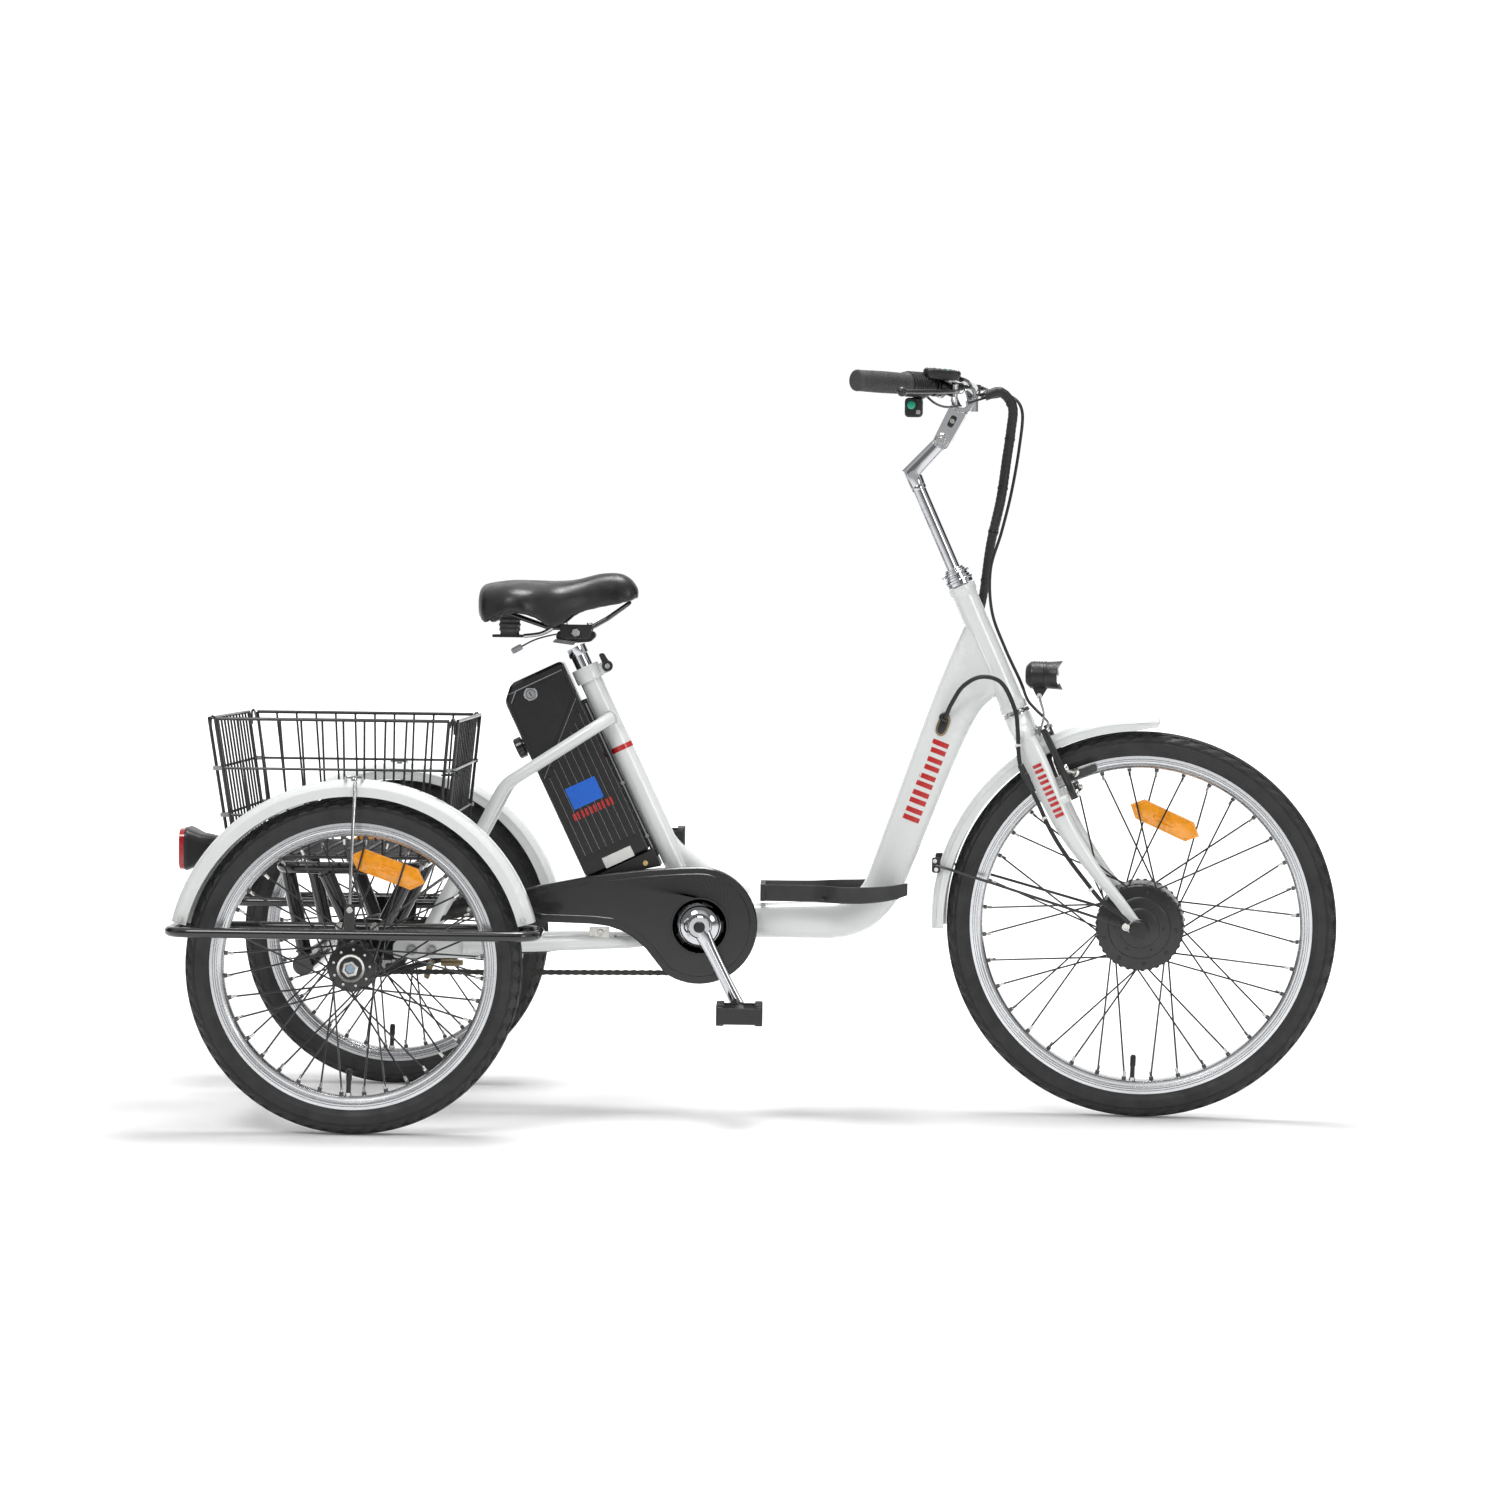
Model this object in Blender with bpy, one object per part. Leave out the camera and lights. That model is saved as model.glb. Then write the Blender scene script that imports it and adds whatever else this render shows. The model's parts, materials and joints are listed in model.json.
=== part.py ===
"""An adult tricycle with a hub motor: white step-through frame, black axle carriage, wire basket and guard loops.

Built with the rear axle at X = 0 and the ground at Z = 0, X forwards and Y to the left, then moved so that the
origin is the bottom centre of its box. The front end stands turned a little to the right, as when parked.
"""

from math import atan2, cos, pi, radians, sin, tau

import bmesh
import bpy
from mathutils import Matrix, Quaternion, Vector

# ---------------------------------------------------------------- driving dimensions, in metres
FRONT_R = 0.299
REAR_R = 0.247
TRACK = 0.62
WHEELBASE = 1.1785
TYRE_HALF = 0.0225
TYRE_DEPTH = 0.0385
RIM_HALF = 0.014
RIM_DEPTH = 0.018
SPOKES_A_SIDE = 18
WHEEL_SEGMENTS = 32
GAP = 0.0003

HEAD_ANGLE = radians(24.25)
HEAD_TOP = Vector((0.8942, 0.0, 0.8174))
HEAD_LENGTH = 0.210
STEER_UP = Vector((-sin(HEAD_ANGLE), 0.0, cos(HEAD_ANGLE)))
STEER_FORWARD = Vector((cos(HEAD_ANGLE), 0.0, sin(HEAD_ANGLE)))
PARKED_TURN = radians(-8.0)
STEERER_R = 0.0127
QUILL_R = 0.0111
BAR_R = 0.0111

CRANK_CENTRE = Vector((0.500, 0.0, 0.292))
CRANK_LENGTH = 0.140
CRANK_ANGLE = radians(-63.0)
CHAIN_PITCH = 0.0127
RING_TEETH = 36
SPROCKET_TEETH = 16
CHAIN_Y = -0.050
CHAIN_HALF_HEIGHT = 0.0042
CHAIN_HALF_WIDTH = 0.0038

SEAT_ANGLE = radians(25.5)
SEAT_FOOT = Vector((0.505, 0.0, 0.291))
SEAT_UP = Vector((-sin(SEAT_ANGLE), 0.0, cos(SEAT_ANGLE)))
SEAT_BACK = Vector((-cos(SEAT_ANGLE), 0.0, -sin(SEAT_ANGLE)))
SEAT_TUBE_R = 0.0175
SEAT_POST_R = 0.0136
SEAT_TUBE_LENGTH = 0.4354

BEAM_Z = 0.301
BEAM_HALF = 0.029
STAY_R = 0.0095
BATTERY_HALF_WIDTH = 0.038
BATTERY_FRONT = 0.0265
BATTERY_BACK = 0.1325
BATTERY_BOTTOM = 0.1390
BATTERY_TOP = 0.4600

PLATFORM_Z = 0.382
PLATFORM_TUBE_R = 0.009
AXLE_R = 0.008
FRONT_AXLE_R = 0.006
LOOP_Z = 0.2975
LOOP_R = 0.0075

WHITE = (0.86, 0.88, 0.87)
BLACK = (0.015, 0.015, 0.017)
DARK = (0.03, 0.03, 0.032)
CHROME = (0.80, 0.80, 0.82)
STEEL = (0.55, 0.56, 0.58)

Y_AXIS = Vector((0.0, 1.0, 0.0))
X_AXIS = Vector((1.0, 0.0, 0.0))
Z_AXIS = Vector((0.0, 0.0, 1.0))


# ---------------------------------------------------------------- scene and shape tools
def clear_scene():
    for obj in list(bpy.data.objects):
        bpy.data.objects.remove(obj)


def add_mesh(name, points, faces):
    """A new object whose faces all point outwards."""
    mesh = bpy.data.meshes.new(name)
    mesh.from_pydata([tuple(p) for p in points], [], faces)
    work = bmesh.new()
    work.from_mesh(mesh)
    bmesh.ops.recalc_face_normals(work, faces=work.faces)
    work.to_mesh(mesh)
    work.free()
    obj = bpy.data.objects.new(name, mesh)
    bpy.context.scene.collection.objects.link(obj)
    return obj


def loft(name, rings, closed=False):
    """A solid through rings of equal point counts, capped at both ends unless it closes on itself."""
    count = len(rings[0])
    points = [p for ring in rings for p in ring]
    faces = []
    spans = len(rings) if closed else len(rings) - 1
    for i in range(spans):
        first = i * count
        second = ((i + 1) % len(rings)) * count
        for k in range(count):
            after = (k + 1) % count
            faces.append((first + k, first + after, second + after, second + k))
    if not closed:
        faces.append(tuple(range(count)))
        faces.append(tuple(len(points) - count + k for k in range(count)))
    return add_mesh(name, points, faces)


def oval(centre, u, v, a, b, sides, power=1.0):
    """Points round an oval with half sizes a along u and b along v. A power under 1 squares it off."""
    ring = []
    for k in range(sides):
        angle = tau * (k + 0.5) / sides
        c = abs(cos(angle)) ** power * (1 if cos(angle) >= 0 else -1)
        s = abs(sin(angle)) ** power * (1 if sin(angle) >= 0 else -1)
        ring.append(centre + u * (a * c) + v * (b * s))
    return ring


def bend(corners, radius, steps=4):
    """A path through the corners, each inner corner rounded to the radius as far as it fits."""
    path = [corners[0]]
    for before, corner, after in zip(corners, corners[1:], corners[2:]):
        back = (before - corner).normalized()
        on = (after - corner).normalized()
        half = back.angle(on) / 2
        reach = min(radius / max(abs(sin(half) / cos(half)), 1e-6), 0.45 * (before - corner).length,
                    0.45 * (after - corner).length)
        for i in range(steps + 1):
            t = i / steps
            path.append(corner + back * (reach * (1 - t) ** 2) + on * (reach * t ** 2))
    path.append(corners[-1])
    return path


def tube(name, path, radius, sides=8, depth=None, side_axis=Y_AXIS):
    """A rod along the path. radius and depth are one value or one for each point: across side_axis, and along it."""
    wide = radius if isinstance(radius, list) else [radius] * len(path)
    deep = depth if isinstance(depth, list) else [depth] * len(path)
    rings = []
    for i, point in enumerate(path):
        before = path[max(i - 1, 0)]
        after = path[min(i + 1, len(path) - 1)]
        tangent = (after - before).normalized()
        u = (side_axis - tangent * side_axis.dot(tangent)).normalized()
        v = tangent.cross(u)
        across = wide[i]
        along = deep[i] if deep[i] is not None else across
        rings.append(oval(point, v, u, across, along, sides))
    return loft(name, rings)


def hoop(name, path, radius, sides=8, side_axis=Z_AXIS):
    """A rod along a path that closes on itself."""
    rings = []
    for i, point in enumerate(path):
        tangent = (path[(i + 1) % len(path)] - path[i - 1]).normalized()
        u = (side_axis - tangent * side_axis.dot(tangent)).normalized()
        rings.append(oval(point, tangent.cross(u), u, radius, radius, sides))
    return loft(name, rings, closed=True)


def turned(name, profile, centre, axis, segments=24, closed=True):
    """A turned piece. The profile is (radius, distance along the axis); an open one starts and ends on the axis."""
    u = axis.orthogonal().normalized()
    v = axis.cross(u)
    points = []
    rows = []
    for radius, along in profile:
        if radius == 0:
            rows.append([len(points)] * segments)
            points.append(centre + axis * along)
            continue
        rows.append([len(points) + k for k in range(segments)])
        for k in range(segments):
            angle = tau * k / segments
            points.append(centre + axis * along + u * (radius * cos(angle)) + v * (radius * sin(angle)))
    faces = []
    pairs = list(zip(rows, rows[1:])) + ([(rows[-1], rows[0])] if closed else [])
    for low, high in pairs:
        for k in range(segments):
            after = (k + 1) % segments
            corners = [low[k], low[after], high[after], high[k]]
            face = tuple(dict.fromkeys(corners))
            if len(face) > 2:
                faces.append(face)
    return add_mesh(name, points, faces)


def rod(name, start, end, radius, segments=12):
    """A plain solid cylinder between two points."""
    axis = (end - start).normalized()
    length = (end - start).length
    return turned(name, [(0, 0), (radius, 0), (radius, length), (0, length)], start, axis, segments, closed=False)


def sleeve(name, start, end, inner, outer, segments=16):
    """A hollow cylinder between two points, open at both ends."""
    axis = (end - start).normalized()
    length = (end - start).length
    return turned(name, [(inner, 0), (outer, 0), (outer, length), (inner, length)], start, axis, segments)


def slab(name, outline, low, high, origin=Vector(), u=X_AXIS, v=Z_AXIS, w=Y_AXIS):
    """A flat outline in u and v, given thickness from low to high along w."""
    rings = [[origin + u * a + v * b + w * c for a, b in outline] for c in (low, high)]
    return loft(name, rings)


def rounded(corners, radius, steps=3):
    """A closed outline with every corner rounded."""
    outline = []
    count = len(corners)
    for i in range(count):
        corner = Vector(corners[i])
        back = Vector(corners[i - 1]) - corner
        on = Vector(corners[(i + 1) % count]) - corner
        reach = min(radius, 0.45 * back.length, 0.45 * on.length)
        for k in range(steps + 1):
            t = k / steps
            point = corner + back.normalized() * (reach * (1 - t) ** 2) + on.normalized() * (reach * t ** 2)
            outline.append((point.x, point.y))
    return outline


def rectangle(low_a, high_a, low_b, high_b):
    return [(low_a, low_b), (high_a, low_b), (high_a, high_b), (low_a, high_b)]


def block(name, low, high, radius=0.0):
    """A box between two corners, with its edges along Y rounded when a radius is given."""
    outline = rectangle(low[0], high[0], low[2], high[2])
    if radius:
        outline = rounded(outline, radius)
    return slab(name, outline, low[1], high[1])


def bake(obj):
    graph = bpy.context.evaluated_depsgraph_get()
    mesh = bpy.data.meshes.new_from_object(obj.evaluated_get(graph))
    obj.modifiers.clear()
    obj.data = mesh


def combine(base, others, operation):
    """Joins the others to the base, or cuts them from it, and removes them."""
    for other in others:
        step = base.modifiers.new("step", "BOOLEAN")
        step.operation = operation
        step.solver = "EXACT"
        step.object = other
        bake(base)
        bpy.data.objects.remove(other)
    return base


def join(base, *others):
    return combine(base, others, "UNION")


def cut(base, *others):
    return combine(base, others, "DIFFERENCE")


def finish(obj, colour, roughness=0.4, metallic=0.0):
    """Gives a node its own material and smooth rounds with sharp edges."""
    material = bpy.data.materials.new(obj.name)
    material.use_nodes = True
    shader = material.node_tree.nodes["Principled BSDF"]
    shader.inputs["Base Color"].default_value = (*colour, 1.0)
    shader.inputs["Roughness"].default_value = roughness
    shader.inputs["Metallic"].default_value = metallic
    obj.data.materials.clear()
    obj.data.materials.append(material)
    for face in obj.data.polygons:
        face.use_smooth = True
        face.material_index = 0
    obj.data.set_sharp_from_angle(angle=radians(35))
    return obj


def pivot(name, place, parent, turn=None):
    """An empty on a joint's axis. Pieces built in place are hung on it with hang()."""
    empty = bpy.data.objects.new(name, None)
    bpy.context.scene.collection.objects.link(empty)
    empty.empty_display_size = 0.02
    empty.location = place
    empty.rotation_mode = "QUATERNION"
    if turn is not None:
        empty.rotation_quaternion = turn
    empty["built_at"] = tuple(place)
    if parent is not None:
        hang(empty, parent)
    return empty


def hang(obj, empty):
    obj.parent = empty
    obj.matrix_parent_inverse = Matrix.Translation(-Vector(empty["built_at"]))
    return obj


def mirrored(point):
    return Vector((point.x, -point.y, point.z))


def sided(point, side):
    """The point with its Y taken to the right (-1) or left (+1)."""
    return Vector((point[0], side * abs(point[1]), point[2]))


def steer(up, forward=0.0, left=0.0):
    """A point given from the head tube's top: along the steering axis, ahead of it and to the left."""
    return HEAD_TOP + STEER_UP * up + STEER_FORWARD * forward + Y_AXIS * left


def seat(up, back=0.0, left=0.0):
    """A point given along the seat tube, behind it and to the left."""
    return SEAT_FOOT + SEAT_UP * up + SEAT_BACK * back + Y_AXIS * left


SIDES = {"right": -1, "left": 1}


# ---------------------------------------------------------------- the white frame
def head_tube():
    body = turned("head", [(0, 0), (0.0215, 0), (0.0215, 0.012), (0.0195, 0.016), (0.0195, 0.194), (0.0215, 0.198),
                           (0.0215, HEAD_LENGTH), (0, HEAD_LENGTH)], steer(-HEAD_LENGTH), STEER_UP, 16, closed=False)
    return body


def main_tube(grow=0.0):
    """The large pressed tube: deep behind the head tube, then a smooth bend into the level beam."""
    head_mid = steer(-0.120, -0.004)
    throat = Vector((0.884, 0.0, 0.622))
    corner = Vector((0.7627, 0.0, BEAM_Z))
    rear = Vector((0.478, 0.0, BEAM_Z - 0.006))
    path = [head_mid, throat] + bend([throat, corner, rear], 0.100, 5)[1:]
    half = [0.064, 0.0365] + [BEAM_HALF] * (len(path) - 3) + [0.024]
    width = [0.015, 0.0235] + [0.024] * (len(path) - 3) + [0.020]
    rings = []
    for i, point in enumerate(path):
        before = path[max(i - 1, 0)]
        after = path[min(i + 1, len(path) - 1)]
        tangent = (after - before).normalized()
        across = tangent.cross(Y_AXIS).normalized()
        if i == 0:
            across = -STEER_UP if across.dot(STEER_UP) < 0 else STEER_UP
        rings.append(oval(point, across, Y_AXIS, half[i] + grow, width[i] + grow, 12, 0.8))
    return loft("main", rings)


def seat_stay(side):
    path = [sided((0.361, 0.022, 0.609), side), sided((0.338, 0.055, 0.594), side)]
    path += [sided((0.200, 0.057, 0.504), side), sided((0.080, 0.074, 0.270), side)]
    return tube("stay", bend(path, 0.05, 2), STAY_R, 8)


def chain_stay(side):
    path = [sided((0.480, 0.020, 0.276), side), sided((0.395, 0.031, 0.264), side)]
    path += [sided((0.300, 0.064, 0.262), side), sided((0.140, 0.075, 0.256), side)]
    return tube("stay", bend(path, 0.10, 2), 0.0100, 8)


def dropout_plate(side):
    """The flat end of a stay pair, bolted to the axle carriage."""
    outline = rounded([(0.033, 0.238), (0.165, 0.240), (0.175, 0.250), (0.165, 0.263), (0.090, 0.276), (0.033, 0.263)],
                      0.008, 2)
    inner, outer = sorted((side * 0.072, side * 0.078))
    return slab("plate", outline, inner, outer)


def main_frame():
    frame = head_tube()
    join(frame, main_tube())
    join(frame, rod("seat", SEAT_FOOT, seat(SEAT_TUBE_LENGTH), SEAT_TUBE_R, 16))
    join(frame, rod("shell", CRANK_CENTRE - Y_AXIS * 0.036, CRANK_CENTRE + Y_AXIS * 0.036, 0.0225, 16))
    join(frame, tube("gusset", [seat(0.150, -0.004), Vector((0.560, 0.0, 0.318))], [0.012, 0.030], 8))
    for side in SIDES.values():
        join(frame, seat_stay(side), chain_stay(side), dropout_plate(side))
    cut(frame, rod("bore", steer(-HEAD_LENGTH - 0.01), steer(0.01), STEERER_R + 0.0012, 16))
    cut(frame, rod("bore", seat(SEAT_TUBE_LENGTH - 0.190), seat(SEAT_TUBE_LENGTH + 0.01), SEAT_POST_R + GAP, 16))
    cut(frame, rod("bore", CRANK_CENTRE - Y_AXIS * 0.05, CRANK_CENTRE + Y_AXIS * 0.05, 0.015, 16))
    frame.name = "main_frame"
    return finish(frame, WHITE, 0.25)


def seat_collar():
    ring = sleeve("seat_collar", seat(0.4130), seat(0.4366), SEAT_TUBE_R + GAP, 0.0215)
    lug = slab("lug", rounded(rectangle(0.0190, 0.0400, 0.4135, 0.4320), 0.004, 2), -0.011, 0.011, SEAT_FOOT,
               -SEAT_BACK, SEAT_UP)
    join(ring, lug)
    return finish(ring, WHITE, 0.3)


SEAT_LEVER_PIVOT = seat(0.4230, -0.0330)


def seat_lever():
    """The quick-release lever beside the collar's lug."""
    arm = slab("seat_lever", rounded([(-0.008, -0.008), (0.008, -0.006), (0.010, 0.030), (-0.002, 0.034)], 0.005, 2),
               -0.0200, -0.0114, SEAT_LEVER_PIVOT, X_AXIS, Z_AXIS)
    arm.data.transform(Matrix.Translation(SEAT_LEVER_PIVOT) @ Matrix.Rotation(radians(-35), 4, "Y")
                       @ Matrix.Translation(-SEAT_LEVER_PIVOT))
    return finish(arm, BLACK, 0.35)


def headset(name, start, steps):
    """A stack of turned rings on the steering axis, (radius, height) each."""
    inner = STEERER_R + GAP
    profile = [(inner, 0)]
    height = 0.0
    for radius, rise in steps:
        profile += [(radius, height), (radius, height + rise)]
        height += rise
    profile.append((inner, height))
    return finish(turned(name, profile, steer(start), STEER_UP, 20), CHROME, 0.1, 1.0)


# ---------------------------------------------------------------- the black axle carriage
def carriage_side(side):
    """One side: axle housing, bearing bracket, bolting lug and the braces up to the platform."""
    def at(x, y, z):
        return Vector((x, side * y, z))

    pieces = [rod("housing", at(0, 0.066, REAR_R), at(0, 0.2325, REAR_R), 0.0165, 12)]
    bracket = rounded([(-0.030, 0.222), (0.030, 0.222), (0.042, 0.310), (-0.036, 0.310)], 0.016, 2)
    inner, outer = sorted((side * 0.2275, side * 0.2335))
    pieces.append(slab("bracket", bracket, inner, outer))
    lug = rounded([(-0.010, 0.232), (0.108, 0.240), (0.108, 0.263), (-0.010, 0.268)], 0.006, 2)
    inner, outer = sorted((side * 0.0783, side * 0.0850))
    pieces.append(slab("lug", lug, inner, outer))
    feet = (at(0.004, 0.150, REAR_R + 0.003), at(-0.006, 0.156, REAR_R + 0.004), at(-0.090, 0.148, 0.239))
    heads = (at(0.070, 0.149, PLATFORM_Z), at(-0.060, 0.184, PLATFORM_Z - 0.001), at(-0.120, 0.147, PLATFORM_Z))
    for foot, head in zip(feet, heads):
        pieces.append(tube("brace", [foot, head], 0.011, 8))
    return pieces


def rear_carriage():
    half_x = 0.100
    middle_x = -0.025
    half_y = 0.185
    corners = [Vector((middle_x + a * half_x, b * half_y, PLATFORM_Z)) for a, b in ((1, 1), (-1, 1), (-1, -1), (1, -1))]
    path = []
    for i, corner in enumerate(corners):
        before = (corners[i - 1] - corner).normalized() * 0.025
        after = (corners[(i + 1) % 4] - corner).normalized() * 0.025
        path += [corner + before, corner + (before + after) * 0.29, corner + after]
    body = hoop("rear_carriage", path, PLATFORM_TUBE_R, 6)
    for side in SIDES.values():
        join(body, *carriage_side(side))
    join(body, tube("cross", [Vector((-0.090, -0.185, 0.236)), Vector((-0.090, 0.185, 0.236))], 0.0165, 12,
                    side_axis=Z_AXIS))
    join(body, block("tongue", (-0.243, -0.012, PLATFORM_Z - 0.003), (-0.115, 0.012, PLATFORM_Z + 0.003)))
    cut(body, rod("bore", Vector((0, -0.25, REAR_R)), Vector((0, 0.25, REAR_R)), AXLE_R + GAP, 14))
    return finish(body, BLACK, 0.3)


def guard_loop(name, side):
    """A rounded hoop of tube round a rear wheel, with a tab for the mudguard's stay."""
    rear, front = -0.2665, 0.2690
    near, far = 0.3700, 0.2412
    corner = 0.035
    path = []
    for x, y, dx, dy in ((front, near, -1, -1), (rear, near, 1, -1), (rear, far, 1, 1), (front, far, -1, 1)):
        centre = Vector((x + dx * corner, side * (y + dy * corner), LOOP_Z))
        start = atan2(-dy, -dx) - pi / 4
        sweep = [start + (pi / 2) * k / 3 for k in range(4)]
        path += [centre + Vector((cos(a), side * sin(a), 0)) * corner for a in sweep]
    loop = hoop(name, path, LOOP_R)
    tab = block("tab", (-0.007, side * 0.3700 - 0.002, LOOP_Z), (0.007, side * 0.3700 + 0.002, LOOP_Z + 0.044), 0.004)
    join(loop, tab)
    return finish(loop, BLACK, 0.25)


def mudguard(name, centre, outer_r, start, end, half_width, skirt, steps):
    """A channel bent round a wheel: crowned top, turned-down sides."""
    sheet = 0.0025
    outer = [(-half_width, -skirt), (-half_width, -0.012), (-0.7 * half_width, -0.0015), (0.7 * half_width, -0.0015),
             (half_width, -0.012), (half_width, -skirt)]
    inner = [(y * (1 - sheet / half_width), r - (sheet if r > -skirt else 0)) for y, r in reversed(outer)]
    rings = []
    for i in range(steps + 1):
        angle = radians(start + (end - start) * i / steps)
        out = Vector((cos(angle), 0, sin(angle)))
        rings.append([centre + out * (outer_r + r) + Y_AXIS * y for y, r in outer + inner])
    return loft(name, rings)


def basket():
    """The open wire basket as a tapered tray: its wires are finer than its walls here."""
    wall = 0.004
    bottom_z, top_z = 0.3965, 0.607
    top = (-0.233, 0.143, 0.225)
    bottom = (-0.201, 0.124, 0.215)

    def ring(level, inset, z):
        rear, front, half = level
        return [Vector((rear + inset, -half + inset, z)), Vector((front - inset, -half + inset, z)),
                Vector((front - inset, half - inset, z)), Vector((rear + inset, half - inset, z))]

    rings = [ring(bottom, 0, bottom_z), ring(top, 0, top_z), ring(top, wall, top_z),
             ring(bottom, wall, bottom_z + wall)]
    return finish(loft("basket", rings), BLACK, 0.4)


def tail_light():
    """A rear lamp: a flat red face on a tapering black shell, bolted to the carriage's tongue."""
    mid = Vector((0, 0, 0.3975))
    rings = []
    for x, half_y, half_z in ((-0.302, 0.045, 0.0325), (-0.292, 0.046, 0.0335), (-0.270, 0.038, 0.024),
                              (-0.2436, 0.022, 0.019)):
        rings.append(oval(mid + X_AXIS * x, Y_AXIS, Z_AXIS, half_y, half_z, 12, 0.45))
    return finish(loft("tail_light", rings), DARK, 0.35)


# ---------------------------------------------------------------- wheels
def tyre(name, centre, outer_r):
    """A tyre seated on its rim: round outside, narrow at the beads."""
    bead = outer_r - TYRE_DEPTH
    mid = outer_r - TYRE_HALF
    profile = [(bead + GAP, -0.0115), (bead + 0.008, -0.0180)]
    for k in range(5):
        angle = radians(-90 + 45 * k)
        profile.append((mid + TYRE_HALF * cos(angle), TYRE_HALF * sin(angle)))
    profile += [(bead + 0.008, 0.0180), (bead + GAP, 0.0115)]
    return finish(turned(name, profile, centre, Y_AXIS, WHEEL_SEGMENTS), DARK, 0.8)


def rim(name, centre, outer_r):
    top = outer_r - TYRE_DEPTH
    profile = [(top, -RIM_HALF), (top, RIM_HALF), (top - 0.010, RIM_HALF), (top - RIM_DEPTH, 0.008),
               (top - RIM_DEPTH, -0.008), (top - 0.010, -RIM_HALF)]
    return finish(turned(name, profile, centre, Y_AXIS, WHEEL_SEGMENTS), CHROME, 0.25, 1.0)


def spoke_reach(outer_r):
    """How far the spokes go out: just short of the flats of the rim's inner side."""
    return (outer_r - TYRE_DEPTH - RIM_DEPTH) * cos(pi / WHEEL_SEGMENTS) - 0.0008


def hub_with_spokes(name, centre, profile, flange_r, flange_y, rim_inner):
    """A hub and its wire spokes, which stop just short of the rim."""
    hub = turned(name, profile, centre, Y_AXIS, 18)
    points = []
    faces = []
    for side in (-1, 1):
        for k in range(SPOKES_A_SIDE):
            angle = tau * (k + (0.25 if side > 0 else 0.75)) / SPOKES_A_SIDE
            out = Vector((cos(angle), 0, sin(angle)))
            around = Vector((-sin(angle), 0, cos(angle)))
            first = len(points)
            for radius, y in ((flange_r, side * flange_y), (rim_inner, side * 0.005)):
                for a, b in ((0, 1.0), (0.87, -0.5), (-0.87, -0.5)):
                    points.append(centre + out * radius + around * (0.0013 * a) + Y_AXIS * (y + 0.0013 * b))
            faces += [(first + i, first + (i + 1) % 3, first + 3 + (i + 1) % 3, first + 3 + i) for i in range(3)]
            faces += [(first, first + 1, first + 2), (first + 3, first + 4, first + 5)]
    join(hub, add_mesh("spokes", points, faces))
    return finish(hub, BLACK, 0.4)


def motor_profile():
    bore = FRONT_AXLE_R + GAP
    steps = [(0.014, 0.0465), (0.029, 0.0440), (0.046, 0.0415), (0.0665, 0.0360)]
    right = [(r, -y) for r, y in steps]
    left = [(r, y) for r, y in reversed(steps)]
    return [(bore, -0.0465)] + right + left + [(bore, 0.0465)]


def rear_hub_profile():
    bore = AXLE_R + GAP
    right = [(bore, -0.042), (0.019, -0.042), (0.019, -0.032), (0.036, -0.031), (0.036, -0.027), (0.019, -0.025)]
    return right + [(r, -y) for r, y in reversed(right)]


def axle_with_nuts(name, centre, radius, half, nut_radius, nut_start, nut_width):
    """An axle along Y with a nut near each end."""
    outer = [(radius, half), (radius, nut_start + nut_width), (nut_radius, nut_start + nut_width),
             (nut_radius, nut_start), (radius, nut_start)]
    profile = [(0, -half)] + [(r, -y) for r, y in outer] + list(reversed(outer)) + [(0, half)]
    return turned(name, profile, centre, Y_AXIS, 12, closed=False)


def rear_axle():
    """The live axle, with a nut and washer outside each hub."""
    axle = axle_with_nuts("rear_axle", Vector((0, 0, REAR_R)), AXLE_R, 0.358, 0.0135, TRACK / 2 + 0.0425, 0.009)
    return finish(axle, STEEL, 0.3, 1.0)


def band_brake():
    centre = Vector((0, 0.0290, REAR_R))
    profile = [(AXLE_R + GAP, 0), (0.046, 0), (0.049, 0.004), (0.049, 0.022), (0.044, 0.026), (AXLE_R + GAP, 0.026)]
    return finish(turned("band_brake", profile, centre, Y_AXIS, 24), BLACK, 0.4)


# ---------------------------------------------------------------- drive
def pitch_radius(teeth):
    return CHAIN_PITCH / (2 * sin(pi / teeth))


def belt(radius_front, radius_rear, steps=20):
    """The outline of a belt round the crank centre and the rear axle, in X and Z."""
    front = Vector((CRANK_CENTRE.x, CRANK_CENTRE.z))
    rear = Vector((0.0, REAR_R))
    span = front - rear
    lean = atan2(span.y, span.x)
    wrap = (radius_front - radius_rear) / span.length
    outline = []
    for k in range(steps + 1):
        angle = lean - (pi / 2 + wrap) + (pi + 2 * wrap) * k / steps
        outline.append((front.x + radius_front * cos(angle), front.y + radius_front * sin(angle)))
    for k in range(steps // 2 + 1):
        angle = lean + (pi / 2 + wrap) + (pi - 2 * wrap) * k / (steps // 2)
        outline.append((rear.x + radius_rear * cos(angle), rear.y + radius_rear * sin(angle)))
    return outline


def chain():
    """The chain as one closed band round the two sprockets."""
    big, small = pitch_radius(RING_TEETH), pitch_radius(SPROCKET_TEETH)
    outer = belt(big + CHAIN_HALF_HEIGHT, small + CHAIN_HALF_HEIGHT)
    inner = belt(big - CHAIN_HALF_HEIGHT, small - CHAIN_HALF_HEIGHT)
    low, high = CHAIN_Y - CHAIN_HALF_WIDTH, CHAIN_Y + CHAIN_HALF_WIDTH
    rings = []
    for (ax, az), (bx, bz) in zip(outer, inner):
        rings.append([Vector((ax, low, az)), Vector((ax, high, az)), Vector((bx, high, bz)), Vector((bx, low, bz))])
    return finish(loft("chain", rings, closed=True), STEEL, 0.4, 1.0)


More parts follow.
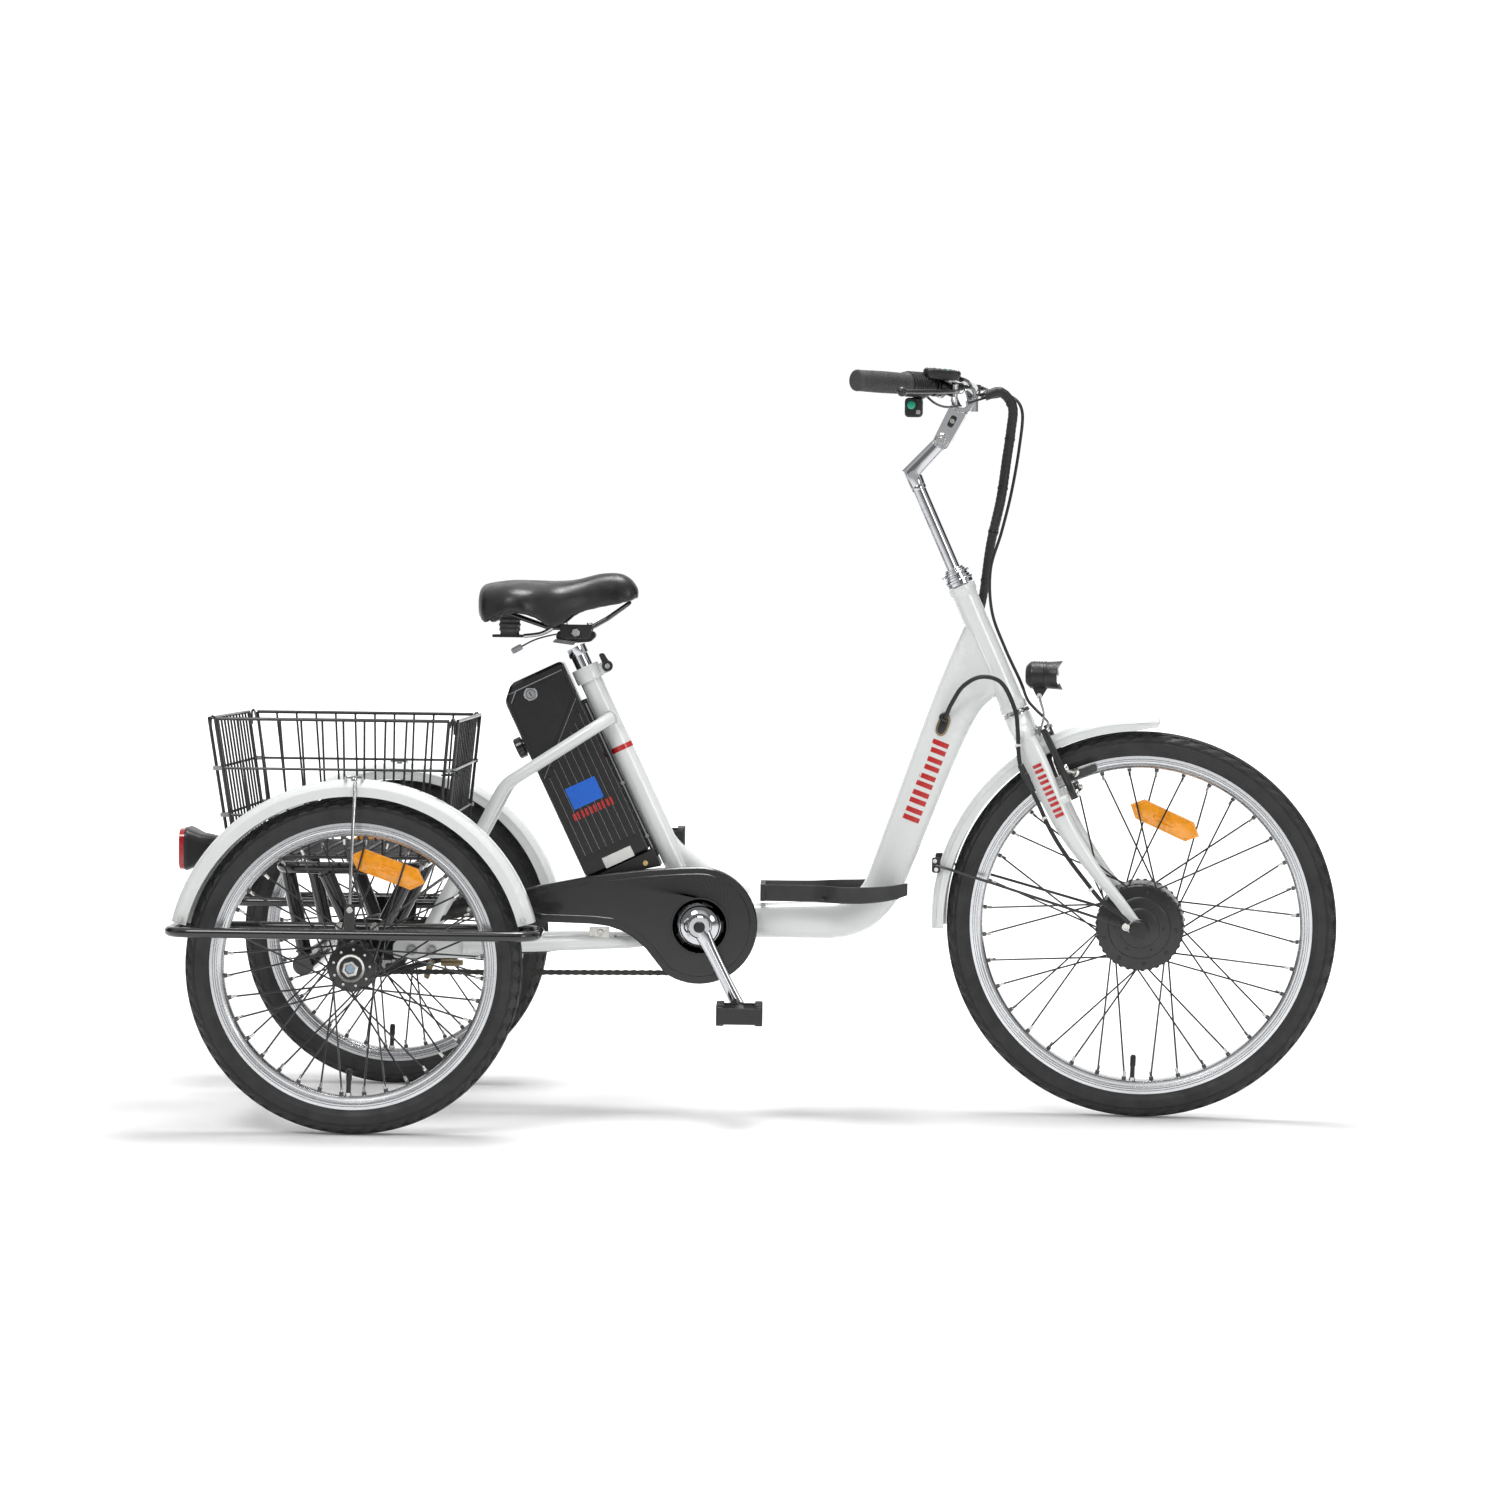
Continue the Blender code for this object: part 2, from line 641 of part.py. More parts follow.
def chain_case_outline(inset=0.0):
    """The side of the case: a round front about the crank and a tail that narrows towards the rear wheel."""
    centre = Vector((CRANK_CENTRE.x - 0.001, CRANK_CENTRE.z + 0.001))
    radius = 0.0895 - inset
    outline = []
    for k in range(17):
        angle = radians(-125 + 215 * k / 16)
        outline.append((centre.x + radius * cos(angle), centre.y + radius * sin(angle)))
    tail_top = [(0.420, 0.3775), (0.335, 0.367), (0.207, 0.339)]
    tail_bottom = [(0.256, 0.2955), (0.336, 0.2935), (0.375, 0.286), (0.410, 0.264)]
    outline += [(x + (inset if x < 0.25 else 0), z - inset) for x, z in tail_top]
    outline += [(x + (0.6 * inset), z + inset) for x, z in tail_bottom]
    return outline


def chain_case():
    """A shell over the ring and the chain's upper run, open towards the frame."""
    outer, inner = -0.0665, -0.0445
    shell = slab("chain_case", chain_case_outline(), outer, inner)
    pocket = slab("pocket", chain_case_outline(0.0026), outer + 0.0022, inner + 0.01)
    opening = rod("opening", CRANK_CENTRE + Y_AXIS * (outer - 0.01), CRANK_CENTRE + Y_AXIS * (inner + 0.01), 0.042, 24)
    upper = block("upper_run", (0.195, outer + 0.0022, 0.300), (0.275, inner + 0.01, 0.332))
    lower = block("lower_run", (0.395, outer + 0.0022, 0.207), (0.480, inner + 0.01, 0.231))
    cut(shell, pocket, opening, upper, lower)
    return finish(shell, BLACK, 0.3)


def chainring():
    """The chrome ring with a dished centre, riveted to the right crank."""
    reach = pitch_radius(RING_TEETH) - CHAIN_HALF_HEIGHT - 0.0006
    profile = [(0.0092, 0.0015), (0.030, 0.0015), (0.044, 0.0015), (reach, 0.0015), (reach, -0.0015),
               (0.044, -0.0015), (0.030, -0.0085), (0.0092, -0.0085)]
    return finish(turned("chainring", profile, Vector((CRANK_CENTRE.x, CHAIN_Y, CRANK_CENTRE.z)), Y_AXIS, 28), CHROME,
                  0.15, 1.0)


def rear_sprocket():
    reach = pitch_radius(SPROCKET_TEETH) - CHAIN_HALF_HEIGHT - 0.0006
    bore = AXLE_R + GAP
    profile = [(bore, -0.008), (0.018, -0.008), (0.018, -0.0015), (reach, -0.0015), (reach, 0.0015), (0.018, 0.0015),
               (0.018, 0.009), (bore, 0.009)]
    return finish(turned("rear_sprocket", profile, Vector((0, CHAIN_Y, REAR_R)), Y_AXIS, 24), STEEL, 0.35, 1.0)


def crank_end(side):
    """The pedal axle's place: the left crank is opposite the right one."""
    angle = CRANK_ANGLE if side < 0 else CRANK_ANGLE + pi
    return CRANK_CENTRE + Vector((cos(angle), 0, sin(angle))) * CRANK_LENGTH


def crank_arm(name, side):
    end = crank_end(side)
    along = (end - CRANK_CENTRE).normalized()
    across = along.cross(Y_AXIS)
    outline = [(-0.014, -0.009), (-0.009, -0.0145), (0.010, -0.0145), (0.030, -0.0105), (CRANK_LENGTH, -0.0100),
               (CRANK_LENGTH + 0.010, -0.006)]
    outline += [(a, -b) for a, b in reversed(outline)]
    inner, outer = sorted((side * 0.0745, side * 0.0865))
    return slab(name, outline, inner, outer, CRANK_CENTRE, along, across)


def crank_right():
    arm = crank_arm("crank_right", -1)
    cut(arm, rod("bore", CRANK_CENTRE - Y_AXIS * 0.07, CRANK_CENTRE - Y_AXIS * 0.09, 0.0085 + GAP, 16))
    end = crank_end(-1)
    cut(arm, rod("bore", end - Y_AXIS * 0.07, end - Y_AXIS * 0.09, 0.0050 + GAP, 12))
    return finish(arm, CHROME, 0.12, 1.0)


def crank_left():
    """The left crank with the crank axle that runs through the frame."""
    arm = crank_arm("crank_left", 1)
    end = crank_end(1)
    cut(arm, rod("bore", end + Y_AXIS * 0.07, end + Y_AXIS * 0.09, 0.0050 + GAP, 12))
    join(arm, rod("axle", CRANK_CENTRE - Y_AXIS * 0.0885, CRANK_CENTRE + Y_AXIS * 0.0800, 0.0085, 16))
    return finish(arm, CHROME, 0.12, 1.0)


def pedal(name, side):
    """A flat pedal with a spindle that turns in the crank's end."""
    end = crank_end(side)
    half_length, half_height = 0.0345, 0.0130
    inner, outer = sorted((side * 0.0950, side * 0.1900))
    outline = rounded(rectangle(-half_length, half_length, -half_height, half_height), 0.006, 2)
    body = slab(name, outline, inner, outer, Vector((end.x, 0, end.z)))
    join(body, rod("spindle", end + Y_AXIS * (side * 0.0750), end + Y_AXIS * (side * 0.1000), 0.0050, 12))
    return finish(body, BLACK, 0.6)


def footboard():
    """A shallow tray on the beam: narrow at the back, wide and turned up at the front."""
    top, floor = 0.3560, 0.3305
    rings = []
    stations = ((0.592, 0.052, 0.0), (0.662, 0.056, 0.0), (0.712, 0.088, 0.0), (0.752, 0.095, 0.001),
                (0.790, 0.095, 0.006), (0.816, 0.090, 0.014))
    for x, half, rise in stations:
        low = floor + rise
        high = top + rise * 0.55
        section = [(-half, high), (-half + 0.004, low), (half - 0.004, low), (half, high), (half - 0.004, high),
                   (half - 0.008, low + 0.004), (-half + 0.008, low + 0.004), (-half + 0.004, high)]
        rings.append([Vector((x, y, z)) for y, z in section])
    board = cut(loft("footboard", rings), main_tube(0.0012))
    return finish(board, BLACK, 0.55)


# ---------------------------------------------------------------- battery
def battery_outline(bottom, top, radius):
    corners = [(BATTERY_FRONT, bottom), (BATTERY_BACK, bottom), (BATTERY_BACK, top - 0.022), (BATTERY_BACK - 0.020, top),
               (BATTERY_FRONT, top)]
    return rounded(corners, radius, 2)


def battery_case():
    case = slab("battery_case", battery_outline(BATTERY_BOTTOM, BATTERY_TOP, 0.008), -BATTERY_HALF_WIDTH,
                BATTERY_HALF_WIDTH, SEAT_FOOT, SEAT_BACK, SEAT_UP)
    cut(case, rod("socket", battery_lock_at(-0.0500), battery_lock_at(-0.0300), 0.0072, 16))
    return finish(case, BLACK, 0.35)


def battery_lock_at(left):
    return seat(0.4330, 0.0910, left)


def battery_lock():
    profile = [(0, 0), (0.0069, 0), (0.0069, 0.0080), (0, 0.0080)]
    return finish(turned("battery_lock", profile, battery_lock_at(-0.0384), Y_AXIS, 16, closed=False), CHROME, 0.2, 1.0)


def battery_dock():
    """The rail on the seat tube and the box that the battery stands in."""
    rail = slab("battery_dock", rectangle(SEAT_TUBE_R + 0.0005, BATTERY_FRONT - 0.0010, 0.125, 0.380), -0.014, 0.014,
                SEAT_FOOT, SEAT_BACK, SEAT_UP)
    base = slab("base", [(SEAT_TUBE_R + 0.0030, 0.108), (BATTERY_BACK, 0.137), (BATTERY_BACK, BATTERY_BOTTOM - 0.0006),
                         (SEAT_TUBE_R + 0.0030, BATTERY_BOTTOM - 0.0006)], -BATTERY_HALF_WIDTH + 0.001,
                BATTERY_HALF_WIDTH - 0.001, SEAT_FOOT, SEAT_BACK, SEAT_UP)
    join(rail, base)
    return finish(rail, BLACK, 0.4)


# ---------------------------------------------------------------- saddle
def seat_post():
    post = rod("seat_post", seat(0.3250), seat(0.4700), SEAT_POST_R, 16)
    return finish(post, CHROME, 0.1, 1.0)


def saddle_clamp():
    """The socket on the post's top with a bolted head that grips the rails."""
    socket = sleeve("saddle_clamp", seat(0.4480), seat(0.4702), SEAT_POST_R + GAP, 0.0185)
    head = slab("head", rounded([(0.284, 0.7200), (0.326, 0.7235), (0.335, 0.7320), (0.332, 0.7400), (0.276, 0.7400),
                                 (0.272, 0.7290)], 0.004, 2), -0.0210, 0.0210)
    cut(head, rod("space", seat(0.4400), seat(0.4703), SEAT_POST_R + GAP, 16))
    join(socket, head)
    return finish(socket, BLACK, 0.35)


def saddle_rails():
    """Two rails joined at the nose."""
    half = [Vector((0.385, 0.006, 0.784)), Vector((0.352, 0.020, 0.760)), Vector((0.325, 0.0215, 0.7445)),
            Vector((0.262, 0.0215, 0.7445)), Vector((0.205, 0.038, 0.7640))]
    path = [mirrored(p) for p in reversed(half)] + half
    return finish(tube("saddle_rails", path, 0.0034, 6, side_axis=Z_AXIS), STEEL, 0.3, 1.0)


def saddle_section(x, half, top, edge, ceiling):
    """One slice across the saddle: crowned top, rounded edges and turned-down sides over a hollow underside."""
    wall = 0.013
    outer = []
    for k in range(9):
        angle = pi * k / 8
        y = -half * cos(angle)
        height = edge + (top - edge) * sin(angle) ** 0.55
        outer.append((y, height))
    inner = [(half - wall, edge + 0.001), (half - wall - 0.002, ceiling), (-half + wall + 0.002, ceiling),
             (-half + wall, edge + 0.001)]
    return [Vector((x, y, z)) for y, z in outer + inner]


def saddle():
    """A wide touring saddle: broad rear, dipped middle and a raised nose."""
    stations = ((0.156, 0.060, 0.806, 0.768, 0.782), (0.172, 0.090, 0.815, 0.756, 0.782), (0.205, 0.105, 0.8195, 0.765, 0.783),
                (0.240, 0.098, 0.8190, 0.760, 0.784), (0.272, 0.072, 0.8185, 0.744, 0.784),
                (0.305, 0.050, 0.8220, 0.766, 0.788), (0.340, 0.038, 0.8310, 0.776, 0.795),
                (0.370, 0.034, 0.8320, 0.782, 0.799), (0.388, 0.029, 0.8230, 0.787, 0.800),
                (0.399, 0.018, 0.8080, 0.790, 0.7945))
    return finish(loft("saddle", [saddle_section(*s) for s in stations]), BLACK, 0.5)


# ---------------------------------------------------------------- fork and front wheel
BLADE_PATH = [(0.999, 0.050, 0.584), (1.017, 0.052, 0.551), (1.062, 0.054, 0.457), (1.110, 0.054, 0.387),
              (1.148, 0.0530, 0.341), (1.174, 0.0515, 0.306)]
BLADE_DEPTH = [0.018, 0.0185, 0.0150, 0.0100, 0.0085, 0.0080]
BLADE_WIDTH = [0.0095, 0.0095, 0.0090, 0.0075, 0.0060, 0.0045]
BRAKE_BOSS = Vector((1.0610, 0.0, 0.4960))
BRAKE_OUT = Vector((0.898, 0.0, 0.440)).normalized()
BRAKE_UP = Vector((-0.440, 0.0, 0.898)).normalized()
BOSS_Y = 0.0540


def fork_end(side):
    """The axle plate with an eyelet for the mudguard stay."""
    outline = rounded([(WHEELBASE - 0.030, 0.292), (WHEELBASE + 0.002, 0.283), (WHEELBASE + 0.015, 0.292),
                       (WHEELBASE + 0.012, 0.312), (WHEELBASE - 0.010, 0.322), (WHEELBASE - 0.030, 0.314)], 0.008, 2)
    inner, outer = sorted((side * 0.0505, side * 0.0565))
    return slab("end", outline, inner, outer)


def fork():
    body = rod("fork", steer(-0.2140), steer(0.0200), STEERER_R, 16)
    crown = [(-0.2130, 0.0200, 0.0200), (-0.2260, 0.0210, 0.0260), (-0.2400, 0.0205, 0.0520), (-0.2560, 0.0185, 0.0600)]
    rings = [oval(steer(up), STEER_FORWARD, Y_AXIS, deep, wide, 12, 0.75) for up, deep, wide in crown]
    join(body, loft("crown", rings))
    for side in SIDES.values():
        path = [sided(p, side) for p in BLADE_PATH]
        join(body, tube("blade", path, BLADE_DEPTH, 10, depth=BLADE_WIDTH), fork_end(side))
        boss = sided((BRAKE_BOSS.x, BOSS_Y, BRAKE_BOSS.z), side)
        join(body, rod("boss", boss - BRAKE_OUT * 0.018, boss + BRAKE_OUT * 0.026, 0.0040, 10))
    cut(body, rod("bore", steer(-0.150), steer(0.030), QUILL_R + GAP, 16))
    hub = Vector((WHEELBASE, 0, FRONT_R))
    cut(body, rod("bore", hub - Y_AXIS * 0.07, hub + Y_AXIS * 0.07, FRONT_AXLE_R + GAP, 12))
    return finish(body, WHITE, 0.25)


def motor_axle():
    hub = Vector((WHEELBASE, 0, FRONT_R))
    axle = axle_with_nuts("motor_axle", hub, FRONT_AXLE_R, 0.076, 0.0100, 0.0569, 0.010)
    return finish(axle, STEEL, 0.3, 1.0)


def front_mudguard():
    """The front mudguard with its wire stays to the fork ends."""
    hub = Vector((WHEELBASE, 0, FRONT_R))
    guard = mudguard("front_fender", hub, 0.3240, 85.6, 182.0, 0.0290, 0.026, 14)
    for side in SIDES.values():
        path = [sided((0.8805, 0.0278, 0.3840), side), sided((0.8920, 0.0350, 0.3815), side),
                sided((1.110, 0.0655, 0.3180), side), sided((1.163, 0.0655, 0.3020), side)]
        join(guard, tube("stay", path, 0.0022, 6))
    return finish(guard, WHITE, 0.25)


def headlight_bracket():
    """A bent wire strap from the crown up to the lamp's foot."""
    path = [Vector((1.0190, 0, 0.5960)), Vector((1.0230, 0, 0.6150)), Vector((1.0180, 0, 0.6440))]
    strap = tube("headlight_bracket", path, 0.0016, 4, depth=0.0070)
    return finish(strap, STEEL, 0.3, 1.0)


LAMP_PIVOT = Vector((1.0180, 0.0, 0.6500))


def headlight():
    """A drum-shaped lamp with a scooped front and a small foot."""
    mid = Vector((0, 0, 0.6815))
    rings = []
    for x, half_y, half_z in ((0.9965, 0.016, 0.015), (1.0040, 0.020, 0.0205), (1.0300, 0.0215, 0.0205),
                              (1.0530, 0.0240, 0.0225)):
        rings.append(oval(mid + X_AXIS * x, Y_AXIS, Z_AXIS, half_y, half_z, 14))
    body = loft("headlight", rings)
    scoop = loft("scoop", [oval(mid + X_AXIS * x, Y_AXIS, Z_AXIS, y, z, 14)
                           for x, y, z in ((1.0420, 0.0170, 0.0160), (1.0600, 0.0225, 0.0210))])
    cut(body, scoop)
    foot = slab("foot", [(1.0080, 0.6620), (1.0155, 0.6465), (1.0205, 0.6465), (1.0300, 0.6620)], -0.005, 0.005)
    join(body, foot)
    return finish(body, BLACK, 0.35)


def brake_arm(name, side):
    """One arm of the rim brake: boss eye, arm, shoe and the end that the cable pulls."""
    origin = Vector((BRAKE_BOSS.x, 0, BRAKE_BOSS.z))
    low, high = 0.0100, 0.0220

    def across(points):
        outline = [(side * a, b) for a, b in points]
        return slab("piece", outline, low, high, origin, Y_AXIS, BRAKE_UP, BRAKE_OUT)

    arm = across([(BOSS_Y - 0.0095, -0.009), (BOSS_Y + 0.0095, -0.009), (BOSS_Y + 0.0095, 0.014), (0.0520, 0.045),
                  (0.0490, 0.112), (0.0380, 0.112), (0.0400, 0.045), (BOSS_Y - 0.0105, 0.014)])
    arm.name = name
    boss = origin + Y_AXIS * (side * BOSS_Y)
    cut(arm, rod("eye", boss, boss + BRAKE_OUT * 0.030, 0.0043, 10))
    shoe_at = Vector((1.0833, side * 0.0205, 0.5327))
    rim_way = Vector((0.926, 0, 0.377))
    up = rim_way.cross(Y_AXIS).normalized()
    shoe = slab("shoe", rectangle(-0.027, 0.027, -0.0055, 0.0055), -0.0045, 0.0045, shoe_at, rim_way, up)
    held = origin + BRAKE_UP * 0.042 + BRAKE_OUT * 0.016 + Y_AXIS * (side * 0.0470)
    pin = rod("pin", shoe_at, held, 0.0045, 8)
    join(arm, shoe, pin)
    return finish(arm, BLACK, 0.4)


# ---------------------------------------------------------------- bars and controls
STEM_KNUCKLE = Vector((0.8640, 0.0, 1.0400))
BAR_CENTRE = Vector((0.8950, 0.0, 1.1000))
BAR_SHOULDER = (0.8970, 0.1500, 1.1200)
BAR_END = (0.7650, 0.3110, 1.1280)


def bar_point(side, from_end):
    """A point on the straight grip part of the bar, measured in from its end."""
    end = sided(BAR_END, side)
    return end + (sided(BAR_SHOULDER, side) - end).normalized() * from_end


def bar_inward(side):
    return (sided(BAR_SHOULDER, side) - sided(BAR_END, side)).normalized()


def stem_post():
    """The height-adjustable post: quill, elbow and the lower half of the hinged arm."""
    elbow = steer(0.1890)
    path = [steer(-0.0900), steer(0.1500), steer(0.1740), elbow + Vector((0.008, 0, 0.010)),
            elbow + (STEM_KNUCKLE - elbow) * 0.45, STEM_KNUCKLE]
    radii = [QUILL_R, QUILL_R, 0.0125, 0.0140, 0.0130, 0.0110]
    post = tube("stem_post", path, radii, 14)
    cheeks = [block("side", (STEM_KNUCKLE.x - 0.0165, y, STEM_KNUCKLE.z - 0.024),
                    (STEM_KNUCKLE.x + 0.030, y + 0.02, STEM_KNUCKLE.z + 0.030)) for y in (0.0060, -0.0260)]
    cut(post, *cheeks)
    join(post, rod("knuckle", STEM_KNUCKLE - Y_AXIS * 0.0060, STEM_KNUCKLE + Y_AXIS * 0.0060, 0.0130, 16))
    return finish(post, CHROME, 0.1, 1.0)


def stem_arm():
    """The tilting upper half: two cheeks beside the knuckle and a clamp round the bar."""
    along = (BAR_CENTRE - STEM_KNUCKLE).normalized()
    across = along.cross(Y_AXIS)
    length = (BAR_CENTRE - STEM_KNUCKLE).length
    outline = rounded([(-0.013, -0.013), (length, -0.016), (length, 0.016), (-0.013, 0.013)], 0.010, 3)
    arm = slab("stem_arm", outline, -0.0155, 0.0155, STEM_KNUCKLE, along, across)
    space = slab("space", rectangle(-0.020, 0.0235, -0.030, 0.030), -0.0063, 0.0063, STEM_KNUCKLE, along, across)
    cut(arm, space)
    slot = slab("slot", rounded(rectangle(0.024, 0.040, -0.0055, 0.0055), 0.005, 3), -0.02, 0.02, STEM_KNUCKLE, along,
                across)
    cut(arm, slot)
    join(arm, rod("clamp", BAR_CENTRE - Y_AXIS * 0.0200, BAR_CENTRE + Y_AXIS * 0.0200, 0.0180, 20))
    cut(arm, rod("bore", BAR_CENTRE - Y_AXIS * 0.03, BAR_CENTRE + Y_AXIS * 0.03, BAR_R + GAP, 16))
    return finish(arm, CHROME, 0.15, 1.0)


def handlebar():
    """A bar swept up and back to both grips."""
    right = [sided(BAR_END, -1), sided(BAR_SHOULDER, -1), Vector((0.8950, -0.0450, 1.1000))]
    left = [mirrored(p) for p in reversed(right)]
    path = bend(right + left, 0.060, 3)
    return finish(tube("handlebar", path, BAR_R, 10, side_axis=Z_AXIS), CHROME, 0.15, 1.0)


def grip(name, side, length, outer):
    """A rubber sleeve with a closed end."""
    axis = bar_inward(side)
    start = bar_point(side, -0.004)
    inner = BAR_R + GAP
    profile = [(0, 0), (outer - 0.003, 0), (outer, 0.003), (outer, length), (inner, length), (inner, 0.0035),
               (0, 0.0035)]
    return finish(turned(name, profile, start, axis, 16, closed=False), DARK, 0.7)


def throttle_housing():
    """The throttle's fixed drum with its battery gauge on top."""
    drum = sleeve("throttle_housing", bar_point(-1, 0.1015), bar_point(-1, 0.1400), BAR_R + GAP, 0.0190)
    centre = bar_point(-1, 0.1320) + Vector((0.009, 0.003, 0.0258))
    tilt = Quaternion(Y_AXIS, radians(14)) @ Quaternion(Z_AXIS, radians(8))
    rings = [oval(centre + tilt @ Vector((0, 0, z)), tilt @ X_AXIS, tilt @ Y_AXIS, a, b, 12, 0.5)
             for z, a, b in ((-0.0080, 0.026, 0.017), (0.0020, 0.028, 0.019), (0.0060, 0.025, 0.016))]
    join(drum, loft("gauge", rings))
    return finish(drum, BLACK, 0.4)


LEVER_REACH = 0.1660


LEVER_AHEAD = 0.0360
LEVER_DROP = 0.0080


def lever_ahead(side):
    """Level and square to the grip, pointing forwards."""
    inward = bar_inward(side)
    ahead = Vector((abs(inward.y), side * abs(inward.x), 0))
    return ahead.normalized()


def lever_pivot(side):
    """The brake lever's pin, ahead of the bar."""
    return bar_point(side, LEVER_REACH) + lever_ahead(side) * LEVER_AHEAD - Z_AXIS * LEVER_DROP


def brake_mount(name, side):
    """The clamp on the bar with the fork that holds the lever."""
    ring = sleeve(name, bar_point(side, LEVER_REACH - 0.0110), bar_point(side, LEVER_REACH + 0.0110), BAR_R + GAP,
                  0.0160)
    pin = lever_pivot(side)
    start = bar_point(side, LEVER_REACH)
    out = (pin - start).normalized()
    arm = tube("arm", [start + out * 0.0145, pin + out * 0.006], 0.0100, 8, depth=0.0080, side_axis=Z_AXIS)
    space = rod("space", pin - Z_AXIS * 0.0036, pin + Z_AXIS * 0.0036, 0.0175, 16)
    cut(arm, space)
    trimmed = cut(arm, rod("bar", bar_point(side, 0.100), bar_point(side, 0.200), 0.0140, 12))
    join(ring, trimmed)
    return finish(ring, BLACK, 0.4)


def brake_lever(name, side):
    """A flat lever blade from its pin out in front of the grip."""
    pin = lever_pivot(side)
    outward = -bar_inward(side)
    points = [(0.0, 0.0), (0.022, 0.012), (0.050, 0.018), (0.100, 0.018), (0.140, 0.022)]
    path = [pin + outward * a + lever_ahead(side) * b - Z_AXIS * (0.05 * a) for a, b in points]
    blade = tube(name, path, [0.0060, 0.0065, 0.0060, 0.0060, 0.0070], 8, depth=[0.0028] * 5, side_axis=Z_AXIS)
    return finish(blade, BLACK, 0.4)


POD_CENTRE = Vector((0.8380, -0.2110, 1.0900))


def switch_pod():
    """The lamp and horn switch under the bar."""
    pod = slab("switch_pod", rounded(rectangle(-0.0130, 0.0130, -0.0150, 0.0140), 0.006, 2), -0.0105, 0.0105, POD_CENTRE)
    socket = rod("socket", POD_CENTRE + Vector((-0.003, -0.0200, 0.003)), POD_CENTRE + Vector((-0.003, -0.0060, 0.003)),
                 0.0065, 16)
    cut(pod, socket)
    return finish(pod, BLACK, 0.4)


def horn_button():
    start = POD_CENTRE + Vector((-0.003, -0.0125, 0.003))
    button = rod("horn_button", start, start + Y_AXIS * 0.0045, 0.0061, 16)
    return finish(button, (0.02, 0.55, 0.35), 0.35)


# ---------------------------------------------------------------- cables
def turned_point(point):
    """Where a point of the front end stands once it is turned."""
    turn = Quaternion(STEER_UP, PARKED_TURN)
    return HEAD_TOP + turn @ (Vector(point) - HEAD_TOP)


def front_brake_cable():
    """The brake cable from the bars down the front of the head tube to the brake."""
    path = [Vector(p) for p in ((0.9350, 0.0300, 1.1060), (0.9650, 0.0240, 1.1080), (0.9840, 0.0120, 1.0850),
                                (0.9810, 0.0040, 1.0300), (0.9700, 0.0000, 0.9600), (0.9560, -0.0020, 0.9000),
                                (0.9400, -0.0020, 0.8420), (0.9430, 0.0000, 0.7780), (0.9640, 0.0000, 0.7220),
                                (0.9880, 0.0000, 0.6720),
                                (1.0000, -0.0120, 0.6450), (1.0120, -0.0300, 0.6330), (1.0260, -0.0420, 0.6215))]
    return finish(tube("front_brake_cable", path, 0.0024, 6, side_axis=X_AXIS + Y_AXIS), BLACK, 0.5)


def control_loom():
    """The wrapped bundle from the bars to the frame's left side."""
    high = [turned_point(p) for p in ((0.9280, -0.0060, 1.1080), (0.9520, -0.0040, 1.1140), (0.9700, -0.0020, 1.0920),
                                      (0.9680, 0.0000, 1.0550), (0.9620, 0.0010, 1.0100), (0.9540, 0.0010, 0.9500))]
    low = [Vector(p) for p in ((0.9400, 0.0140, 0.8800), (0.9270, 0.0270, 0.8050), (0.9080, 0.0330, 0.7600),
                               (0.8920, 0.0290, 0.7250))]
    path = high + low
    radii = [0.0075] * 5 + [0.0060] * 5
    return finish(tube("control_loom", path, radii, 8, side_axis=Y_AXIS), BLACK, 0.6)


def motor_cable():
    """The motor's cable from the main tube's side, looping past the head tube and down the right fork blade."""
    near_frame = [Vector(p) for p in ((0.8720, -0.0285, 0.6140), (0.8820, -0.0380, 0.6380), (0.8990, -0.0460, 0.6640),
                                      (0.9260, -0.0520, 0.6780), (0.9560, -0.0580, 0.6690))]
    on_fork = [turned_point(p) for p in ((0.9850, -0.0700, 0.6330), (0.9900, -0.0720, 0.6000), (0.9930, -0.0720, 0.5560),
                                         (1.0030, -0.0720, 0.5300), (1.0230, -0.0715, 0.4900),
                                         (1.0420, -0.0710, 0.4500), (1.0660, -0.0700, 0.4120), (1.0960, -0.0740, 0.3740),
                                         (1.1230, -0.0740, 0.3420), (1.1500, -0.0730, 0.3230))]
    radii = [0.0033] * 8 + [0.0048] * 3 + [0.0033] * 4
    return finish(tube("motor_cable", near_frame + on_fork, radii, 8, side_axis=Y_AXIS), BLACK, 0.5)


# ---------------------------------------------------------------- assembly
def hang_all(empty, *pieces):
    for piece in pieces:
        hang(piece, empty)


def build_frame(root):
    hang_all(root, main_frame(), seat_collar(), rear_carriage(), basket(), tail_light(), footboard(), chain_case(),
             chain(), battery_dock(), band_brake(), motor_cable(), control_loom())
    for word, side in SIDES.items():
        hub = Vector((0, side * TRACK / 2, REAR_R))
        guard = mudguard("rear_fender_" + word, hub, 0.2750, 14.5, 166.5, 0.0320, 0.026, 14)
        hang_all(root, guard_loop("guard_loop_" + word, side), finish(guard, WHITE, 0.25))
    lever = pivot("seat_lever_axis", SEAT_LEVER_PIVOT, root)
    hang_all(lever, seat_lever())


def build_seat_and_battery(root):
    post_line = pivot("seat_post_axis", seat(SEAT_TUBE_LENGTH), root)
    hang_all(post_line, seat_post(), saddle_clamp(), saddle_rails(), saddle())
    dock_line = pivot("battery_axis", seat(BATTERY_BOTTOM, BATTERY_FRONT), root)
    hang_all(dock_line, battery_case())
    lock_line = pivot("battery_lock_axis", battery_lock_at(-0.0384), dock_line)
    hang_all(lock_line, battery_lock())


